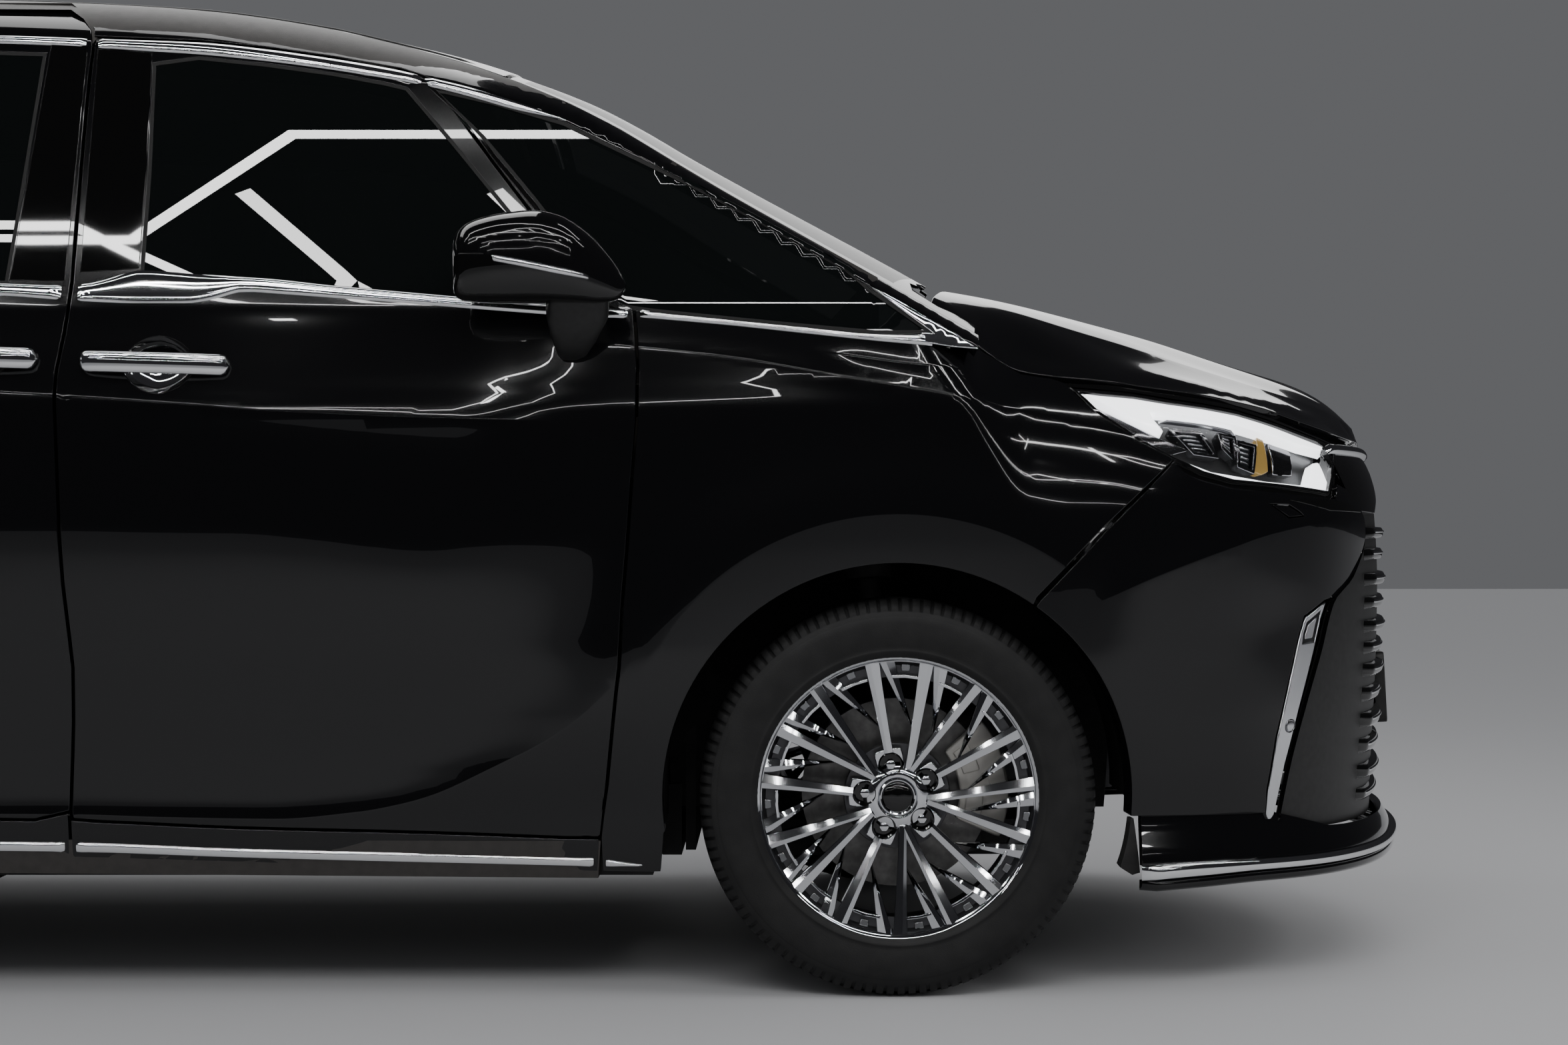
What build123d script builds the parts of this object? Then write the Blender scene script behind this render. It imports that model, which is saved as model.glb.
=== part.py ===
# Luxury minivan: hollow body with hinged front doors, hood and tailgate,
# steered front wheels and four free-turning road wheels.
# Frame: +X forward, +Y left, +Z up, origin on the ground below the middle of
# the body's length.  Millimetres.
from build123d import *
import math
import os

os.makedirs("parts", exist_ok=True)

# ------------------------------------------------------------ driving sizes
WHEELBASE = 3000.0
X_FA = 1505.0                  # front axle
X_RA = X_FA - WHEELBASE        # rear axle
R_TYRE = 362.0                 # 225/55 R19
W_TYRE = 225.0
R_RIM = 260.0
Y_WHEEL = 812.0                # wheel centre plane
R_ARCH = 427.0
PCD = 120.0
LUGS = 5
LUG_R = 7.0
BORE_R = 32.0

X_NOSE = 2540.0
X_TAIL = -2545.0
FLOOR_BOT = 205.0
FLOOR_TOP = 345.0

GAP = 8.0                      # shut gap round every moving panel
T_SKIN = 8.0                   # flange of a moving panel at its shut line
T_DOOR = 70.0                  # whole door
T_SIDE = 86.0                  # body side wall
T_FRAME_IN = 82.0              # door frame starts this deep
T_FRAME = 42.0

HINGE_X = 945.0                # front door hinge line
HINGE_Y = 922.0
HINGE_Z = (480.0, 960.0)
HINGE_PIN_R = 5.0
HINGE_BORE_R = 5.06

HOOD_AXIS = (1474.0, 1322.0)   # x, z
GATE_AXIS = (-2266.0, 1880.0)

KING_LOW = (1497.0, 732.0, 200.0)
KING_TOP = (1447.0, 600.0, 950.0)


# ------------------------------------------------------------ shape tables
def tab(pts, v):
    """Smooth monotone interpolation in a table, held at its ends' slopes."""
    n = len(pts)
    if v <= pts[0][0]:
        (a, fa), (b, fb) = pts[0], pts[1]
        return fa + (v - a) * (fb - fa) / (b - a)
    if v >= pts[-1][0]:
        (a, fa), (b, fb) = pts[-2], pts[-1]
        return fb + (v - b) * (fb - fa) / (b - a)
    i = 0
    while i < n - 2 and v > pts[i + 1][0]:
        i += 1
    d = [(pts[k + 1][1] - pts[k][1]) / (pts[k + 1][0] - pts[k][0]) for k in range(n - 1)]

    def slope(k):
        if k == 0:
            return d[0]
        if k == n - 1:
            return d[-1]
        if d[k - 1] * d[k] <= 0:
            return 0.0
        return 2.0 * d[k - 1] * d[k] / (d[k - 1] + d[k])

    h = pts[i + 1][0] - pts[i][0]
    t = (v - pts[i][0]) / h
    m0, m1 = slope(i), slope(i + 1)
    return ((2 * t**3 - 3 * t**2 + 1) * pts[i][1] + (t**3 - 2 * t**2 + t) * h * m0
            + (-2 * t**3 + 3 * t**2) * pts[i + 1][1] + (t**3 - t**2) * h * m1)


# half width of the side against height
SECTION = [(120, 850), (180, 880), (215, 896), (250, 905), (290, 911), (330, 916),
           (420, 930), (520, 940), (640, 945), (800, 945), (950, 943), (1060, 940),
           (1110, 935), (1180, 925), (1250, 913), (1280, 905)]
TUMBLE = 0.272
# how far the side draws in towards the ends
TAPER = [(-2460, 110), (-2400, 72), (-2300, 42), (-2150, 18), (-1900, 3), (-1700, 0),
         (1500, 0), (1750, 4), (1900, 12), (2000, 22), (2100, 37), (2200, 62),
         (2300, 100)]
# roof and windscreen centre line
ROOF_C = [(-2500, 1840), (-2300, 1872), (-2000, 1893), (-1500, 1910), (-900, 1917),
          (-400, 1917), (-230, 1913), (160, 1895), (420, 1860), (550, 1831), (680, 1799),
          (810, 1757), (925, 1712), (1020, 1663), (1110, 1610), (1234, 1541),
          (1362, 1472), (1492, 1402), (1592, 1347), (1700, 1287)]
ROOF_DROP = 56.0
# half width where the side meets the roof, and how deep the roll-over is
TOP_Y = [(-2500, 640), (-2200, 650), (300, 650), (600, 670), (750, 702), (900, 745),
         (1120, 790), (1300, 815), (1450, 840), (1700, 860)]
TOP_L = [(-2500, 95), (400, 95), (750, 60), (950, 36), (1700, 36)]


def roof(x, y):
    return tab(ROOF_C, x) - ROOF_DROP * (abs(y) / 650.0) ** 2.3


def side_top(x):
    return roof(x, tab(TOP_Y, x))


def flat_side(z):
    if z <= 1280:
        return tab(SECTION, z)
    return 905.0 - TUMBLE * (z - 1280.0)


def side(x, z):
    """Half width of the cabin side."""
    zt = side_top(x)
    q = max(0.0, 1.0 - (zt - z) / tab(TOP_L, x))
    w = flat_side(z) - (flat_side(zt) - tab(TOP_Y, x)) * q * q
    return w - tab(TAPER, x)


# hood side edge: x -> (half width, height)
HOOD_EDGE_Y = [(1480, 752), (1626, 800), (1668, 822), (1733, 832), (1791, 828), (1904, 812),
               (1962, 800), (2078, 768), (2138, 742), (2203, 700), (2270, 640),
               (2344, 560), (2412, 460), (2455, 350), (2480, 240)]
HOOD_EDGE_Z = [(1480, 1300), (1626, 1213), (1668, 1175), (1733, 1136), (1791, 1127),
               (1904, 1118), (1962, 1110), (2078, 1097), (2138, 1087), (2203, 1075),
               (2270, 1057), (2344, 1039), (2412, 1022), (2455, 1014), (2480, 1008)]


def fender(x, z):
    """Half width of the front fender, rounding over to the hood's edge."""
    zt = tab(HOOD_EDGE_Z, x)
    ye = tab(HOOD_EDGE_Y, x)
    depth = 190.0 if x > 1750 else tab([(1480, 40), (1650, 60), (1750, 190)], x)
    q = max(0.0, 1.0 - (zt - z) / depth)
    base = flat_side(z) - tab(TAPER, x)
    top = flat_side(zt) - tab(TAPER, x)
    fade = min(1.0, max(0.0, (x - 1560.0) / 140.0))
    return base - fade * max(0.0, top - ye) * q * q


# hood heights in columns of half width
HOOD_X = [1440, 1520, 1620, 1750, 1850, 1950, 2050, 2150, 2250, 2330, 2400, 2460, 2520]
HOOD_Z = {
    0:   [1352, 1345, 1334, 1312, 1290, 1265, 1240, 1208, 1174, 1144, 1104, 1052, 985],
    300: [1348, 1341, 1328, 1304, 1280, 1254, 1226, 1192, 1158, 1126, 1086, 1034, 965],
    500: [1340, 1330, 1310, 1282, 1254, 1222, 1184, 1146, 1108, 1072, 1030, 985, 915],
    650: [1328, 1316, 1286, 1244, 1208, 1174, 1142, 1110, 1076, 1040, 995, 945, 870],
    800: [1300, 1285, 1226, 1150, 1134, 1116, 1104, 1082, 1044, 1000, 950, 895, 820],
    950: [1240, 1210, 1120, 1030, 1015, 1000, 985, 960, 920, 870, 820, 765, 690],
}


def hood_z(x, y):
    ys = sorted(HOOD_Z)
    col = [(yy, tab(list(zip(HOOD_X, HOOD_Z[yy])), x)) for yy in ys]
    return tab([(-col[1][0], col[1][1])] + col, abs(y))


# front and rear wrap, plan curve of each height: (share of length, half width)
NOSE_X = [(150, 2490), (215, 2520), (290, 2528), (380, 2530), (560, 2538), (740, 2542),
          (900, 2530), (960, 2512), (1010, 2490), (1120, 2440), (1200, 2400)]
TAIL_X = [(180, -2490), (240, -2525), (330, -2545), (480, -2565), (600, -2556),
          (680, -2520), (900, -2522), (1100, -2522), (1250, -2508), (1450, -2462),
          (1650, -2405), (1780, -2366), (1850, -2345)]
NOSE_PLAN = [(0, 0.0), (200, 12), (350, 38), (480, 72), (600, 120), (700, 182),
             (780, 260), (840, 360), (880, 470), (905, 570)]
TAIL_PLAN = [(0, 0.0), (250, 8), (450, 24), (600, 44), (700, 68), (780, 108),
             (830, 160), (862, 215), (885, 270)]


def nose(y, z):
    return tab(NOSE_X, z) - tab(NOSE_PLAN, abs(y))


# ------------------------------------------------------------ outlines (x, z)
DOOR_F = [(1028, 1252), (1031, 1150), (1033, 1041), (1024, 945), (1014, 815), (1006, 719),
          (1000, 602), (995, 560), (980, 390), (969, 299), (966, 292)]
SHUT = [(0, 294), (8, 400), (12, 520), (13, 600), (8, 654), (-2, 751), (-8, 848),
        (-13, 977), (-17, 1087), (-15, 1139), (-5, 1200), (0, 1240), (4, 1300), (5, 1420),
        (6, 1520), (8, 1640), (10, 1700), (13, 1752)]
DOOR_R = [(x + 4, z) for x, z in SHUT]
DOOR_TOP = [(24, 1763), (210, 1756), (330, 1742), (460, 1722), (560, 1702), (628, 1690)]
DOOR_DIV = [(640, 1682), (700, 1612), (760, 1535), (830, 1440), (880, 1372), (950, 1290)]
SLIDE_F = [(x - 4, z) for x, z in SHUT] + [(4, 1780), (-16, 1806), (-46, 1828)]
SLIDE_R = [(-1080, 1828), (-1110, 1790), (-1118, 1700), (-1116, 1250), (-1112, 1000),
           (-1100, 830), (-1068, 720), (-1050, 560), (-1040, 400), (-1036, 294)]
WIN_FRONT = [(75, 1290), (80, 1480), (96, 1720), (210, 1728), (330, 1716), (460, 1697),
             (560, 1677), (606, 1664), (676, 1588), (740, 1505), (806, 1415), (872, 1328),
             (912, 1268)]
WIN_SLIDE = [(-60, 1288), (-52, 1480), (-36, 1735), (-1080, 1742), (-1086, 1296)]
WIN_QF = [(905, 1590), (1122, 1484), (1239, 1422), (1356, 1356), (1440, 1292),
          (1380, 1226), (1200, 1240), (1060, 1252), (1000, 1268), (920, 1390),
          (850, 1490), (800, 1560), (760, 1620), (770, 1646), (830, 1626)]
WIN_QR = [(-1180, 1300), (-1180, 1742), (-1900, 1728), (-2120, 1712), (-2170, 1640),
          (-2190, 1500), (-2200, 1350), (-2190, 1310)]
LAMP = [(1822, 1108), (1871, 1058), (1915, 1030), (1954, 1004), (2009, 976), (2120, 938),
        (2260, 915), (2352, 905), (2400, 902), (2402, 960), (2385, 1005), (2350, 1040),
        (2275, 1058), (2200, 1074), (2138, 1086), (2078, 1096), (1962, 1108), (1904, 1114)]


def poly_prism(pts, y0, y1):
    """A block with an (x, z) outline, from y0 to y1."""
    with BuildSketch(Plane.XZ.offset(-y0), mode=Mode.PRIVATE) as sk:
        with BuildLine():
            Polyline(*pts, close=True)
        make_face()
    return extrude(sk.sketch, amount=-(y1 - y0), mode=Mode.PRIVATE)


def plan_prism(pts, z0, z1):
    with BuildSketch(Plane.XY.offset(z0), mode=Mode.PRIVATE) as sk:
        with BuildLine():
            Polyline(*pts, close=True)
        make_face()
    return extrude(sk.sketch, amount=z1 - z0, mode=Mode.PRIVATE)


def back_prism(pts, x0, x1):
    """A block with a (y, z) outline, from x0 to x1."""
    with BuildSketch(Plane.YZ.offset(x0), mode=Mode.PRIVATE) as sk:
        with BuildLine():
            Polyline(*pts, close=True)
        make_face()
    return extrude(sk.sketch, amount=x1 - x0, mode=Mode.PRIVATE)


def grown(pts, d):
    """The outline moved outwards by d (inwards when d is negative)."""
    a = sum(pts[i][0] * pts[(i + 1) % len(pts)][1] - pts[(i + 1) % len(pts)][0] * pts[i][1]
            for i in range(len(pts)))
    sgn = 1.0 if a > 0 else -1.0
    out = []
    n = len(pts)
    for i in range(n):
        (x0, z0), (x1, z1), (x2, z2) = pts[i - 1], pts[i], pts[(i + 1) % n]
        l1 = math.hypot(x1 - x0, z1 - z0)
        l2 = math.hypot(x2 - x1, z2 - z1)
        n1 = ((z1 - z0) / l1 * sgn, -(x1 - x0) / l1 * sgn)
        n2 = ((z2 - z1) / l2 * sgn, -(x2 - x1) / l2 * sgn)
        k = 1.0 + n1[0] * n2[0] + n1[1] * n2[1]
        k = max(k, 0.35)
        out.append((x1 + d * (n1[0] + n2[0]) / k, z1 + d * (n1[1] + n2[1]) / k))
    return out


def frange(a, b, n):
    return [a + (b - a) * i / (n - 1) for i in range(n)]


def skin(point, n, m):
    """Spline face through an n by m net of points; point(i, j) takes shares 0..1.

    The net is thinned until the face keeps within 2.5 mm of the net's own box.
    """
    best = None
    for k in range(7):
        nn, mm = max(8, n - 2 * k), max(6, m - k)
        grid = [[Vector(*point(i / (nn - 1), j / (mm - 1))) for j in range(mm)]
                for i in range(nn)]
        face = Face.make_surface_from_array_of_points(grid, tol=1.0, min_deg=3, max_deg=3)
        flat = [p for row in grid for p in row]
        box = face.bounding_box()
        over = max(
            min(p.X for p in flat) - box.min.X, box.max.X - max(p.X for p in flat),
            min(p.Y for p in flat) - box.min.Y, box.max.Y - max(p.Y for p in flat),
            min(p.Z for p in flat) - box.min.Z, box.max.Z - max(p.Z for p in flat))
        if over < 2.5:
            return face
        if best is None or over < best[0]:
            best = (over, face)
    if best[0] > 9.0:
        raise ValueError(f"skin won't settle: {best[0]:.1f}")
    return best[1]


def slab_side(fn, x0, x1, z0, top, off, t, nx, nz):
    """Wall under the right side's skin: off deep, t thick."""
    def point(i, j):
        x = x0 + (x1 - x0) * i
        z = z0 + (top(x) - z0) * j
        return x, -(fn(x, z) - off), z
    return Solid.extrude(skin(point, nx, nz), Vector(0, t, 0))


def slab_top(fn, x0, x1, y0, y1, off, t, nx, ny):
    """Sheet under a top surface: off deep, t thick."""
    def point(i, j):
        x = x0 + (x1 - x0) * i
        y = y0 + (y1 - y0) * j
        return x, y, fn(x, y) - off
    return Solid.extrude(skin(point, nx, ny), Vector(0, 0, -t))


def slab_back(fn, y0, y1, z0, z1, off, t, ny, nz):
    """Sheet inside an end surface x = fn(y, z): off deep, t thick along +X."""
    def point(i, j):
        y = y0 + (y1 - y0) * i
        z = z0 + (z1 - z0) * j
        return fn(y, z) + off, y, z
    return Solid.extrude(skin(point, ny, nz), Vector(t, 0, 0))


def body_top(x):
    return side_top(x) + 6.0


def left_of(shape):
    return mirror(shape, about=Plane.XZ, mode=Mode.PRIVATE)


def save(builder_part, name):
    builder_part.label = name
    export_step(builder_part, f"parts/{name}.step")


# =====================================================================
# cutters shared by neighbouring panels
# =====================================================================
Y0, Y1 = -1100.0, -380.0
door_outline = DOOR_F + DOOR_R + DOOR_TOP + DOOR_DIV
slide_outline = SLIDE_F + SLIDE_R

hood_edge = [(x, tab(HOOD_EDGE_Y, x)) for x in
             (1482, 1540, 1600, 1640, 1680, 1733, 1791, 1850, 1904, 1962, 2020, 2078, 2138,
              2203, 2240, 2270, 2310, 2344, 2380, 2412, 2436, 2455, 2468, 2480)]
hood_rear = [(1482, 752), (1532, 655), (1572, 500), (1600, 300), (1608, 0)]
hood_front = [(2480, 240), (2490, 120), (2493, 0)]
hood_plan = ([(x, -y) for x, y in hood_rear[::-1]] + [(x, -y) for x, y in hood_edge[1:]]
             + [(x, -y) for x, y in hood_front[1:]]
             + [(x, y) for x, y in hood_front[::-1][1:]]
             + [(x, y) for x, y in hood_edge[::-1][1:]]
             + [(x, y) for x, y in hood_rear[1:-1]])

GATE_SIDE = [(600, 742), (700, 752), (900, 760), (1100, 762), (1250, 752), (1450, 712),
             (1650, 668), (1780, 640)]
gate_yz = ([(y, z) for z, y in GATE_SIDE] + [(560, 1868), (-560, 1868)]
           + [(-y, z) for z, y in GATE_SIDE[::-1]])
gate_low = 600.0

# clearance under and round the closed hood
hood_clear = (slab_top(hood_z, 1400, 2560, -960, 960, -120, 120 + 58, 20, 17)
              & plan_prism(grown(hood_plan, GAP), 700, 1700))
# everything outside the windscreen's line, and above the roof
wall_side = slab_side(side, -2260, 1480, 150, body_top, 0, T_SIDE, 26, 16)
frame_side = slab_side(side, -1200, 1180, 160, body_top, T_FRAME_IN, T_FRAME, 20, 14)
skin_side = slab_side(side, -1180, 1060, 250, body_top, 0, T_SKIN, 20, 14)
core_side = slab_side(side, -1180, 1060, 250, body_top, T_SKIN - 3, T_DOOR - T_SKIN + 3, 20, 14)
glass_side = slab_side(side, -2240, 1480, 1180, body_top, 9, 5, 24, 10)


# =====================================================================
# body side: sill, pillars, cant rail and rear quarter in one wall
# =====================================================================
with BuildPart() as right_side:
    add(wall_side)
    # under the roof line and above the sill's bottom, ending at the fender
    top_line = [(x, side_top(x)) for x in frange(-2250, 1470, 40)]
    with BuildSketch(Plane.XZ) as side_sk:
        with BuildLine():
            Polyline(*([(-2250, 600), (-2054, 600), (-1984, 441), (-1932, 332), (-1060, 232), (960, 215)]
                       + [(966, 292), (1038, 1243), (1200, 1232), (1330, 1216), (1470, 1206)]
                       + top_line[::-1]), close=True)
        make_face()
    extrude(amount=1100, mode=Mode.INTERSECT)
    # apertures of the front and sliding doors
    add(poly_prism(grown(door_outline, GAP), Y0, Y1), mode=Mode.SUBTRACT)
    add(poly_prism(grown(slide_outline, 1.0), Y0, Y1), mode=Mode.SUBTRACT)
    # side windows
    add(poly_prism(WIN_QF, Y0, Y1), mode=Mode.SUBTRACT)
    add(poly_prism(WIN_QR, Y0, Y1), mode=Mode.SUBTRACT)
    # rear wheel arch
    with BuildSketch(Plane.XZ) as arch_sk:
        with Locations((X_RA, R_TYRE)):
            Circle(R_ARCH)
    extrude(amount=1100, mode=Mode.SUBTRACT)
    # door frames behind the doors, with the pillars between them
    front_arch = Cylinder(R_ARCH + 24, 1200, rotation=(90, 0, 0), mode=Mode.PRIVATE).translate(
        Vector(X_FA, -600, R_TYRE))
    rear_arch = Cylinder(R_ARCH + 16, 1200, rotation=(90, 0, 0), mode=Mode.PRIVATE).translate(
        Vector(X_RA, -600, R_TYRE))
    add(frame_side - front_arch - rear_arch & poly_prism([(-1190, 240), (1170, 240), (1170, 1160), (1060, 1240),
                                 (820, 1470), (640, 1700)]
                                + [(x, side_top(x) - 34) for x in frange(600, -1190, 16)],
                                Y0, Y1)
        - poly_prism([(1050, 330), (1050, 1225), (952, 1250), (620, 1652), (452, 1690),
                      (90, 1716), (60, 1640), (42, 1300), (28, 1180), (10, 1000), (24, 700),
                      (34, 330)], Y0, Y1)
        - poly_prism([(-70, 330), (-84, 700), (-92, 960), (-62, 1240), (-40, 1700),
                      (-58, 1775), (-1060, 1775), (-1060, 860), (-1010, 700), (-985, 330)],
                     Y0, Y1))
    # gooseneck hinge leaves reaching back to the door's hinge line
    for hz in HINGE_Z:
        with BuildSketch(Plane.XY.offset(hz - 16)) as leaf:
            with BuildLine():
                Polyline((HINGE_X - 9, -HINGE_Y), (HINGE_X + 9, -HINGE_Y),
                         (HINGE_X + 9, -HINGE_Y + 75), (1066, -HINGE_Y + 75),
                         (1066, -HINGE_Y + 101), (HINGE_X - 9, -HINGE_Y + 101), close=True)
            make_face()
            with Locations((HINGE_X, -HINGE_Y)):
                Circle(10)
        extrude(amount=32)
        with BuildSketch(Plane.XY.offset(hz - 20)) as leaf_bore:
            with Locations((HINGE_X, -HINGE_Y)):
                Circle(HINGE_BORE_R)
        extrude(amount=40, mode=Mode.SUBTRACT)
save(right_side.part, "right_body_side")
save(left_of(right_side.part), "left_body_side")
print("side", right_side.part.volume / 1e6, len(right_side.part.solids()))


# =====================================================================
# front doors
# =====================================================================
with BuildPart() as right_door:
    add(skin_side & poly_prism(door_outline, Y0, Y1))
    core_outline = ([(HINGE_X + 20, z) for z in (1230, 310)] + [(20, 310)]
                    + [(x + 20, z) for x, z in DOOR_R[1:-1]] + [(64, 1742)]
                    + [(x, z - 18) for x, z in DOOR_TOP[1:-1]] + [(604, 1668)]
                    + [(x - 26, z) for x, z in DOOR_DIV[:-1]] + [(930, 1270)])
    add(core_side & poly_prism(core_outline, Y0, Y1))
    add(poly_prism(WIN_FRONT, Y0, Y1), mode=Mode.SUBTRACT)
    # notches for the hinge leaves, crossed by the pins
    for hz in HINGE_Z:
        with BuildSketch(Plane.XY.offset(hz - 26)) as notch:
            with Locations((HINGE_X - 4, -HINGE_Y + 44)):
                Rectangle(92, 112)
        extrude(amount=52, mode=Mode.SUBTRACT)
        with BuildSketch(Plane.XY.offset(hz - 40)) as pin:
            with Locations((HINGE_X, -HINGE_Y)):
                Circle(HINGE_PIN_R)
        extrude(amount=80)
    # handle bar standing off the skin on two feet, over its cup
    with BuildSketch(Plane.XZ.offset(side(120, 1150) + 18)) as bar:
        with BuildLine():
            Polyline((12, 1166), (280, 1158), (284, 1146), (280, 1134), (12, 1143), (8, 1155),
                     close=True)
        make_face()
    extrude(amount=16)
    for fx in (30, 262):
        with BuildSketch(Plane.XZ.offset(side(fx, 1150) - 6)) as foot:
            with Locations((fx, 1150)):
                Rectangle(22, 14)
        extrude(amount=26)
    # mirror foot boss
    with BuildSketch(Plane.XZ.offset(side(900, 1200) - 6)) as boss:
        with BuildLine():
            Polyline((884, 1235), (1000, 1240), (1008, 1190), (990, 1160), (920, 1158),
                     (896, 1180), close=True)
        make_face()
    extrude(amount=24)
save(right_door.part, "right_front_door")
save(left_of(right_door.part), "left_front_door")
print("door", right_door.part.volume / 1e6, len(right_door.part.solids()))

with BuildPart() as right_door_glass:
    add(glass_side & poly_prism(grown(WIN_FRONT, -1.0), Y0, Y1))
save(right_door_glass.part, "right_front_door_glass")
save(left_of(right_door_glass.part), "left_front_door_glass")

# =====================================================================
# mirrors: head on a short arm from the door
# =====================================================================
with BuildPart() as right_mirror:
    with BuildSketch(Plane.YZ.offset(762)) as m0:
        with Locations((-1044, 1322)):
            RectangleRounded(172, 130, 40)
    with BuildSketch(Plane.YZ.offset(880)) as m1:
        with Locations((-1036, 1312)):
            RectangleRounded(156, 104, 40)
    with BuildSketch(Plane.YZ.offset(960)) as m2:
        with Locations((-1022, 1296)):
            RectangleRounded(104, 58, 24)
    loft()
    with BuildSketch(Plane.XY.offset(1186)) as arm:
        with BuildLine():
            Polyline((898, -940), (966, -940), (960, -1010), (926, -1030), (898, -1012),
                     close=True)
        make_face()
    extrude(amount=100)
save(right_mirror.part, "right_mirror")
save(left_of(right_mirror.part), "left_mirror")
print("mirror", right_mirror.part.volume / 1e6, len(right_mirror.part.solids()))

# =====================================================================
# sliding doors, shut
# =====================================================================
with BuildPart() as right_slide:
    add(slab_side(side, -1180, 60, 250, body_top, 0, T_DOOR, 18, 14)
        & poly_prism(slide_outline, Y0, Y1))
    # flange at the front shut line, thin where the front door swings past
    add(poly_prism([(-14 + 40, 280)] + [(x + 40, z) for x, z in SLIDE_F[1:-2]]
                   + [(x - 22, z) for x, z in SLIDE_F[1:-2]][::-1] + [(-38, 280)], Y0, Y1)
        & slab_side(side, -120, 90, 250, body_top, T_SKIN, T_DOOR, 6, 14), mode=Mode.SUBTRACT)
    add(poly_prism(WIN_SLIDE, Y0, Y1), mode=Mode.SUBTRACT)
    with BuildSketch(Plane.XZ.offset(side(-150, 1150) + 18)) as bar2:
        with BuildLine():
            Polyline((-42, 1168), (-310, 1166), (-314, 1154), (-310, 1142), (-42, 1144),
                     close=True)
        make_face()
    extrude(amount=16)
    for fx in (-60, -292):
        with BuildSketch(Plane.XZ.offset(side(fx, 1150) - 6)) as foot2:
            with Locations((fx, 1155)):
                Rectangle(22, 14)
        extrude(amount=26)
save(right_slide.part, "right_sliding_door")
save(left_of(right_slide.part), "left_sliding_door")
print("slide", right_slide.part.volume / 1e6, len(right_slide.part.solids()))

with BuildPart() as side_windows:
    for win in (WIN_SLIDE, WIN_QF, WIN_QR):
        pane = glass_side & poly_prism(grown(win, -1.0), Y0, Y1)
        add(pane)
        add(left_of(pane))
save(side_windows.part, "side_windows")
print("windows", side_windows.part.volume / 1e6, len(side_windows.part.solids()))

# =====================================================================
# roof, windscreen
# =====================================================================
def top_half(x, inset):
    return tab(TOP_Y, x) - inset


roof_xs = frange(-2256, 752, 24)
with BuildPart() as roof_panel:
    add(slab_top(roof, -2300, 800, -640, 640, 0, 32, 26, 15)
        & plan_prism([(x, -top_half(x, T_SIDE + 11)) for x in roof_xs]
                     + [(x, top_half(x, T_SIDE + 11)) for x in roof_xs[::-1]], 1500, 2100))
    # shark fin aerial
    with BuildSketch(Plane.XZ.offset(-14)) as fin:
        with BuildLine():
            Polyline((-1690, 1896), (-1850, 1896), (-1852, 1935), (-1838, 1952), (-1806, 1946),
                     (-1740, 1916), close=True)
        make_face()
    extrude(amount=28)
save(roof_panel.part, "roof_panel")
print("roof", roof_panel.part.volume / 1e6, len(roof_panel.part.solids()))

with BuildPart() as windshield:
    ws = ([(x, -top_half(x, T_SIDE + 11)) for x in frange(762, 1462, 10)]
          + [(1510, -650), (1560, -480), (1592, -250), (1600, 0), (1592, 250), (1560, 480),
             (1510, 650)]
          + [(x, top_half(x, T_SIDE + 11)) for x in frange(1462, 762, 10)])
    add(slab_top(roof, 740, 1640, -820, 820, 2, 6, 16, 15) & plan_prism(ws, 1100, 1900))
    add(hood_clear, mode=Mode.SUBTRACT)
save(windshield.part, "windshield")
print("windshield", windshield.part.volume / 1e6, len(windshield.part.solids()))

# =====================================================================
# hood
# =====================================================================
with BuildPart() as hood:
    add(slab_top(hood_z, 1420, 2540, -940, 940, 0, 8, 20, 17) & plan_prism(hood_plan, 700, 1700))
    core_hood = slab_top(hood_z, 1420, 2540, -940, 940, 6, 22, 20, 17)
    add(core_hood & plan_prism(grown(hood_plan, -45), 700, 1700))
save(hood.part, "hood")
print("hood", hood.part.volume / 1e6, len(hood.part.solids()))

# =====================================================================
# front fenders
# =====================================================================
def fender_top(x):
    return tab([(940, 1262), (1480, 1262), (1560, 1246), (1626, 1213), (1668, 1180), (1733, 1143),
                (1791, 1131), (1904, 1121), (1962, 1113), (2078, 1100)], x)


fender_slab = slab_side(fender, 940, 2060, 150, fender_top, 0, 28, 24, 15)
with BuildPart() as fenders:
    add(fender_slab)
    add(poly_prism([(974, 292), (1006, 560), (1013, 719), (1021, 815), (1031, 945), (1040, 1041),
                    (1038, 1150), (1042, 1238), (1200, 1228), (1330, 1212), (1472, 1202),
                    (1560, 1188), (1640, 1176), (1668, 1168), (1733, 1128), (1791, 1120),
                    (1818, 1104), (1868, 1052), (1911, 1024), (1950, 998), (2004, 970),
                    (1872, 842), (1804, 770), (1755, 718), (1600, 420), (1080, 340),
                    (1080, 218), (970, 215)], Y0, Y1), mode=Mode.INTERSECT)
    with BuildSketch(Plane.XZ) as f_arch:
        with Locations((X_FA, R_TYRE)):
            Circle(R_ARCH)
    extrude(amount=1100, mode=Mode.SUBTRACT)
    add(hood_clear, mode=Mode.SUBTRACT)
    mirror(about=Plane.XZ)
save(fenders.part, "front_fenders")
print("fenders", fenders.part.volume / 1e6, len(fenders.part.solids()))


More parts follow.
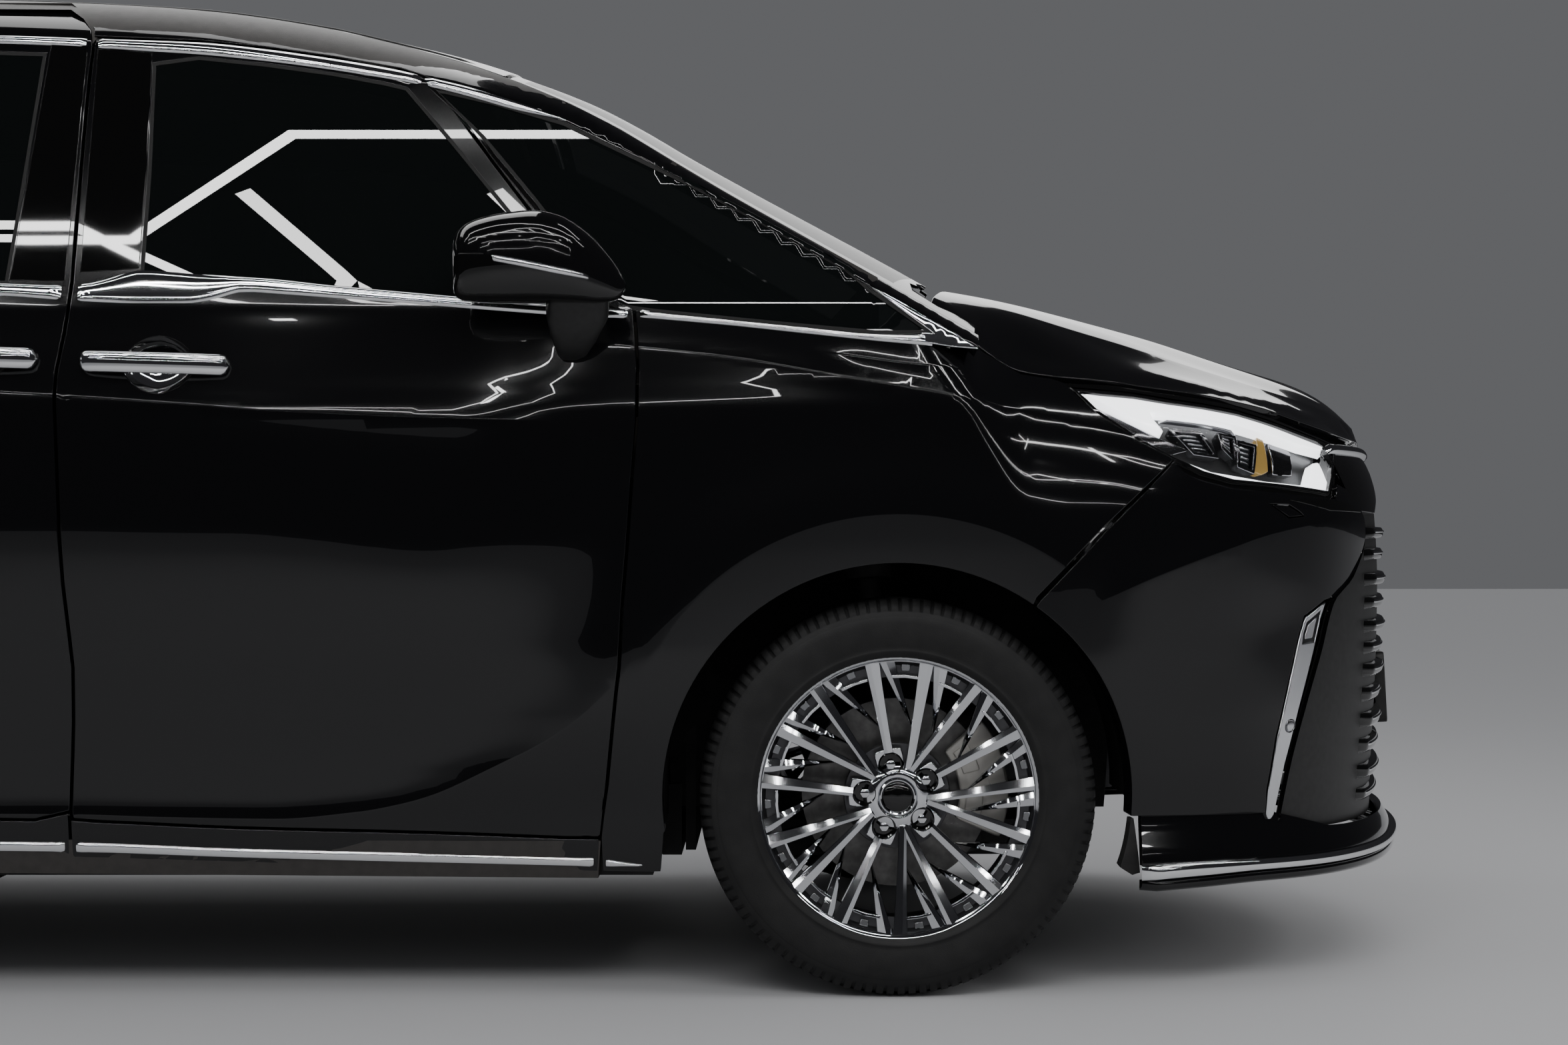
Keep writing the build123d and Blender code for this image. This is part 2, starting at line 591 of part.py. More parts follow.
# =====================================================================
# wheelhouse liners: thin arched shells over the four wheels
# =====================================================================
with BuildPart() as liners:
    for xc, yi in ((X_FA, 470), (X_RA, 640)):
        with BuildSketch(Plane.XZ.offset(yi)) as ln:
            with BuildLine():
                a0, a1 = math.radians(-2), math.radians(182)
                r0, r1 = R_ARCH + 8, R_ARCH + 14

                def on(r, a):
                    return (xc + r * math.cos(a), R_TYRE + r * math.sin(a))

                am = (a0 + a1) / 2
                ThreePointArc(on(r0, a0), on(r0, am), on(r0, a1))
                Line(on(r0, a1), on(r1, a1))
                ThreePointArc(on(r1, a1), on(r1, am), on(r1, a0))
                Line(on(r1, a0), on(r0, a0))
            make_face()
        extrude(amount=(868 if xc > 0 else 806) - yi)
    # openings for the front struts
    with BuildSketch(Plane.XY.offset(640)) as strut_hole:
        with Locations((1478, -640)):
            Rectangle(170, 200)
    extrude(amount=260, mode=Mode.SUBTRACT)
    mirror(about=Plane.XZ)
save(liners.part, "wheelhouse_liners")


# =====================================================================
# front end: a shell wrapped round the nose, cut into bumper, grille, lamps
# =====================================================================
def wrap_outline(z, front, inset):
    """Half plan curve from the side to the centre line at height z."""
    pts = []
    if front:
        for x in (1740, 1800, 1860, 1920):
            pts.append((x, fender(x, min(z, tab(HOOD_EDGE_Z, x) - 2))))
        k = flat_side(min(z, 1000)) / 945.0
        for y in (800, 740, 660, 560, 440, 300, 150, 0):
            pts.append((nose(y, z), y * k))
    else:
        for x in (-1970, -2040, -2110, -2180):
            pts.append((x, flat_side(z) - tab(TAPER, x)))
        k = flat_side(z) / 945.0
        for y in (830, 780, 710, 620, 470, 300, 150, 0):
            pts.append((tab(TAIL_X, z) + tab(TAIL_PLAN, y), y * k))
    if not inset:
        return pts
    sgn = 1.0 if front else -1.0
    full = [(2 * pts[0][0] - pts[1][0], 2 * pts[0][1] - pts[1][1])] + pts + [
        (pts[-2][0], -pts[-2][1])]
    out = []
    for i in range(1, len(full) - 1):
        dx, dy = full[i + 1][0] - full[i - 1][0], full[i + 1][1] - full[i - 1][1]
        ln = math.hypot(dx, dy)
        out.append((full[i][0] + sgn * inset * dy / ln, full[i][1] - sgn * inset * dx / ln))
    out[0] = (pts[0][0], out[0][1])
    out[-1] = (out[-1][0], 0.0)
    return out


def wrap_shell(front, zs, t):
    with BuildPart(mode=Mode.PRIVATE) as sh:
        for inset, md in ((0.0, Mode.ADD), (t, Mode.SUBTRACT)):
            for z in zs:
                with BuildSketch(Plane.XY.offset(z)):
                    half = wrap_outline(z, front, inset)
                    with BuildLine():
                        Spline(*([(x, -y) for x, y in half] + [(x, y) for x, y in half[-2::-1]]))
                        Line((half[0][0], half[0][1]), (half[0][0], -half[0][1]))
                    make_face()
            loft(mode=md)
    return sh.part


nose_shell = wrap_shell(True, (150, 240, 420, 620, 800, 930, 1050, 1190), 60)
print("nose shell", nose_shell.volume / 1e6)

with BuildPart() as headlamps:
    add(nose_shell & poly_prism(grown(LAMP, -1.5), -1100, -300))
    add(hood_clear, mode=Mode.SUBTRACT)
    mirror(about=Plane.XZ)
save(headlamps.part, "headlamps")
print("lamps", headlamps.part.volume / 1e6, len(headlamps.part.solids()))

GRILLE_YZ = [(-560, 860), (-590, 700), (-560, 480), (-520, 330), (520, 330), (560, 480),
             (590, 700), (560, 860), (330, 905), (-330, 905)]
with BuildPart() as front_bumper:
    add(nose_shell)
    # behind the fender's edge, under the lamps and the hood
    add(poly_prism([(1763, 712), (1812, 764), (1880, 836), (2012, 966), (2060, 958),
                    (2120, 936), (2260, 913), (2352, 903), (2402, 900), (2404, 962),
                    (2300, 1200), (2700, 1200), (2700, 185), (1900, 208), (1836, 232),
                    (1740, 240), (1740, 690)], -1100, 1100), mode=Mode.INTERSECT)
    add(poly_prism(grown(LAMP, 0.5), -1100, 1100), mode=Mode.SUBTRACT)
    with BuildSketch(Plane.XZ.offset(1100)) as b_arch:
        with Locations((X_FA, R_TYRE)):
            Circle(R_ARCH)
    extrude(amount=-2200, mode=Mode.SUBTRACT)
    with BuildSketch(Plane.XZ.offset(870)) as b_liner:
        with Locations((X_FA, R_TYRE)):
            Circle(R_ARCH + 18)
    extrude(amount=-1740, mode=Mode.SUBTRACT)
    add(back_prism(GRILLE_YZ, 2200, 2700), mode=Mode.SUBTRACT)
    add(hood_clear, mode=Mode.SUBTRACT)
    # splitter lip
    add((nose_shell & plan_prism([(1900, -1000), (2600, -1000), (2600, 1000), (1900, 1000)],
                                 218, 250)).translate(Vector(41, 0, -4)))
save(front_bumper.part, "front_bumper")
print("front bumper", front_bumper.part.volume / 1e6, len(front_bumper.part.solids()))

with BuildPart() as grille:
    add((nose_shell & back_prism(grown(GRILLE_YZ, -1.5), 2200, 2700)))
    with BuildSketch(Plane.YZ.offset(2200)) as slots:
        with GridLocations(46, 0, 21, 1):
            with Locations((0, 610)):
                Rectangle(30, 420)
    extrude(amount=500, mode=Mode.SUBTRACT)
save(grille.part, "front_grille")
print("grille", grille.part.volume / 1e6, len(grille.part.solids()))


# =====================================================================
# rear end
# =====================================================================
tail_shell = wrap_shell(False, (190, 300, 480, 640, 900, 1120, 1300, 1500, 1700, 1790), 60)
print("tail shell", tail_shell.volume / 1e6)
with BuildPart() as rear_bumper:
    add(tail_shell)
    add(poly_prism([(-2700, 592), (-2700, 190), (-2000, 262), (-1938, 330), (-1990, 440),
                    (-2060, 592)], -1100, 1100), mode=Mode.INTERSECT)
    with BuildSketch(Plane.XZ.offset(1100)) as rb_arch:
        with Locations((X_RA, R_TYRE)):
            Circle(R_ARCH)
    extrude(amount=-2200, mode=Mode.SUBTRACT)
    # beam across the back
    with BuildSketch(Plane.XY.offset(330)) as beam:
        with Locations((-2455, 0)):
            Rectangle(60, 1200)
    extrude(amount=120)
save(rear_bumper.part, "rear_bumper")
print("rear bumper", rear_bumper.part.volume / 1e6, len(rear_bumper.part.solids()))

rear_zone = poly_prism([(-2254, 600), (-2700, 600), (-2700, 1900), (-2254, 1900)], -1100, 1100)
gate_block = back_prism(grown(gate_yz, GAP), -2700, -2200)
with BuildPart() as rear_corners:
    # corner pillars between the body sides and the tailgate
    add(tail_shell & poly_prism([(-2254, 600), (-2700, 600), (-2700, 1776), (-2254, 1776)],
                                -1100, 1100))
    add(gate_block, mode=Mode.SUBTRACT)
    add(poly_prism([(-2150, 930), (-2700, 930), (-2700, 1130), (-2150, 1130)], -1100, 1100),
        mode=Mode.SUBTRACT)
save(rear_corners.part, "rear_corner_panels")
print("corners", rear_corners.part.volume / 1e6, len(rear_corners.part.solids()))

with BuildPart() as tail_lamps:
    add(tail_shell & poly_prism([(-2256, 932), (-2700, 932), (-2700, 1128), (-2256, 1128)],
                                -1100, 1100))
    add(gate_block, mode=Mode.SUBTRACT)
save(tail_lamps.part, "tail_lamps")
print("tail lamps", tail_lamps.part.volume / 1e6, len(tail_lamps.part.solids()))

# =====================================================================
# tailgate with spoiler
# =====================================================================
def gate_skin(y, z):
    return tab(TAIL_X, z) + tab(TAIL_PLAN, abs(y) * 945.0 / flat_side(z))


gate_win = [(-610, 1262), (610, 1262), (598, 1420), (552, 1690), (530, 1716), (-530, 1716),
            (-552, 1690), (-598, 1420)]
with BuildPart() as tailgate:
    add(slab_back(gate_skin, -800, 800, 560, 1850, 0, 60, 17, 18) & back_prism(gate_yz, -2700, -2264))
    add(back_prism(gate_win, -2700, -2200), mode=Mode.SUBTRACT)
    # roof end and spoiler, reaching forward to the hinge line
    add(slab_top(roof, -2490, -2200, -640, 640, 0, 26, 8, 15)
        & plan_prism([(-2266, -560), (-2266, 560), (-2400, 590), (-2462, 560), (-2476, 300),
                      (-2480, 0), (-2476, -300), (-2462, -560), (-2400, -590)], 1500, 2100))
    # recess for the rear plate
    with BuildSketch(Plane.YZ.offset(-2560)) as plate_recess:
        with Locations((0, 820)):
            RectangleRounded(560, 150, 12)
    extrude(amount=46, mode=Mode.SUBTRACT)
save(tailgate.part, "tailgate")
print("tailgate", tailgate.part.volume / 1e6, len(tailgate.part.solids()),
      tailgate.part.bounding_box())

with BuildPart() as gate_glass:
    add(slab_back(gate_skin, -800, 800, 1200, 1790, 6, 6, 15, 10)
        & back_prism(grown(gate_win, -1.0), -2700, -2200))
save(gate_glass.part, "tailgate_glass")

# =====================================================================
# floor, bulkhead, underbody
# =====================================================================
with BuildPart() as floor_pan:
    with BuildSketch(Plane.XY.offset(FLOOR_BOT)) as fl:
        with BuildLine():
            Polyline((-2368, -560), (-1030, -560), (-1030, -774), (1054, -774), (1054, -460),
                     (1096, -460), (1096, 460), (1054, 460), (1054, 774), (-1030, 774),
                     (-1030, 560), (-2368, 560), close=True)
        make_face()
    extrude(amount=FLOOR_TOP - FLOOR_BOT)
    # lightened from below: the sheet, with a sill of ribs left standing
    with BuildSketch(Plane.XY.offset(FLOOR_BOT)) as bays:
        with GridLocations(400, 500, 5, 3):
            Rectangle(330, 430)
        with Locations((-1290, 0)):
            Rectangle(360, 1000)
        with Locations((-1915, 0)):
            Rectangle(800, 1000)
        with Locations((X_RA + 130, 0)):
            Rectangle(150, 1200)
    extrude(amount=FLOOR_TOP - FLOOR_BOT - 30, mode=Mode.SUBTRACT)
    # raised load floor behind the rear axle
    with BuildSketch(Plane.XY.offset(FLOOR_TOP)) as load:
        with Locations((-1800, 0)):
            Rectangle(1100, 1100)
    extrude(amount=115)
save(floor_pan.part, "floor_pan")
print("floor", floor_pan.part.volume / 1e6, len(floor_pan.part.solids()))

with BuildPart() as bulkhead:
    with BuildSketch(Plane.XZ.offset(-700)) as bh:
        with BuildLine():
            Polyline((1104, 640), (1124, 640), (1124, 1130), (1500, 1160), (1500, 1180),
                     (1104, 1152), close=True)
        make_face()
    extrude(amount=1400)
    with BuildSketch(Plane.XZ.offset(-462)) as bh2:
        with BuildLine():
            Polyline((1104, 215), (1124, 215), (1124, 660), (1104, 660), close=True)
        make_face()
    extrude(amount=924)
save(bulkhead.part, "bulkhead")

with BuildPart() as engine:
    with BuildSketch(Plane.XY.offset(330)) as eng:
        with Locations((1680, 0)):
            RectangleRounded(560, 760, 40)
    extrude(amount=600)
save(engine.part, "engine_block")

with BuildPart() as subframe:
    with BuildSketch(Plane.XY.offset(200)) as sfr:
        with BuildLine():
            Polyline((1180, -430), (1860, -400), (1900, -300), (1900, 300), (1860, 400),
                     (1180, 430), close=True)
        make_face()
        with Locations((1560, 0)):
            RectangleRounded(380, 560, 30, mode=Mode.SUBTRACT)
    extrude(amount=70)
    # lower arms out to the ball joints
    for sgn in (-1, 1):
        with BuildSketch(Plane.XY.offset(210)) as arm_sk:
            with BuildLine():
                Polyline((1330, sgn * 400), (1700, sgn * 395), (1530, sgn * 652),
                         (1465, sgn * 656), close=True)
            make_face()
        extrude(amount=34)
save(subframe.part, "front_subframe")
print("subframe", len(subframe.part.solids()))

with BuildPart() as rear_axle:
    with BuildSketch(Plane.XZ.offset(-632)) as beam2:
        with Locations((X_RA + 130, 262)):
            RectangleRounded(110, 80, 20)
    extrude(amount=1264)
    for sgn in (-1, 1):
        # trailing arm and hub carrier with its spindle
        with BuildSketch(Plane.XZ.offset(-sgn * 632)) as ta:
            with BuildLine():
                Polyline((X_RA + 440, 300), (X_RA + 440, 240), (X_RA + 180, 222),
                         (X_RA + 60, 222), (X_RA - 60, 300), (X_RA - 60, 410), (X_RA + 60, 420),
                         (X_RA + 120, 320), close=True)
            make_face()
        extrude(amount=sgn * 54)
        with BuildSketch(Plane.XZ.offset(-sgn * 620)) as carrier:
            with Locations((X_RA, R_TYRE)):
                Circle(56)
        extrude(amount=-sgn * 130)
        with BuildSketch(Plane.XZ.offset(-sgn * 740)) as spindle:
            with Locations((X_RA, R_TYRE)):
                Circle(27)
        extrude(amount=-sgn * 150)
save(rear_axle.part, "rear_axle")
print("rear axle", len(rear_axle.part.solids()), rear_axle.part.bounding_box())

with BuildPart() as exhaust:
    with BuildLine() as pipe:
        FilletPolyline((1060, 210, 174), (200, 210, 170), (-900, 300, 170), (-1560, 330, 172),
                       (-1760, 330, 205), (-1990, 330, 245), radius=120)
    with BuildSketch(Plane(origin=(1060, 210, 175), z_dir=(-1, 0, 0))) as pipe_sec:
        Circle(28)
    sweep()
    with BuildSketch(Plane.YZ.offset(-1968)) as muf:
        with Locations((330, 245)):
            RectangleRounded(260, 90, 40)
    extrude(amount=-345)
save(exhaust.part, "exhaust_system")
print("exhaust", len(exhaust.part.solids()))

with BuildPart() as tank:
    with BuildSketch(Plane.XY.offset(160)) as tk:
        with Locations((-560, -330)):
            RectangleRounded(620, 500, 60)
    extrude(amount=42)
save(tank.part, "fuel_tank")

# =====================================================================
# cabin
# =====================================================================
with BuildPart() as dash:
    with BuildSketch(Plane.XZ.offset(-760)) as ds:
        with BuildLine():
            Polyline((1096, 640), (1096, 1120), (1060, 1150), (900, 1140), (770, 1090),
                     (740, 1020), (800, 900), (860, 700), (1000, 600), close=True)
        make_face()
    extrude(amount=1520)
    # console between the seats
    with BuildSketch(Plane.XY.offset(FLOOR_TOP + 2)) as con:
        with Locations((600, 0)):
            RectangleRounded(560, 220, 40)
    extrude(amount=330)
    with BuildSketch(Plane.YZ.offset(820)) as con2:
        with Locations((0, 560)):
            RectangleRounded(220, 420, 30)
    extrude(amount=110)
save(dash.part, "dashboard")
print("dash", len(dash.part.solids()))


def seat(xb, yc, w, zf, zc, length, back_h, lean):
    """Seat with a plinth, cushion, leaning back and headrest."""
    with BuildPart(mode=Mode.PRIVATE) as st:
        with BuildSketch(Plane.XZ.offset(-yc - w / 2)) as cu:
            with BuildLine():
                Polyline((xb + 40, zf), (xb + length - 90, zf), (xb + length - 60, zc - 140),
                         (xb + length, zc - 90), (xb + length, zc - 20), (xb + length - 60, zc),
                         (xb + 60, zc - 30), (xb - lean + 95, zc + back_h),
                         (xb - lean + 20, zc + back_h + 10), (xb - lean, zc + back_h - 40),
                         (xb - 20, zc - 60), close=True)
            make_face()
        extrude(amount=w)
        with BuildSketch(Plane.XZ.offset(-yc - 140)) as hr:
            with BuildLine():
                Polyline((xb - lean + 24, zc + back_h - 10), (xb - lean + 90, zc + back_h - 20),
                         (xb - lean + 80, zc + back_h + 180), (xb - lean - 10, zc + back_h + 190),
                         (xb - lean - 20, zc + back_h + 60), close=True)
            make_face()
        extrude(amount=280)
    return st.part


with BuildPart() as front_seats:
    for yc in (-385, 385):
        add(seat(130, yc, 520, FLOOR_TOP + 2, 690, 520, 560, 190))
save(front_seats.part, "front_seats")
with BuildPart() as captain_seats:
    for yc in (-385, 385):
        add(seat(-790, yc, 560, FLOOR_TOP + 2, 700, 560, 620, 200))
save(captain_seats.part, "captain_seats")
with BuildPart() as rear_bench:
    add(seat(-1700, 0, 1200, FLOOR_TOP + 117, 740, 480, 560, 160))
    with BuildSketch(Plane.XZ.offset(-600)) as hrs:
        with Locations((-1826, 1395)):
            Rectangle(80, 150)
    extrude(amount=240)
    with BuildSketch(Plane.XZ.offset(360)) as hrs2:
        with Locations((-1826, 1395)):
            Rectangle(80, 150)
    extrude(amount=240)
save(rear_bench.part, "rear_bench")
print("bench", len(rear_bench.part.solids()), len(front_seats.part.solids()))

# =====================================================================
# steering wheel and column
# =====================================================================
COL = Plane(origin=(640, 385, 1000), z_dir=(-math.cos(math.radians(24)), 0,
                                           math.sin(math.radians(24))))
with BuildPart() as steering:
    with BuildSketch(Plane(origin=COL.origin, x_dir=(0, 1, 0),
                           z_dir=Vector(COL.z_dir).cross(Vector(0, 1, 0)))) as sec:
        with Locations((180, 0)):
            Circle(15)
    revolve(axis=Axis(COL.origin, COL.z_dir))
    with BuildSketch(COL.offset(-16)) as hub_sk:
        Circle(62)
        Rectangle(26, 360)
    extrude(amount=20)
    with BuildSketch(COL.offset(-100)) as colm:
        Circle(22)
    extrude(amount=90)
save(steering.part, "steering_wheel")
print("steering", len(steering.part.solids()), steering.part.bounding_box())

# =====================================================================
# knuckles with struts and calipers; wheels
# =====================================================================
kl, kt = Vector(*KING_LOW), Vector(*KING_TOP)
king_dir = (kt - kl).normalized()


def right_of(v):
    return Vector(v.X, -v.Y, v.Z)


with BuildPart() as knuckle_r:
    kp = right_of(kl)
    kd = right_of(king_dir)
    with BuildSketch(Plane(origin=kp + kd * 10, z_dir=kd)) as strut:
        Circle(24)
    extrude(amount=720)
    with BuildSketch(Plane(origin=kp + kd * 560, z_dir=kd)) as spring:
        Circle(52)
    extrude(amount=165)
    # upright from the strut to the hub face
    with BuildSketch(Plane.XZ.offset(690)) as upr:
        with Locations((X_FA, R_TYRE)):
            Circle(58)
    extrude(amount=55)
    with BuildSketch(Plane.XZ.offset(700)) as upr2:
        with BuildLine():
            Polyline((X_FA - 50, 205), (X_FA + 30, 205), (X_FA + 40, 440), (X_FA - 60, 440),
                     close=True)
        make_face()
    extrude(amount=36)
    # caliper over the front of the disc, on its bracket
    with BuildSketch(Plane.XZ.offset(712)) as cal:
        with BuildLine():
            c0, c1 = math.radians(-22), math.radians(40)
            cm = (c0 + c1) / 2

            def cp(r, a):
                return (X_FA + r * math.cos(a), R_TYRE + r * math.sin(a))

            ThreePointArc(cp(50, c0), cp(50, cm), cp(50, c1))
            Line(cp(50, c1), cp(206, c1))
            ThreePointArc(cp(206, c1), cp(206, cm), cp(206, c0))
            Line(cp(206, c0), cp(50, c0))
        make_face()
    extrude(amount=20)
    with BuildSketch(Plane.XZ.offset(731)) as cal2:
        with BuildLine():
            ThreePointArc(cp(182, c0), cp(182, cm), cp(182, c1))
            Line(cp(182, c1), cp(206, c1))
            ThreePointArc(cp(206, c1), cp(206, cm), cp(206, c0))
            Line(cp(206, c0), cp(182, c0))
        make_face()
    extrude(amount=62)
    with BuildSketch(Plane.XZ.offset(798)) as cal3:
        with BuildLine():
            ThreePointArc(cp(118, c0), cp(118, cm), cp(118, c1))
            Line(cp(118, c1), cp(206, c1))
            ThreePointArc(cp(206, c1), cp(206, cm), cp(206, c0))
            Line(cp(206, c0), cp(118, c0))
        make_face()
    extrude(amount=28)
    with BuildSketch(Plane.XZ.offset(785)) as cal4:
        with BuildLine():
            ThreePointArc(cp(182, c0), cp(182, cm), cp(182, c1))
            Line(cp(182, c1), cp(206, c1))
            ThreePointArc(cp(206, c1), cp(206, cm), cp(206, c0))
            Line(cp(206, c0), cp(182, c0))
        make_face()
    extrude(amount=16)
    with BuildSketch(Plane.XZ.offset(740)) as spindle_f:
        with Locations((X_FA, R_TYRE)):
            Circle(27)
    extrude(amount=150)
save(knuckle_r.part, "right_knuckle")
save(left_of(knuckle_r.part), "left_knuckle")
print("knuckle", len(knuckle_r.part.solids()), knuckle_r.part.bounding_box())


def wheel_parts(xc):
    """Tyre, rim and brake disc of a right-hand wheel at xc."""
    yc = Y_WHEEL
    with BuildPart(mode=Mode.PRIVATE) as tyre:
        with BuildSketch(Plane.XY) as ts:
            with BuildLine():
                # profile in (y across, radius) written as x = radius, y = across
                Polyline((R_RIM - 14, -92), (R_RIM - 2, -103), (R_RIM + 32, -112),
                         (R_TYRE - 34, -111), (R_TYRE - 11, -97), (R_TYRE - 2, -72), (R_TYRE, 0),
                         (R_TYRE - 2, 72), (R_TYRE - 11, 97), (R_TYRE - 34, 111),
                         (R_RIM + 32, 112), (R_RIM - 2, 103), (R_RIM - 14, 92), close=True)
            make_face()
        revolve(axis=Axis.Y)
    with BuildPart(mode=Mode.PRIVATE) as rim:
        with BuildSketch(Plane.XY) as rs:
            with BuildLine():
                Polyline((R_RIM - 14.5, -106), (R_RIM + 1.0, -106), (R_RIM - 2.3, -103.8),
                         (R_RIM - 14.6, -92.8), (R_RIM - 14.6, 92.8), (R_RIM - 2.3, 103.8),
                         (R_RIM + 1.0, 106), (R_RIM - 14.5, 106), (R_RIM - 22, 84),
                         (R_RIM - 34, 60), (R_RIM - 34, -60), (R_RIM - 24, -96), close=True)
            make_face()
        revolve(axis=Axis.Y)
        with BuildSketch(Plane.XZ.offset(64)) as face_sk:
            Circle(R_RIM - 26)
            with PolarLocations(152, 15):
                SlotCenterToCenter(108, 22, mode=Mode.SUBTRACT)
            with PolarLocations(PCD / 2, LUGS, 30):
                Circle(LUG_R, mode=Mode.SUBTRACT)
            Circle(BORE_R, mode=Mode.SUBTRACT)
        extrude(amount=24)
        with BuildSketch(Plane.XZ.offset(20)) as hubpad:
            Circle(78)
            with PolarLocations(PCD / 2, LUGS, 30):
                Circle(LUG_R, mode=Mode.SUBTRACT)
            Circle(BORE_R, mode=Mode.SUBTRACT)
        extrude(amount=50)
    with BuildPart(mode=Mode.PRIVATE) as disc:
        with BuildSketch(Plane.XZ.offset(-46)) as d1:
            Circle(174)
            Circle(70, mode=Mode.SUBTRACT)
        extrude(amount=28)
        with BuildSketch(Plane.XZ.offset(-46)) as d2:
            Circle(78)
            Circle(70, mode=Mode.SUBTRACT)
        extrude(amount=64)
        with BuildSketch(Plane.XZ.offset(10)) as d3:
            Circle(78)
            with PolarLocations(PCD / 2, LUGS, 30):
                Circle(LUG_R, mode=Mode.SUBTRACT)
            Circle(BORE_R, mode=Mode.SUBTRACT)
        extrude(amount=9)
    at = Location((xc, -yc, R_TYRE))
    return [p.part.moved(at) for p in (tyre, rim, disc)]


for end, xc in (("front", X_FA), ("rear", X_RA)):
    for part_, nm in zip(wheel_parts(xc), ("tyre", "rim", "brake_disc")):
        save(part_, f"{end}_right_{nm}")
        save(left_of(part_), f"{end}_left_{nm}")
print("wheels done")
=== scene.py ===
# Luxury minivan: the looks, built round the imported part.
import bpy
import math
import numpy as np
from mathutils import Vector, Matrix, kdtree
from mathutils.geometry import delaunay_2d_cdt


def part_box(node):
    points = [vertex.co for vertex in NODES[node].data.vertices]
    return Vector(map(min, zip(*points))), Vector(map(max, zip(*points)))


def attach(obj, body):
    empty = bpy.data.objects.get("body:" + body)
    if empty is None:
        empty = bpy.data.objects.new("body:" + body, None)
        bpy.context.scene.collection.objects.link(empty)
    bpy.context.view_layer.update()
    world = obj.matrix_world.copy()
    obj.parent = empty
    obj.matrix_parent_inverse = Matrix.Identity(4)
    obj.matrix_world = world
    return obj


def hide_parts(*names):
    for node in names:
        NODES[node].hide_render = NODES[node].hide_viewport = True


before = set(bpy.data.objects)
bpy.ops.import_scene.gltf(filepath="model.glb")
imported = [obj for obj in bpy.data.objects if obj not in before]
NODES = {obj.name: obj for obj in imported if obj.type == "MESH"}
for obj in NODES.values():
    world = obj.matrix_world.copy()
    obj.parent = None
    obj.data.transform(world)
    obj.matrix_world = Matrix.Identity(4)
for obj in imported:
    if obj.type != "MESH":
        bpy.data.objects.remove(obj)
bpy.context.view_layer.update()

# ------------------------------------------------------------ shape of the body (mm)
class Tab:
    """Smooth monotone interpolation in a table, carried on straight past its ends."""

    def __init__(self, pts):
        self.x = np.array([p[0] for p in pts], float)
        self.y = np.array([p[1] for p in pts], float)
        d = np.diff(self.y) / np.diff(self.x)
        m = np.empty(len(pts))
        m[0], m[-1] = d[0], d[-1]
        for k in range(1, len(pts) - 1):
            m[k] = 0.0 if d[k - 1] * d[k] <= 0 else 2 * d[k - 1] * d[k] / (d[k - 1] + d[k])
        self.m, self.d = m, d

    def __call__(self, v):
        v = np.asarray(v, float)
        n = len(self.x)
        i = np.clip(np.searchsorted(self.x, v, side="right") - 1, 0, n - 2)
        h = self.x[i + 1] - self.x[i]
        t = (v - self.x[i]) / h
        tc = np.clip(t, 0, 1)
        r = ((2 * tc**3 - 3 * tc**2 + 1) * self.y[i] + (tc**3 - 2 * tc**2 + tc) * h * self.m[i]
             + (-2 * tc**3 + 3 * tc**2) * self.y[i + 1] + (tc**3 - tc**2) * h * self.m[i + 1])
        r = np.where(t < 0, self.y[0] + (v - self.x[0]) * self.d[0], r)
        return np.where(t > 1, self.y[-1] + (v - self.x[-1]) * self.d[-1], r)


class Spl:
    """Natural cubic spline, carried on straight past its ends."""

    def __init__(self, pts):
        x = np.array([p[0] for p in pts], float)
        y = np.array([p[1] for p in pts], float)
        n = len(x)
        h = np.diff(x)
        a = np.zeros((n, n))
        b = np.zeros(n)
        a[0, 0] = a[-1, -1] = 1
        for k in range(1, n - 1):
            a[k, k - 1], a[k, k], a[k, k + 1] = h[k - 1], 2 * (h[k - 1] + h[k]), h[k]
            b[k] = 6 * ((y[k + 1] - y[k]) / h[k] - (y[k] - y[k - 1]) / h[k - 1])
        self.c = np.linalg.solve(a, b)
        self.x, self.y, self.h = x, y, h

    def __call__(self, v):
        v = np.asarray(v, float)
        n = len(self.x)
        i = np.clip(np.searchsorted(self.x, v, side="right") - 1, 0, n - 2)
        h = self.h[i]
        vc = np.clip(v, self.x[0], self.x[-1])
        a, b = (self.x[i + 1] - vc) / h, (vc - self.x[i]) / h
        r = (a * self.y[i] + b * self.y[i + 1]
             + ((a**3 - a) * self.c[i] + (b**3 - b) * self.c[i + 1]) * h * h / 6)
        s0 = (self.y[1] - self.y[0]) / self.h[0] - self.h[0] * self.c[1] / 6
        s1 = (self.y[-1] - self.y[-2]) / self.h[-1] + self.h[-1] * self.c[-2] / 6
        return r + np.where(v < self.x[0], (v - self.x[0]) * s0, 0) + np.where(
            v > self.x[-1], (v - self.x[-1]) * s1, 0)


def sstep(a, b, v):
    t = np.clip((np.asarray(v, float) - a) / (b - a), 0, 1)
    return t * t * (3 - 2 * t)


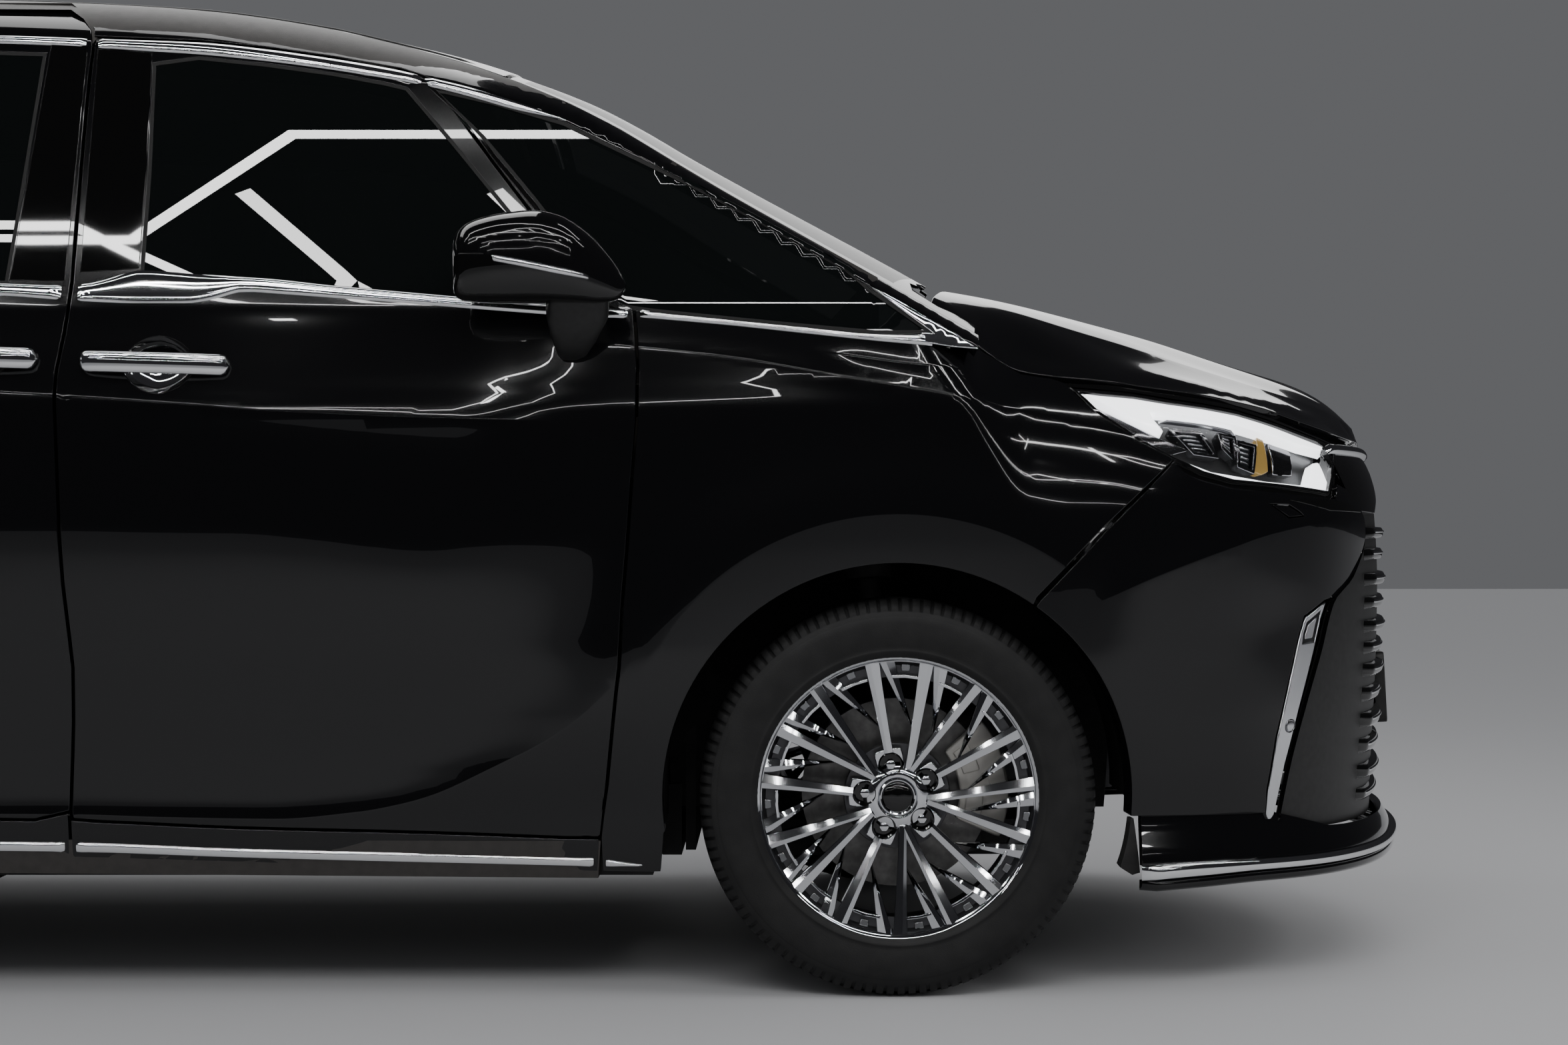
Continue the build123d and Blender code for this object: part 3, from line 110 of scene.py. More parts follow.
SECTION = Tab([(120, 850), (180, 880), (215, 896), (250, 905), (290, 911), (330, 916),
               (420, 930), (520, 940), (640, 945), (800, 945), (950, 943), (1060, 940),
               (1110, 935), (1180, 925), (1250, 913), (1280, 905)])
TUMBLE = 0.272
TAPER = Tab([(-2460, 110), (-2400, 72), (-2300, 42), (-2150, 18), (-1900, 3), (-1700, 0),
             (1500, 0), (1750, 4), (1900, 12), (2000, 22), (2100, 37), (2200, 62),
             (2300, 100)])
ROOF_C = Tab([(-2500, 1840), (-2300, 1872), (-2000, 1893), (-1500, 1910), (-900, 1917),
              (-400, 1917), (-230, 1913), (160, 1895), (420, 1860), (550, 1831), (680, 1799),
              (810, 1757), (925, 1712), (1020, 1663), (1110, 1610), (1234, 1541),
              (1362, 1472), (1492, 1402), (1592, 1347), (1700, 1287)])
TOP_Y = Tab([(-2500, 640), (-2200, 650), (300, 650), (600, 670), (750, 702), (900, 745),
             (1120, 790), (1300, 815), (1450, 840), (1700, 860)])
TOP_L = Tab([(-2500, 95), (400, 95), (750, 60), (950, 36), (1700, 36)])


def roof(x, y):
    return ROOF_C(x) - 56.0 * (np.abs(y) / 650.0) ** 2.3


def side_top(x):
    return roof(x, TOP_Y(x))


def flat_side(z):
    z = np.asarray(z, float)
    return np.where(z <= 1280, SECTION(z), 905.0 - TUMBLE * (z - 1280.0))


def side(x, z):
    zt = side_top(x)
    q = np.maximum(0.0, 1.0 - (zt - z) / TOP_L(x))
    return flat_side(z) - (flat_side(zt) - TOP_Y(x)) * q * q - TAPER(x)


HOOD_EDGE_Y = Tab([(1480, 752), (1626, 800), (1668, 822), (1733, 832), (1791, 828), (1904, 812),
                   (1962, 800), (2078, 768), (2138, 742), (2203, 700), (2270, 640),
                   (2344, 560), (2412, 460), (2455, 350), (2480, 240)])
HOOD_EDGE_Z = Tab([(1480, 1300), (1626, 1213), (1668, 1175), (1733, 1136), (1791, 1127),
                   (1904, 1118), (1962, 1110), (2078, 1097), (2138, 1087), (2203, 1075),
                   (2270, 1057), (2344, 1039), (2412, 1022), (2455, 1014), (2480, 1008)])
F_DEPTH = Tab([(1480, 80), (1560, 120), (1650, 180), (1750, 250), (2600, 250)])


def fender(x, z):
    zt, ye = HOOD_EDGE_Z(x), HOOD_EDGE_Y(x)
    q = np.maximum(0.0, 1.0 - (zt - z) / F_DEPTH(x))
    base = flat_side(z) - TAPER(x)
    top = flat_side(zt) - TAPER(x)
    fade = np.clip((x - 1500.0) / 160.0, 0, 1)
    return base - fade * np.maximum(0.0, top - ye) * q ** 2.4


HOOD_X = [1440, 1520, 1620, 1750, 1850, 1950, 2050, 2150, 2250, 2330, 2400, 2460, 2520]
HOOD_Z = {
    0:   [1352, 1345, 1334, 1312, 1290, 1266, 1243, 1216, 1186, 1164, 1138, 1098, 1030],
    300: [1348, 1341, 1328, 1304, 1280, 1254, 1226, 1193, 1160, 1131, 1094, 1042, 968],
    500: [1340, 1330, 1310, 1282, 1254, 1222, 1184, 1146, 1108, 1072, 1030, 985, 915],
    650: [1328, 1316, 1286, 1244, 1208, 1174, 1142, 1110, 1076, 1040, 995, 945, 870],
    800: [1300, 1285, 1226, 1150, 1134, 1116, 1104, 1082, 1044, 1000, 950, 895, 820],
    950: [1240, 1210, 1120, 1030, 1015, 1000, 985, 960, 920, 870, 820, 765, 690],
}
_hk = sorted(HOOD_Z)
_hc = [Spl(list(zip(HOOD_X, HOOD_Z[k]))) for k in _hk]


def hood_z(x, y):
    """Smooth through the columns across, with even ends at the middle."""
    x, y = np.broadcast_arrays(np.asarray(x, float), np.abs(np.asarray(y, float)))
    cols = np.stack([c(x) for c in _hc])          # k, ...
    ks = np.array(_hk, float)
    # monotone slopes across, even at y = 0
    d = (cols[1:] - cols[:-1]) / (ks[1:] - ks[:-1]).reshape(-1, *([1] * x.ndim))
    m = np.zeros_like(cols)
    for k in range(1, len(ks) - 1):
        p = d[k - 1] * d[k]
        m[k] = np.where(p <= 0, 0, 2 * p / np.where(np.abs(d[k - 1] + d[k]) < 1e-9, 1, d[k - 1] + d[k]))
    m[-1] = d[-1]
    i = np.clip(np.searchsorted(ks, y, side="right") - 1, 0, len(ks) - 2)
    h = ks[i + 1] - ks[i]
    t = (y - ks[i]) / h
    take = lambda a, j: np.take_along_axis(a, j[None], 0)[0]
    y0, y1, m0, m1 = take(cols, i), take(cols, i + 1), take(m, i), take(m, i + 1)
    return ((2 * t**3 - 3 * t**2 + 1) * y0 + (t**3 - 2 * t**2 + t) * h * m0
            + (-2 * t**3 + 3 * t**2) * y1 + (t**3 - t**2) * h * m1)


NOSE_X = Tab([(150, 2490), (215, 2520), (290, 2528), (380, 2530), (560, 2538), (740, 2542),
              (900, 2534), (960, 2518), (1010, 2492), (1120, 2440), (1200, 2400)])
TAIL_X = Tab([(180, -2490), (240, -2525), (330, -2545), (480, -2565), (600, -2556),
              (680, -2520), (900, -2522), (1100, -2522), (1250, -2508), (1450, -2462),
              (1650, -2405), (1780, -2366), (1850, -2345)])
NOSE_PLAN = Spl([(-200, 12), (0, 0.0), (200, 12), (350, 38), (480, 72), (600, 120), (700, 182),
                 (780, 260), (840, 360), (880, 470), (905, 570)])
TAIL_PLAN = Spl([(-250, 8), (0, 0.0), (250, 8), (450, 24), (600, 44), (700, 68), (780, 108),
                 (830, 160), (862, 215), (885, 270)])


def smin(a, b, k):
    h = np.maximum(k - np.abs(a - b), 0.0) / k
    return np.minimum(a, b) - h * h * k * 0.25


def front_f(x, y, z):
    """Positive inside the front end."""
    y = np.abs(y)
    zz = np.minimum(z, HOOD_EDGE_Z(np.clip(x, 1480, 2480)) + 60)
    k = flat_side(np.minimum(z, 1000)) / 945.0
    a = NOSE_X(z) - NOSE_PLAN(y / k) - x
    b = fender(x, zz) - y
    return smin(a, b, 30.0)


def wrap_y(x, z):
    """Half width of the front end's skin at (x, z)."""
    x, z = np.broadcast_arrays(np.asarray(x, float), np.asarray(z, float))
    lo, hi = np.zeros(x.shape), np.full(x.shape, 1000.0)
    for _ in range(34):
        mid = (lo + hi) / 2
        inside = front_f(x, mid, z) > 0
        lo, hi = np.where(inside, mid, lo), np.where(inside, hi, mid)
    return (lo + hi) / 2


def nose_x(y, z):
    """How far forward the front end's skin is at (y, z)."""
    y, z = np.broadcast_arrays(np.asarray(y, float), np.asarray(z, float))
    lo, hi = np.full(y.shape, 1500.0), np.full(y.shape, 2620.0)
    for _ in range(34):
        mid = (lo + hi) / 2
        inside = front_f(mid, y, z) > 0
        lo, hi = np.where(inside, mid, lo), np.where(inside, hi, mid)
    return (lo + hi) / 2


def tail_x(y, z):
    k = flat_side(z) / 945.0
    return TAIL_X(z) + TAIL_PLAN(np.abs(y) / k)

# ------------------------------------------------------------ materials
def socket(bsdf, name, value):
    if name in bsdf.inputs:
        bsdf.inputs[name].default_value = value


def material(name, color, metallic=0.0, rough=0.5, coat=0.0, coat_rough=0.03, spec=0.5,
             alpha=1.0, emit=None, emit_power=0.0, transmission=0.0, ior=1.45, sheen=0.0):
    m = bpy.data.materials.new(name)
    m.use_nodes = True
    b = m.node_tree.nodes["Principled BSDF"]
    socket(b, "Base Color", (*color, 1.0))
    socket(b, "Metallic", metallic)
    socket(b, "Roughness", rough)
    socket(b, "Coat Weight", coat)
    socket(b, "Coat Roughness", coat_rough)
    socket(b, "Coat IOR", 1.42)
    socket(b, "Specular IOR Level", spec)
    socket(b, "IOR", ior)
    socket(b, "Alpha", alpha)
    socket(b, "Transmission Weight", transmission)
    socket(b, "Sheen Weight", sheen)
    if emit:
        socket(b, "Emission Color", (*emit, 1.0))
        socket(b, "Emission Strength", emit_power)
    m.diffuse_color = (*color, 1.0)
    return m


def patterned(m, scale, low, high, detail=3.0, stretch=(1, 1, 1), bump=0.0, bump_scale=None,
              rough=None):
    """Noise in the colour, and a fine bump and roughness change if asked."""
    nt = m.node_tree
    b = nt.nodes["Principled BSDF"]
    tc = nt.nodes.new("ShaderNodeTexCoord")
    mp = nt.nodes.new("ShaderNodeMapping")
    mp.inputs["Scale"].default_value = stretch
    nt.links.new(tc.outputs["Object"], mp.inputs["Vector"])
    nz = nt.nodes.new("ShaderNodeTexNoise")
    nz.inputs["Scale"].default_value = scale
    nz.inputs["Detail"].default_value = detail
    nt.links.new(mp.outputs["Vector"], nz.inputs["Vector"])
    cr = nt.nodes.new("ShaderNodeValToRGB")
    cr.color_ramp.elements[0].position = 0.3
    cr.color_ramp.elements[1].position = 0.7
    cr.color_ramp.elements[0].color = (*low, 1)
    cr.color_ramp.elements[1].color = (*high, 1)
    nt.links.new(nz.outputs["Fac"], cr.inputs["Fac"])
    nt.links.new(cr.outputs["Color"], b.inputs["Base Color"])
    if rough:
        mr = nt.nodes.new("ShaderNodeMapRange")
        mr.inputs["To Min"].default_value = rough[0]
        mr.inputs["To Max"].default_value = rough[1]
        nt.links.new(nz.outputs["Fac"], mr.inputs["Value"])
        nt.links.new(mr.outputs["Result"], b.inputs["Roughness"])
    if bump:
        n2 = nt.nodes.new("ShaderNodeTexNoise")
        n2.inputs["Scale"].default_value = bump_scale or scale * 6
        n2.inputs["Detail"].default_value = 2.0
        nt.links.new(mp.outputs["Vector"], n2.inputs["Vector"])
        bp = nt.nodes.new("ShaderNodeBump")
        bp.inputs["Strength"].default_value = bump
        bp.inputs["Distance"].default_value = 0.001
        nt.links.new(n2.outputs["Fac"], bp.inputs["Height"])
        nt.links.new(bp.outputs["Normal"], b.inputs["Normal"])
    return m


M_PAINT = material("gloss_black_paint", (0.0035, 0.0035, 0.004), rough=0.10, coat=1.0,
                   coat_rough=0.008, spec=0.15)
M_PIANO = material("piano_black", (0.003, 0.003, 0.003), rough=0.02, coat=0.5, coat_rough=0.01)
M_GLASS = material("tinted_glass", (0.004, 0.005, 0.005), rough=0.0, spec=0.5, alpha=0.965,
                   ior=1.5)
M_SCREEN = material("windscreen_glass", (0.006, 0.008, 0.008), rough=0.0, alpha=0.62, ior=1.5)
M_CHROME = material("bright_chrome", (0.86, 0.87, 0.88), metallic=1.0, rough=0.05)
M_SATIN = material("satin_chrome", (0.72, 0.73, 0.75), metallic=1.0, rough=0.22)
M_DARKCH = material("dark_chrome", (0.20, 0.20, 0.21), metallic=1.0, rough=0.12)
M_TRIM = patterned(material("black_trim", (0.012, 0.012, 0.012), rough=0.42), 90,
                   (0.010, 0.010, 0.010), (0.016, 0.016, 0.016), bump=0.15, bump_scale=900)
M_SEAL = material("rubber_seal", (0.0035, 0.0035, 0.0035), rough=0.5, spec=0.3)
M_LINER = patterned(material("liner_plastic", (0.012, 0.012, 0.012), rough=0.8), 40,
                    (0.010, 0.010, 0.010), (0.018, 0.017, 0.017), bump=0.5, bump_scale=260)
M_TYRE = patterned(material("tyre_rubber", (0.016, 0.016, 0.016), rough=0.58, spec=0.32), 30,
                   (0.0075, 0.0075, 0.0078), (0.012, 0.012, 0.012), bump=0.35, bump_scale=500)
M_RIM = material("rim_alloy", (0.66, 0.67, 0.69), metallic=1.0, rough=0.055)
M_POCKET = material("rim_pocket", (0.26, 0.265, 0.275), metallic=1.0, rough=0.25)
# near-black copy of the rim alloy for the barrel, the floor ring behind the spoke gaps and the hub's back:
# painted shade inside the wheel
M_RIM_PAINTED_SHADE = material("rim_barrel_painted_shade", (0.085, 0.085, 0.09), metallic=0.9, rough=0.34)
M_DISC = patterned(material("brake_iron", (0.32, 0.31, 0.30), metallic=1.0, rough=0.34), 60,
                   (0.12, 0.118, 0.116), (0.19, 0.187, 0.183), bump=0.2, bump_scale=700)
M_CALIPER = material("caliper_alloy", (0.62, 0.60, 0.56), metallic=0.4, rough=0.34)
M_IRON = patterned(material("chassis_iron", (0.03, 0.03, 0.032), rough=0.55), 25,
                   (0.022, 0.022, 0.023), (0.042, 0.040, 0.039), bump=0.4, bump_scale=200)
M_ALLOY = patterned(material("chassis_alloy", (0.33, 0.33, 0.34), metallic=0.85, rough=0.45), 25,
                    (0.27, 0.27, 0.28), (0.38, 0.38, 0.39), bump=0.4, bump_scale=300)
M_STEEL = patterned(material("exhaust_steel", (0.30, 0.28, 0.27), metallic=0.95, rough=0.4), 14,
                    (0.24, 0.22, 0.20), (0.36, 0.34, 0.33), rough=(0.3, 0.5))
M_UNDER = patterned(material("underbody_coat", (0.02, 0.02, 0.021), rough=0.75), 18,
                    (0.016, 0.016, 0.017), (0.028, 0.027, 0.027), bump=0.5, bump_scale=160)
M_LENS = material("clear_lens", (0.02, 0.02, 0.022), rough=0.0, alpha=0.10, ior=1.5, spec=0.6)
M_BULB = material("light_guide", (0.95, 0.96, 0.98), rough=0.15, emit=(0.95, 0.97, 1.0),
                  emit_power=2.6, coat=0.5)
M_AMBER = material("amber_guide", (0.32, 0.20, 0.05), rough=0.15, coat=0.6)
M_RED = material("red_lens", (0.30, 0.006, 0.008), rough=0.04, coat=1.0, coat_rough=0.01,
                 emit=(1.0, 0.03, 0.02), emit_power=0.06)
M_REDLIT = material("red_light_bar", (0.55, 0.01, 0.012), rough=0.05, coat=1.0,
                    emit=(1.0, 0.03, 0.02), emit_power=0.55)
M_LEATHER = patterned(material("seat_leather", (0.34, 0.27, 0.20), rough=0.42, sheen=0.1), 35,
                      (0.31, 0.245, 0.18), (0.37, 0.295, 0.22), bump=0.35, bump_scale=420)
M_SEATDK = patterned(material("seat_back_leather", (0.05, 0.043, 0.038), rough=0.45), 35,
                     (0.042, 0.036, 0.032), (0.058, 0.05, 0.044), bump=0.35, bump_scale=420)
M_CABIN = patterned(material("cabin_plastic", (0.03, 0.027, 0.025), rough=0.5), 50,
                    (0.026, 0.024, 0.022), (0.036, 0.032, 0.030), bump=0.25, bump_scale=800)
M_HEAD = patterned(material("headliner_fabric", (0.42, 0.39, 0.35), rough=0.9), 60,
                   (0.39, 0.36, 0.32), (0.45, 0.42, 0.38), bump=0.4, bump_scale=900)
M_CARPET = patterned(material("cabin_carpet", (0.05, 0.045, 0.04), rough=0.95), 80,
                     (0.04, 0.036, 0.032), (0.065, 0.058, 0.052), bump=0.8, bump_scale=700)
M_WOOD = patterned(material("trim_wood", (0.10, 0.055, 0.03), rough=0.22, coat=0.8), 9,
                   (0.05, 0.026, 0.014), (0.15, 0.085, 0.045), stretch=(1, 9, 9))
M_WLEATHER = patterned(material("wheel_leather", (0.02, 0.019, 0.018), rough=0.4), 60,
                       (0.017, 0.016, 0.015), (0.025, 0.023, 0.022), bump=0.3, bump_scale=700)
M_DISPLAY = material("display_glass", (0.006, 0.007, 0.009), rough=0.06, coat=0.8)
M_ENGINE = patterned(material("engine_alloy", (0.12, 0.12, 0.125), metallic=0.8, rough=0.5), 20,
                     (0.09, 0.09, 0.095), (0.15, 0.15, 0.155), bump=0.4, bump_scale=200)


# ------------------------------------------------------------ mesh tools (mm)
def resample(line, step, closed=False):
    """Points along a line no further apart than step; its corners are kept."""
    pts = [tuple(map(float, p)) for p in line]
    if closed:
        pts = pts + [pts[0]]
    out = []
    for a, b in zip(pts[:-1], pts[1:]):
        n = max(1, int(math.ceil(math.hypot(b[0] - a[0], b[1] - a[1]) / step)))
        out += [(a[0] + (b[0] - a[0]) * k / n, a[1] + (b[1] - a[1]) * k / n) for k in range(n)]
    if not closed:
        out.append(pts[-1])
    return out


def smooth_line(pts, n):
    """n points on a smooth curve through pts, even in arc length."""
    p = np.array(pts, float)
    d = np.r_[0, np.cumsum(np.linalg.norm(np.diff(p, axis=0), axis=1))]
    t = np.linspace(0, d[-1], n)
    if len(pts) < 3:
        return np.stack([np.interp(t, d, p[:, k]) for k in range(p.shape[1])], 1)
    return np.stack([Tab(list(zip(d, p[:, k])))(t) for k in range(p.shape[1])], 1)


def inside(u, v, poly):
    p = np.array(poly, float)
    q = np.roll(p, -1, 0)
    r = np.zeros(u.shape, bool)
    for (x0, y0), (x1, y1) in zip(p, q):
        if y0 == y1:
            continue
        c = ((y0 > v) != (y1 > v)) & (u < (x1 - x0) * (v - y0) / (y1 - y0) + x0)
        r ^= c
    return r


def grown(pts, d):
    """The outline moved outwards by d (inwards when d is negative)."""
    a = sum(pts[i][0] * pts[(i + 1) % len(pts)][1] - pts[(i + 1) % len(pts)][0] * pts[i][1]
            for i in range(len(pts)))
    sgn = 1.0 if a > 0 else -1.0
    out = []
    n = len(pts)
    for i in range(n):
        (x0, z0), (x1, z1), (x2, z2) = pts[i - 1], pts[i], pts[(i + 1) % n]
        l1 = math.hypot(x1 - x0, z1 - z0) or 1e-9
        l2 = math.hypot(x2 - x1, z2 - z1) or 1e-9
        n1 = ((z1 - z0) / l1 * sgn, -(x1 - x0) / l1 * sgn)
        n2 = ((z2 - z1) / l2 * sgn, -(x2 - x1) / l2 * sgn)
        k = max(1.0 + n1[0] * n2[0] + n1[1] * n2[1], 0.35)
        out.append((x1 + d * (n1[0] + n2[0]) / k, z1 + d * (n1[1] + n2[1]) / k))
    return out


def unit(a):
    return a / np.maximum(np.linalg.norm(a, axis=-1, keepdims=True), 1e-12)


def surf_normals(P, u, v, e=0.7):
    du = P(u + e, v) - P(u - e, v)
    dv = P(u, v + e) - P(u, v - e)
    return unit(np.cross(du, dv))


def panel(keep, P, out, cut=(), lines=(), pitch=20.0, r=1.6, flange=16.0, off=0.0,
          back=False, region=None):
    """A sheet on the surface P(u, v), inside the outlines keep and outside cut, with rounded
    edges turned in by flange.  lines are creases.  Returns (points, faces, normals)."""
    pts, edges = [], []

    def put(chain, closed):
        b = len(pts)
        pts.extend(chain)
        n = len(chain)
        edges.extend((b + k, b + (k + 1) % n) for k in range(n if closed else n - 1))

    for o in list(keep) + list(cut):
        put(resample(o, pitch * 0.6, True), True)
    for ln in lines:
        c = np.array(resample(ln, pitch * 0.6), float)
        t = unit(np.gradient(c, axis=0))
        nrm = np.stack([-t[:, 1], t[:, 0]], 1)
        for d in (-2.2, 0.0, 2.2):
            put([tuple(p) for p in c + nrm * d], False)
    kd = kdtree.KDTree(len(pts))
    for k, p in enumerate(pts):
        kd.insert((p[0], p[1], 0.0), k)
    kd.balance()
    allk = np.array([p for o in keep for p in o], float)
    lo, hi = allk.min(0), allk.max(0)
    gu = np.arange(lo[0] + pitch / 2, hi[0], pitch)
    gv = np.arange(lo[1] + pitch / 2, hi[1], pitch * 0.87)
    U, W = np.meshgrid(gu, gv)
    U[1::2] += pitch / 2
    U, W = U.ravel(), W.ravel()

    def held(u, v):
        ok = np.zeros(u.shape, bool)
        for o in keep:
            ok |= inside(u, v, o)
        for o in cut:
            ok &= ~inside(u, v, o)
        if region is not None:
            ok &= region(u, v)
        return ok

    ok = held(U, W)
    for u, v in zip(U[ok], W[ok]):
        if kd.find((u, v, 0.0))[2] > pitch * 0.45:
            pts.append((u, v))
    res = delaunay_2d_cdt([Vector(p) for p in pts], edges, [], 0, 1e-4, False)
    uv = np.array([tuple(p) for p in res[0]], float)
    tri = np.array([f for f in res[2] if len(f) == 3], int)
    c = uv[tri].mean(1)
    e1, e2 = uv[tri[:, 1]] - uv[tri[:, 0]], uv[tri[:, 2]] - uv[tri[:, 0]]
    area = e1[:, 0] * e2[:, 1] - e1[:, 1] * e2[:, 0]
    tri = np.where((area < 0)[:, None], tri[:, ::-1], tri)
    ok = held(c[:, 0], c[:, 1]) & (np.abs(area) > 1e-4)
    tri = tri[ok]
    used = np.unique(tri)
    remap = np.full(len(uv), -1)
    remap[used] = np.arange(len(used))
    uv, tri = uv[used], remap[tri]
    # boundary loops
    directed = set()
    for a, b in ((0, 1), (1, 2), (2, 0)):
        directed.update(zip(tri[:, a].tolist(), tri[:, b].tolist()))
    bound = [(a, b) for a, b in directed if (b, a) not in directed]
    nxt, prv = {}, {}
    for a, b in bound:
        nxt.setdefault(a, b)
        prv.setdefault(b, a)
    on = np.array(sorted(set(nxt) & set(prv)), int)
    P0, PN, PP = uv[on], uv[[nxt[k] for k in on]], uv[[prv[k] for k in on]]
    d1, d2 = unit(P0 - PP), unit(PN - P0)
    n1 = np.stack([d1[:, 1], -d1[:, 0]], 1)
    n2 = np.stack([d2[:, 1], -d2[:, 0]], 1)
    kk = np.maximum(1 + (n1 * n2).sum(1), 0.4)
    m = (n1 + n2) / kk[:, None]
    mdir = unit(m)
    uv2 = uv.copy()
    uv2[on] = uv[on] - m * r
    V = P(uv2[:, 0], uv2[:, 1])
    N = surf_normals(P, uv2[:, 0], uv2[:, 1])
    flip = (N * np.asarray(out(V) if callable(out) else out, float)).sum(1).mean() < 0
    if flip:
        N = -N
    V = V + N * off
    # edge rows
    ub = uv2[on]
    tb = P(ub[:, 0] + mdir[:, 0] * 0.5, ub[:, 1] + mdir[:, 1] * 0.5) - P(ub[:, 0], ub[:, 1])
    nb = N[on]
    tb = unit(tb - (tb * nb).sum(1, keepdims=True) * nb)
    sgn = -1.0 if back else 1.0
    rows = [(V[on], nb)]
    if flange > 0:
        for phi in (((30, 60, 90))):
            s, co = math.sin(math.radians(phi)), math.cos(math.radians(phi))
            rows.append((V[on] + tb * r * s - nb * sgn * r * (1 - co),
                         unit(nb * sgn * co + tb * s) * (1 if not back else 1)))
        rows.append((rows[-1][0] - nb * sgn * flange, rows[-1][1]))
    Vs, Ns, Fs = [V], [N], [tuple(t) for t in (tri[:, ::-1] if flip != back else tri)]
    if back:
        Ns = [-N]
    base = len(V)
    if flange > 0:
        pos = {int(k): i for i, k in enumerate(on)}
        for i, (rv, rn) in enumerate(rows):
            Vs.append(rv)
            Ns.append(rn if not (back and i == 0) else -nb)
        n = len(on)
        quads = []
        for a in pos:
            b = nxt[a]
            if b not in pos:
                continue
            for i in range(len(rows) - 1):
                q = (base + i * n + pos[a], base + (i + 1) * n + pos[a],
                     base + (i + 1) * n + pos[b], base + i * n + pos[b])
                quads.append(q if (flip == back) else q[::-1])
        Fs += quads
    return np.concatenate(Vs), Fs, np.concatenate(Ns)


def face_normals(V, F):
    N = np.zeros_like(V)
    for k in (3, 4):
        f = np.array([q for q in F if len(q) == k], int)
        if len(f) == 0:
            continue
        if k == 3:
            n = np.cross(V[f[:, 1]] - V[f[:, 0]], V[f[:, 2]] - V[f[:, 0]])
        else:
            n = np.cross(V[f[:, 2]] - V[f[:, 0]], V[f[:, 3]] - V[f[:, 1]])
        for j in range(k):
            np.add.at(N, f[:, j], n)
    return unit(N)


def grid(G, close_u=False, close_v=False, flip=False):
    """Quads over a net of points G[i, j]; smooth normals from the net."""
    G = np.asarray(G, float)
    n, m = G.shape[:2]
    V = G.reshape(-1, 3)
    F = []
    for i in range(n if close_u else n - 1):
        i2 = (i + 1) % n
        for j in range(m if close_v else m - 1):
            j2 = (j + 1) % m
            q = (i * m + j, i2 * m + j, i2 * m + j2, i * m + j2)
            F.append(q[::-1] if flip else q)
    return V, F, face_normals(V, F)


def strip(top, bot, P, out, h=3.0, base=-2.0, step=14.0, n=6, power=0.5, tip=(True, True)):
    """A domed strip lying on P between two lines, h proud in its middle."""
    L = max(np.linalg.norm(np.diff(np.array(top, float), axis=0), axis=1).sum(), 1)
    k = max(6, int(L / step))
    a, b = smooth_line(top, k), smooth_line(bot, k)
    G = np.empty((k, n + 3, 3))
    for j in range(n + 1):
        w = j / n
        uv = a * (1 - w) + b * w
        pt = P(uv[:, 0], uv[:, 1])
        nn = surf_normals(P, uv[:, 0], uv[:, 1])
        if (nn * np.asarray(out, float)).sum() < 0:
            nn = -nn
        lift = np.full(k, h * (1 - abs(2 * w - 1) ** 2.4) ** power + 0.4)
        if tip[0]:
            lift[0] = base
        if tip[1]:
            lift[-1] = base
        G[:, j + 1] = pt + nn * lift[:, None]
        if j == 0:
            G[:, 0] = pt + nn * base
        if j == n:
            G[:, n + 2] = pt + nn * base
    V, F, N = grid(G)
    mid = P(np.array([a[k // 2, 0]]), np.array([a[k // 2, 1]]))
    want = np.asarray(out, float)
    if (N * want).sum() < 0:
        F = [q[::-1] for q in F]
        N = -N
    return V, F, N


def rbox(c, size, r=3.0, rot=None, seg=2):
    """Box with rounded edges at c; rot is a 3x3 matrix."""
    h = np.array(size, float) / 2
    r = min(r, *(h * 0.98))
    ang = [math.tan(math.radians(45) * k / seg) for k in range(seg + 1)]
    Vs, Fs, Ns = [], [], []
    for ax in range(3):
        a1, a2 = (ax + 1) % 3, (ax + 2) % 3
        for sg in (-1, 1):
            def coords(hh):
                inner = hh - r
                return np.array([-inner - r * t for t in ang[::-1]] + [inner + r * t for t in ang])
            A, B = np.meshgrid(coords(h[a1]), coords(h[a2]), indexing="ij")
            p = np.zeros((*A.shape, 3))
            p[..., a1], p[..., a2], p[..., ax] = A, B, sg * h[ax]
            q = np.clip(p, -(h - r), h - r)
            d = unit(p - q)
            p = q + d * r
            b = sum(len(v) for v in Vs)
            n, m = A.shape
            Vs.append(p.reshape(-1, 3))
            Ns.append(d.reshape(-1, 3))
            for i in range(n - 1):
                for j in range(m - 1):
                    f = (b + i * m + j, b + (i + 1) * m + j, b + (i + 1) * m + j + 1, b + i * m + j + 1)
                    Fs.append(f if sg > 0 else f[::-1])
    V, N = np.concatenate(Vs), np.concatenate(Ns)
    if rot is not None:
        V, N = V @ np.asarray(rot, float).T, N @ np.asarray(rot, float).T
    return V + np.array(c, float), Fs, N


def rot_axis(axis, deg):
    return np.array(Matrix.Rotation(math.radians(deg), 3, Vector(axis)))


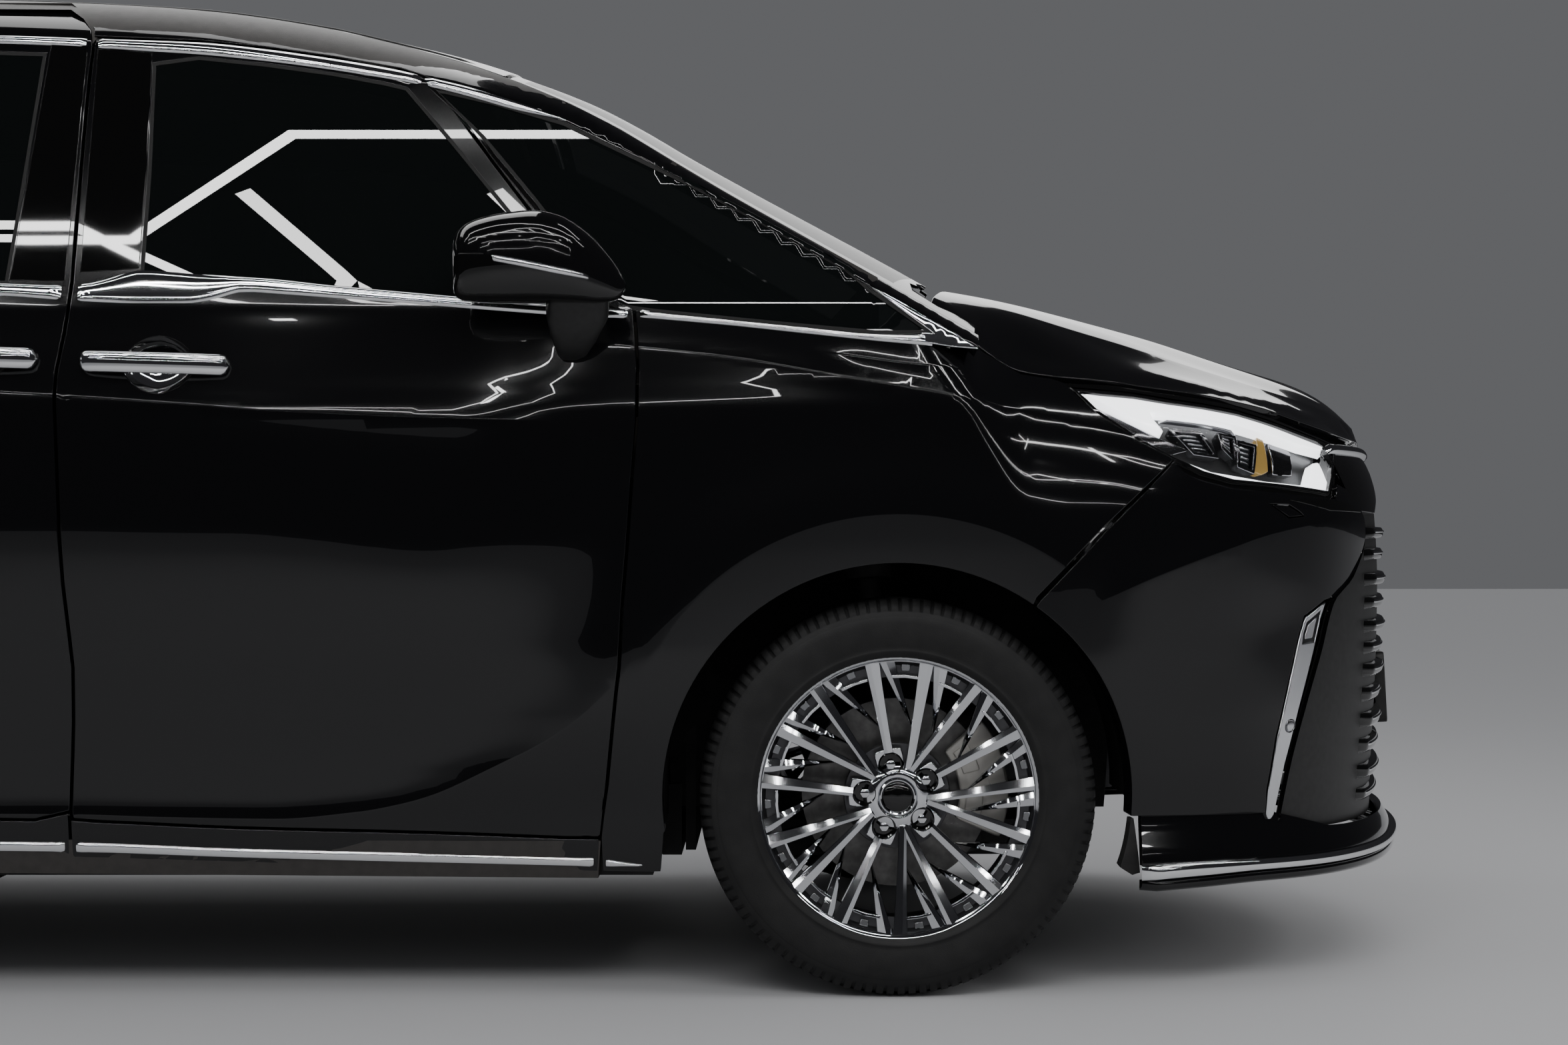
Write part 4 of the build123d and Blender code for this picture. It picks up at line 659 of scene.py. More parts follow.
def lathe(profile, n=64, axis="y", arc=(0.0, 360.0), flip=False, sharp=35.0):
    """Profile points (radius, along) turned round an axis; corners sharper than sharp are kept."""
    prof = [np.array(p, float) for p in profile]
    runs, cur = [], [prof[0]]
    for k in range(1, len(prof)):
        cur.append(prof[k])
        if k < len(prof) - 1:
            a, b = prof[k] - prof[k - 1], prof[k + 1] - prof[k]
            if np.linalg.norm(a) > 1e-9 and np.linalg.norm(b) > 1e-9:
                c = np.dot(a, b) / (np.linalg.norm(a) * np.linalg.norm(b))
                if math.degrees(math.acos(max(-1, min(1, c)))) > sharp:
                    runs.append(cur)
                    cur = [prof[k]]
    runs.append(cur)
    full = abs(arc[1] - arc[0] - 360) < 1e-6
    t = np.radians(np.linspace(arc[0], arc[1], n + (0 if full else 1), endpoint=not full))
    out = []
    for run in runs:
        pr = np.array(run)
        R, A = pr[:, 0], pr[:, 1]
        G = np.empty((len(t), len(pr), 3))
        c, s = np.cos(t)[:, None], np.sin(t)[:, None]
        if axis == "y":
            G[..., 0], G[..., 1], G[..., 2] = R * c, np.broadcast_to(A, (len(t), len(A))), R * s
        elif axis == "z":
            G[..., 0], G[..., 1], G[..., 2] = R * c, R * s, np.broadcast_to(A, (len(t), len(A)))
        else:
            G[..., 0], G[..., 1], G[..., 2] = np.broadcast_to(A, (len(t), len(A))), R * c, R * s
        out.append(grid(G, close_u=full, flip=flip))
    return join(out)


def join(chunks):
    Vs, Fs, Ns, b = [], [], [], 0
    for V, F, N in chunks:
        Vs.append(V)
        Ns.append(N)
        Fs += [tuple(i + b for i in f) for f in F]
        b += len(V)
    return np.concatenate(Vs), Fs, np.concatenate(Ns)


def tube(path, r, n=14, closed=False, squash=(1.0, 1.0), up=(0, 0, 1)):
    p = np.array(path, float)
    t = unit(np.gradient(p, axis=0)) if not closed else unit(np.roll(p, -1, 0) - np.roll(p, 1, 0))
    upv = np.array(up, float)
    a = unit(np.cross(t, upv))
    b = np.cross(a, t)
    ang = np.linspace(0, 2 * math.pi, n, endpoint=False)
    rr = np.broadcast_to(np.asarray(r, float), (len(p),))
    G = (p[:, None] + (a[:, None] * np.cos(ang)[None, :, None] * squash[0]
                       + b[:, None] * np.sin(ang)[None, :, None] * squash[1]) * rr[:, None, None])
    V, F, N = grid(G, close_u=closed, close_v=True)
    c = p.mean(0)
    if (N * (V - np.repeat(p, n, 0))).sum() < 0:
        F, N = [q[::-1] for q in F], -N
    if not closed:
        for end, ring in ((0, list(range(n))), (len(p) - 1, list(range((len(p) - 1) * n, len(p) * n)))):
            nd = -t[0] if end == 0 else t[-1]
            b0 = len(V)
            V = np.concatenate([V, V[ring], p[end][None]])
            N = np.concatenate([N, np.repeat(nd[None], n + 1, 0)])
            for k in range(n):
                q = (b0 + k, b0 + (k + 1) % n, b0 + n)
                e1, e2 = V[q[1]] - V[q[0]], V[q[2]] - V[q[0]]
                F.append(q if np.dot(np.cross(e1, e2), nd) > 0 else q[::-1])
    return V, F, N


def moved(chunk, R=None, t=(0, 0, 0)):
    V, F, N = chunk
    if R is not None:
        V, N = V @ np.asarray(R, float).T, N @ np.asarray(R, float).T
    return V + np.array(t, float), F, N


def flipped_y(chunk):
    V, F, N = chunk
    s = np.array([1, -1, 1.0])
    return V * s, [q[::-1] for q in F], N * s


def both(chunk):
    return join([chunk, flipped_y(chunk)])


TRIS = {}


class Piece:
    """One shown piece: chunks of mesh with their materials."""

    def __init__(self, name, body, slot=None, replaces=()):
        self.name, self.body, self.slot, self.replaces = name, body, slot, replaces
        self.chunks = []

    def add(self, chunk, mat):
        self.chunks.append((chunk, mat))
        return self

    def both(self, chunk, mat):
        self.chunks.append((chunk, mat))
        self.chunks.append((flipped_y(chunk), mat))
        return self

    def mirrored(self, name, body, replaces=()):
        p = Piece(name, body, self.slot, replaces)
        p.chunks = [(flipped_y(c), m) for c, m in self.chunks]
        return p

    def build(self):
        mats, Vs, Fs, Ns, ids, b = [], [], [], [], [], 0
        for (V, F, N), m in self.chunks:
            if m not in mats:
                mats.append(m)
            Vs.append(V)
            Ns.append(N)
            Fs += [tuple(int(i) + b for i in f) for f in F]
            ids += [mats.index(m)] * len(F)
            b += len(V)
        V, N = np.concatenate(Vs) * 0.001, np.concatenate(Ns)
        me = bpy.data.meshes.new(self.name)
        me.from_pydata(V.tolist(), [], Fs)
        for m in mats:
            me.materials.append(m)
        me.polygons.foreach_set("material_index", np.array(ids, np.int32))
        me.polygons.foreach_set("use_smooth", np.ones(len(Fs), bool))
        me.update()
        me.normals_split_custom_set_from_vertices(unit(N).tolist())
        ob = bpy.data.objects.new(self.name, me)
        bpy.context.scene.collection.objects.link(ob)
        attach(ob, self.body)
        if self.replaces:
            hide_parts(*self.replaces)
        TRIS[self.name] = sum(len(f) - 2 for f in Fs)
        return ob

# ------------------------------------------------------------ side skin with its creases
XF, XR, ZW = 1505.0, -1495.0, 362.0
SCOOP_L = Tab([(-1300, 352), (-1000, 342), (-500, 334), (5, 332), (177, 327), (375, 324),
               (529, 337), (596, 349), (661, 367), (776, 420), (890, 480), (996, 575),
               (1080, 700)])
SCOOP_H = Tab([(-1200, 540), (300, 540), (700, 440), (1000, 330)])
SCOOP_D = Tab([(-1250, 0), (-1080, 6), (-700, 17), (400, 19), (620, 17), (800, 10), (930, 4),
               (1040, 0), (1200, 0)])
C1 = Tab([(-2300, 1118), (-1500, 1140), (-1000, 1140), (-500, 1118), (-117, 1098), (-13, 1092),
          (244, 1074), (365, 1064), (593, 1053), (846, 1045), (936, 1041)])
C2 = Tab([(820, 1200), (995, 1184), (1206, 1161), (1399, 1127), (1589, 1095), (1747, 1063),
          (1898, 1027), (2000, 1000)])
C3 = Tab([(1300, 1178), (1399, 1167), (1525, 1150), (1653, 1140), (1760, 1112)])


def ridge(d, up, dn, h):
    s = np.where(d > 0, d / up, -d / dn)
    return h * np.exp(1 - np.sqrt(1 + 0.0) - (np.sqrt(s * s + 0.0016) - 0.04))


def details(x, z):
    d = np.zeros(np.broadcast(x, z).shape)
    # pressed hollow low on the doors, with a sharp lower edge
    t = (z - SCOOP_L(x)) / SCOOP_H(x)
    tt = np.clip(t, 0, 1)
    d = d - np.maximum(SCOOP_D(x), 0) * 6.75 * tt * (1 - tt) ** 2
    d = d + np.where(t < 0, -0.045 * (SCOOP_L(x) - z) * np.clip(SCOOP_D(x) / 17, 0, 1), 0)
    # shoulder lines
    f1 = sstep(-2150, -1900, x) * (1 - sstep(700, 940, x))
    d = d + f1 * ridge(z - C1(x), 60, 75, 7.0)
    f2 = sstep(800, 1000, x) * (1 - sstep(1800, 2000, x))
    d = d + f2 * ridge(z - C2(x), 60, 80, 7.0)
    f3 = sstep(1310, 1450, x) * (1 - sstep(1620, 1760, x))
    d = d + f3 * ridge(z - C3(x), 25, 30, 2.5)
    # arches: a swell, then a band turned in from the flare line
    for xc, rr in ((XF, 515.0), (XR, 512.0)):
        r = np.hypot(x - xc, z - ZW)
        f = sstep(330, 560, z)
        d = d + f * 8.0 * np.exp(-(np.maximum(r - rr, 0) / 120) ** 2)
        d = d - f * 0.05 * np.maximum(rr - r, 0)
    return d


SIDE_OFF = 3.0


def S_side(x, z):
    return np.stack([x, -(side(x, z) + details(x, z) + SIDE_OFF), z], -1)


def S_fender(x, z):
    return np.stack([x, -(fender(x, z) + details(x, z) + SIDE_OFF), z], -1)


def S_plain(x, z):
    return np.stack([x, -(side(x, z) + SIDE_OFF), z], -1)


OUT_R = (0.0, -1.0, 0.0)


def arc_pts(xc, zc, r, a0, a1, n=40):
    return [(xc + r * math.cos(math.radians(a0 + (a1 - a0) * k / n)),
             zc + r * math.sin(math.radians(a0 + (a1 - a0) * k / n))) for k in range(n + 1)]


def line_on(tab_, x0, x1, n=30):
    return [(x0 + (x1 - x0) * k / n, float(tab_(x0 + (x1 - x0) * k / n))) for k in range(n + 1)]


SHUT = [(3, 254), (2, 294), (6, 340), (8, 400), (12, 500), (13, 600), (8, 654), (-2, 751),
        (-8, 848), (-13, 977), (-17, 1087), (-15, 1139), (-5, 1200), (0, 1240), (4, 1300),
        (5, 1420), (6, 1520), (8, 1640), (10, 1700), (13, 1752)]
GAP = 5.5
SILL_LINE = Tab([(-1100, 338), (5, 324), (304, 311), (617, 303), (966, 290)])
FRONT_SHUT = [(1026, 1250), (1030, 1205), (1034, 1139), (1032, 1041), (1024, 945), (1015, 815),
              (1007, 719), (1001, 603), (996, 560), (978, 388), (967, 295)]
hg = GAP / 2
door_r = [(x + hg, z) for x, z in SHUT if z > 320]
DOOR = ([(x - hg, z) for x, z in FRONT_SHUT]
        + [(960, float(SILL_LINE(960)) + 2)] + line_on(SILL_LINE, 900, 60, 10)
        + [(8 + hg, float(SILL_LINE(8)) + 2)] + door_r
        + [(14 + hg, 1764), (100, 1761), (209, 1757), (334, 1744), (458, 1726), (584, 1703),
           (624, 1689), (640, 1682), (700, 1606), (760, 1524), (827, 1437), (880, 1372),
           (950, 1288)])
SLIDE_REAR = [(-1080, 1828), (-1110, 1790), (-1118, 1700), (-1116, 1250), (-1112, 1000),
              (-1100, 830), (-1068, 720), (-1050, 560), (-1044, 400), (-1040, 338)]
SLIDE = ([(x - hg, z) for x, z in SHUT if z > 320]
         + [(10 - hg, 1768), (4, 1782), (-14, 1803), (-46, 1826)]
         + [(x + hg, z) for x, z in SLIDE_REAR[:-1]]
         + [(-1040 + hg, float(SILL_LINE(-1040)) + 2)] + line_on(SILL_LINE, -950, -60, 10))
# window openings
W_FRONT = [(128, 1300), (130, 1500), (126, 1716), (210, 1728), (334, 1715), (461, 1697),
           (560, 1678), (600, 1668), (690, 1562), (806, 1420), (930, 1266), (840, 1250),
           (600, 1268), (480, 1280), (320, 1288), (235, 1300)]
W_SLIDE = [(-113, 1296), (-96, 1480), (-74, 1735), (-300, 1742), (-700, 1745), (-1060, 1742),
           (-1074, 1700), (-1078, 1310), (-1062, 1296)]
W_QF = [(650, 1664), (760, 1642), (892, 1602), (960, 1568), (1124, 1487), (1239, 1426),
        (1355, 1360), (1413, 1327), (1452, 1290), (1564, 1207), (1469, 1203), (1327, 1216),
        (1206, 1228), (1060, 1243), (985, 1254), (905, 1366), (836, 1456), (740, 1572)]
W_QR = [(-1170, 1300), (-1166, 1742), (-1900, 1733), (-2100, 1722), (-2150, 1690),
        (-2186, 1560), (-2210, 1400), (-2212, 1340), (-2190, 1300)]
FEN_TOP = [(1042, 1238), (1200, 1224), (1330, 1210), (1472, 1196), (1560, 1188), (1600, 1180),
           (1650, 1172)]

P_LINES = [line_on(C1, -2100, 930, 90), line_on(SCOOP_L, -1060, 1000, 70)]

# ---- front door
DOOR_L = [line_on(C1, 20, 930, 40), line_on(SCOOP_L, 20, 985, 40), line_on(C2, 830, 1020, 8)]
HC_F = (169.0, 1147.0)        # cup behind the handle


def cup_outline(cx, cz, rx=70.0, rz=52.0):
    return [(cx + rx * math.cos(a) * (1 - 0.12 * abs(math.sin(2 * a))),
             cz + rz * math.sin(a) * (1 - 0.05 * abs(math.sin(2 * a))))
            for a in np.linspace(0, 2 * math.pi, 40, endpoint=False)]


PITCH = 19.0
FL = 26.0
CUPF, CUPR = cup_outline(*HC_F), cup_outline(-172.0, 1156.0)


def cup(cx, cz, rx=70.0, rz=52.0, depth=24.0):
    """Hollow pressed in behind a handle."""
    G = []
    for k in range(41):
        a = 2 * math.pi * k / 40
        row = []
        for s in np.linspace(1.0, 0.0, 9):
            u = cx + rx * s * math.cos(a) * (1 - 0.12 * abs(math.sin(2 * a)))
            v = cz + rz * s * math.sin(a) * (1 - 0.05 * abs(math.sin(2 * a)))
            d = depth * (1 - s ** 2.6) ** 0.8
            p = S_side(np.array([u]), np.array([v]))[0]
            row.append(p + np.array([0, d, 0]))
        G.append(row)
    V, F, N = grid(np.array(G))
    if N[:, 1].mean() > 0:
        F, N = [q[::-1] for q in F], -N
    return V, F, N


# Splits a piece at height z: upper faces keep the paint, lower faces get chrome as a painted reflection of
# the lights above.
def split_z_painted_reflection(chunk, z):
    V, F, N = chunk
    low_ = [f for f in F if np.mean([V[i][2] for i in f]) < z]
    up_ = [f for f in F if np.mean([V[i][2] for i in f]) >= z]
    return ((V, up_, N), M_PAINT), ((V, low_, N), M_CHROME)


def handle(x0, x1, zc, tilt=0.0):
    """Bright bar standing off the skin, thicker and rounded at its ends."""
    n = 40
    G = []
    L = x1 - x0
    for k in range(n + 1):
        t = k / n
        x = x0 + L * t
        e = min(t, 1 - t) * L
        hw = 19.0 * math.sqrt(max(1 - max(0, 1 - e / 16.0) ** 2, 0.0)) + 0.4
        th = 9.5 * math.sqrt(max(1 - max(0, 1 - e / 12.0) ** 2, 0.0)) + 0.3
        z0 = zc + tilt * (x - (x0 + x1) / 2)
        ys = float(side(np.array(x), np.array(z0))) + float(details(np.array(x), np.array(z0))) + 3
        stand = 27.0 - 15.0 * (abs(2 * t - 1) ** 3)
        row = []
        for j in range(18):
            a = 2 * math.pi * j / 18
            ca, sa = math.cos(a), math.sin(a)
            # flat-topped section with a break line along it
            rz = hw * np.sign(sa) * abs(sa) ** 0.8
            ry = th * np.sign(ca) * abs(ca) ** 0.7
            row.append((x, -(ys + stand + ry), z0 + rz))
        G.append(row)
    V, F, N = grid(np.array(G), close_v=True)
    c = V.mean(0)
    if (N * (V - np.array([V[:, 0].mean(), c[1], c[2]]))).sum() < 0:
        F, N = [q[::-1] for q in F], -N
    feet = []
    for fx in (x0 + 20, x1 - 20):
        z0 = zc + tilt * (fx - (x0 + x1) / 2)
        ys = float(side(np.array(fx), np.array(z0)))
        feet.append(rbox((fx, -(ys + 8), z0), (30, 26, 24), 8))
    return join([(V, F, N)] + feet)


def S_pane(x, z):
    return np.stack([x, -(flat_side(z) - TAPER(x) + SIDE_OFF
                          - 30 * np.maximum(0, 1 - (side_top(x) - z) / 30.0) ** 2), z], -1)


def glass(poly, P=S_pane, off=-1.6, mirror=False):
    return panel([grown(poly, 6)], P, OUT_R, pitch=26, r=0.8, flange=3.0, off=off)


def seal(poly, w=6.0, P=S_side, h=1.2):
    """Black rubber round a window opening."""
    o, i = grown(poly, 2.0), grown(poly, -w)
    return panel([o], P, OUT_R, cut=[i], pitch=16, r=0.8, flange=5, off=-0.6)


BELT_T = [(-1118, 1302), (-700, 1301), (-300, 1299), (-127, 1297), (-1, 1293), (33, 1296),
          (80, 1308), (128, 1321), (180, 1318), (235, 1313), (357, 1306), (479, 1293), (600, 1282),
          (722, 1271), (845, 1259), (940, 1253), (1024, 1247)]
BELT_B = [(-1118, 1280), (-700, 1279), (-300, 1277), (-125, 1274), (-9, 1266), (60, 1262),
          (118, 1260), (214, 1260), (257, 1266), (286, 1274), (317, 1281), (400, 1276),
          (480, 1270), (601, 1261), (720, 1251), (845, 1241), (940, 1234), (1024, 1232)]
bt, bb = Tab(BELT_T), Tab(BELT_B)


def cut_strip(ta, tb, x0, x1, n=40):
    xs = np.linspace(x0, x1, n)
    return [(x, float(ta(x))) for x in xs], [(x, float(tb(x))) for x in xs]


ROOFC_T = Tab([(-2200, 1755), (-1900, 1764), (-1118, 1772), (-600, 1774), (-164, 1770), (10, 1764),
               (209, 1757), (334, 1744), (458, 1726), (584, 1703), (624, 1692), (712, 1670),
               (800, 1642), (900, 1605)])
ROOFC_B = Tab([(-2200, 1743), (-1900, 1749), (-1118, 1755), (-600, 1757), (-162, 1754),
               (12, 1746), (87, 1741), (211, 1733), (336, 1720), (461, 1703), (585, 1682),
               (630, 1673), (712, 1652), (800, 1626), (900, 1603)])


def chrome_between(x0, x1, ta, tb, h=3.2, n=None, P=S_side, tip=(True, True)):
    a, b = cut_strip(ta, tb, x0, x1, n or max(8, int(abs(x1 - x0) / 22)))
    return strip(a, b, P, OUT_R, h=h, tip=tip)


# inner side of a door: trim panel behind the skin
def door_inner(outline, win, depth):
    P = lambda x, z: np.stack([x, -(side(x, z) - depth), z], -1)
    return panel([grown(outline, -16)], P, OUT_R, cut=[win], pitch=44, r=4, flange=depth - 24,
                 back=True)


door = Piece("right_door_skin", "right_front_door", "body_paint",
             ("right_front_door",))
door.add(panel([DOOR], S_side, OUT_R, cut=[W_FRONT, CUPF], lines=DOOR_L, pitch=PITCH,
               flange=FL), M_PAINT)
# lower half of the handle cup in chrome: painted reflection
for c_, m_ in split_z_painted_reflection(cup(*HC_F), HC_F[1] - 10):
    door.add(c_, m_)
door.add(handle(28, 299, 1149, -0.028), M_CHROME)
door.add(seal(W_FRONT), M_SEAL)
door.add(chrome_between(11, 1020, bt, bb), M_CHROME)
door.add(chrome_between(17, 628, ROOFC_T, ROOFC_B), M_CHROME)
door.add(door_inner(DOOR, W_FRONT, 66), M_CABIN)
# upright applique and its divider ahead of the rear edge of the door's glass
door.add(panel([[(17, 1316), (19, 1500), (21, 1744), (124, 1737), (127, 1500), (125, 1324)]],
               S_side, OUT_R, pitch=40, r=1.5, flange=3, off=1.2), M_PIANO)
dooro = door.build()
door.mirrored("left_door_skin", "left_front_door", ("left_front_door",)).build()

dg = Piece("right_door_glass_pane", "right_front_door", "tinted_glass", ("right_front_door_glass",))
dg.add(glass(W_FRONT), M_GLASS)
dg.build()
dg.mirrored("left_door_glass_pane", "left_front_door", ("left_front_door_glass",)).build()

# ---- sliding door
slide = Piece("right_sliding_skin", "body_shell", "body_paint", ("right_sliding_door",))
slide.add(panel([SLIDE], S_side, OUT_R, cut=[W_SLIDE, CUPR],
                lines=[line_on(C1, -1090, -30, 40), line_on(SCOOP_L, -1030, -10, 40)],
                pitch=PITCH, flange=FL), M_PAINT)
# lower half of the handle cup in chrome: painted reflection
for c_, m_ in split_z_painted_reflection(cup(-172.0, 1156.0), 1146.0):
    slide.add(c_, m_)
slide.add(handle(-330, -48, 1160, -0.02), M_CHROME)
slide.add(seal(W_SLIDE), M_SEAL)
slide.add(chrome_between(-1112, -9, bt, bb), M_CHROME)
slide.add(chrome_between(-1112, 4, ROOFC_T, ROOFC_B), M_CHROME)
slide.add(door_inner(SLIDE, W_SLIDE, 66), M_CABIN)
slide.add(panel([[(-8, 1300), (-3, 1500), (3, 1750), (-66, 1753), (-90, 1500), (-110, 1302)]],
                S_side, OUT_R, pitch=40, r=1.5, flange=3, off=1.2), M_PIANO)
slide.build()
slide.mirrored("left_sliding_skin", "body_shell", ("left_sliding_door",)).build()

# ---- body side: rear quarter, cant rail, pillars, sill
top_line = [(x, float(side_top(x)) - 1) for x in np.linspace(-2262, 1655, 130)]
BODY = ([(-2262, 600), (-2056, 596), (-1984, 441), (-1936, 332)]
        + arc_pts(XR, ZW, 427, -4, -30, 2)[:1]
        + [(-1060, 262), (3, 254), (420, 241), (959, 228), (962, 290)]
        + [(1040, 1240)] + [(x, z + GAP) for x, z in FEN_TOP[1:]] + top_line[::-1])
ARCH_R = arc_pts(XR, ZW, 427, 0, 360, 120)[:-1]
body = Piece("body_side_skins", "body_shell", "body_paint", ("roof_panel",))
BODY_L = [line_on(C1, -2150, -1126, 36), arc_pts(XR, ZW, 512, 25, 158, 50)]
chunk = panel([BODY], S_side, OUT_R,
              cut=[grown(DOOR, GAP * 0.95), grown(SLIDE, GAP * 0.95), W_QF, W_QR, ARCH_R,
                   [(1, 200), (1, 330), (6, 330), (6, 200)]],
              lines=BODY_L, pitch=PITCH, flange=FL)
body.both(chunk, M_PAINT)
body.both(seal(W_QR), M_SEAL)
body.both(seal(W_QF, 7), M_SEAL)
body.both(chrome_between(-2205, -1122, Tab([(-2205, 1303), (-1118, 1302)]),
                         Tab([(-2205, 1283), (-1118, 1280)])), M_CHROME)
body.both(chrome_between(-2170, -1122, ROOFC_T, ROOFC_B), M_CHROME)
body.both(chrome_between(632, 898, ROOFC_T, ROOFC_B), M_CHROME)
# belt strip under the quarter glass, running into the bright corner ahead of it
B2T = Tab([(1032, 1248), (1206, 1230), (1327, 1218), (1469, 1205), (1566, 1203)])
B2B = Tab([(1032, 1234), (1206, 1218), (1327, 1205), (1469, 1190), (1566, 1182)])
body.both(chrome_between(1032, 1566, B2T, B2B), M_CHROME)
body.both(panel([[(1450, 1294), (1504, 1266), (1558, 1232), (1606, 1204), (1650, 1175),
                  (1601, 1179), (1558, 1186), (1540, 1190), (1548, 1206), (1568, 1204),
                  (1520, 1240)]], S_side, OUT_R, pitch=14, r=2.0, flange=6, off=3.0), M_CHROME)
# sill strip
SC_T = Tab([(-1060, 290), (4, 281), (303, 270), (617, 262), (955, 252)])
SC_B = Tab([(-1060, 272), (3, 263), (303, 253), (616, 244), (955, 236)])
body.both(chrome_between(8, 957, SC_T, SC_B, tip=(True, True)), M_CHROME)
body.both(chrome_between(-1050, -2, SC_T, SC_B), M_CHROME)
# groove of the sliding door's rail
body.both(panel([[(-1126, 1238), (-2120, 1232), (-2128, 1222), (-2120, 1212), (-1126, 1218)]],
                S_side, OUT_R, pitch=40, r=1, flange=2, off=0.8), M_SEAL)
# divider between the door and the front quarter glass
body.both(panel([[(632, 1674), (651, 1668), (742, 1570), (838, 1455), (905, 1366), (988, 1254),
                  (966, 1262), (888, 1372), (836, 1440), (768, 1524), (706, 1606)]],
                S_side, OUT_R, pitch=30, r=1.2, flange=4, off=0.6), M_PIANO)

# roof and its seams
TOPX = [x for x in np.linspace(-2262, 770, 70)]


def S_roof(x, y):
    return np.stack([x, y, roof(x, y) + SIDE_OFF * 0.6], -1)


ROOF_O = [(x, -float(TOP_Y(x)) + 2) for x in TOPX] + [(x, float(TOP_Y(x)) - 2) for x in TOPX[::-1]]
body.add(panel([ROOF_O], S_roof, (0, 0, 1), pitch=PITCH * 2, r=1.5, flange=12), M_PAINT)
for sy in (-1, 1):
    body.add(strip([(x, sy * (float(TOP_Y(x)) - 44)) for x in np.linspace(-2200, 740, 60)],
                   [(x, sy * (float(TOP_Y(x)) - 56)) for x in np.linspace(-2200, 740, 60)],
                   S_roof, (0, 0, 1), h=2.0, n=4, step=60), M_SEAL)
# roof aerial: a small fin
fin = []
for t in np.linspace(0, 1, 14):
    zb = 1908 + 44 * t
    xl, xr = -1695 - 125 * t ** 0.8, -1852 + 18 * max(0, t - 0.8) / 0.2
    w = 16 * (1 - t) ** 0.6 + 2.2
    fin.append([((xl + xr) / 2 + (xl - xr) / 2 * math.cos(a), w * math.sin(a), zb)
                for a in np.linspace(0, 2 * math.pi, 24, endpoint=False)])
V, F, N = grid(np.array(fin), close_v=True)
if (N * (V - V.mean(0))).sum() < 0:
    F, N = [q[::-1] for q in F], -N
body.add((V, F, N), M_PIANO)
body.build()

qg = Piece("fixed_side_glass", "body_shell", "tinted_glass", ("side_windows",))
for w in (W_QF, W_QR, W_SLIDE):
    qg.both(glass(w), M_GLASS)
qg.build()

# ---- windscreen
def S_ws(x, y):
    return np.stack([x, y, roof(x, y) - 1.5], -1)


wx = np.linspace(778, 1648, 40)


def ws_edge(x):
    return float(TOP_Y(x)) - 3.0


WS = ([(x, -ws_edge(x)) for x in wx] + [(1668, -600), (1676, -300), (1680, 0), (1676, 300), (1668, 600)]
      + [(x, ws_edge(x)) for x in wx[::-1]])
ws = Piece("windscreen_pane", "body_shell", "tinted_glass", ("windshield",))
band = [(x, -(ws_edge(x) - 46)) for x in np.linspace(806, 1500, 30)] + \
    [(1540, -560), (1566, -300), (1572, 0), (1566, 300), (1540, 560)] + \
    [(x, ws_edge(x) - 46) for x in np.linspace(1500, 806, 30)]
low = lambda u, v: roof(u, v) > hood_z(u, v) + 6
ws.add(panel([WS], S_ws, (0, 0, 1), pitch=PITCH * 1.6, r=1, flange=5, cut=[band], region=low),
       M_PIANO)
ws.add(panel([grown(band, 1)], S_ws, (0, 0, 1), pitch=PITCH * 1.8, r=0.5, flange=4, region=low),
       M_SCREEN)
ws.build()

# ---- fender
ARCH_F = arc_pts(XF, ZW, 427, 0, 360, 120)[:-1]
fb = [(1757, 723), (1807, 775), (1876, 848), (2008, 974)]
FEN = ([(966 + hg, 228), (964 + hg, 290), (969 + hg, 330)]
       + [(x + hg, z) for x, z in FRONT_SHUT[::-1][1:]]
       + FEN_TOP[:-1]
       + [(1622, 1211), (1668, 1176), (1734, 1136), (1791, 1128), (1814, 1120), (1845, 1086),
          (1868, 1064), (1911, 1035), (1950, 1008), (2005, 980)]
       + [(2005 - 4, 972), (1873, 852), (1803, 779), (1753, 727)]
       + [(1700, 600), (1600, 420), (1300, 330), (1080, 300), (1074, 227)])
fen = Piece("fender_skins", "body_shell", "body_paint", ("front_fenders",))
fen.both(panel([FEN], S_fender, OUT_R, cut=[ARCH_F],
               lines=[line_on(C2, 1040, 1960, 50), line_on(C3, 1330, 1740, 24),
                      arc_pts(XF, ZW, 515, 40, 143, 50), line_on(SCOOP_L, 1000, 1075, 6)],
               pitch=PITCH * 0.75, flange=60), M_PAINT)
fen.both(chrome_between(969, 1046, Tab([(960, 252), (1046, 240)]), Tab([(960, 236), (1046, 238)])),
         M_CHROME)
fen.build()

# ------------------------------------------------------------ front end, wrapped round by angle
XO, RU = 1900.0, 900.0


def _wrap(u, v):
    s, c = np.sin(u / RU), np.cos(u / RU)
    lo, hi = np.full(u.shape, 150.0), np.full(u.shape, 1250.0)
    for _ in range(26):
        mid = (lo + hi) / 2
        ins = front_f(XO + mid * s, mid * c, v) > 0
        lo, hi = np.where(ins, mid, lo), np.where(ins, hi, mid)
    return (lo + hi) / 2


WU, WV, WS_ = -760.0, 150.0, 8.0
_gu, _gv = np.meshgrid(WU + WS_ * np.arange(290), WV + WS_ * np.arange(128), indexing="ij")
W_TAB = _wrap(_gu, _gv)


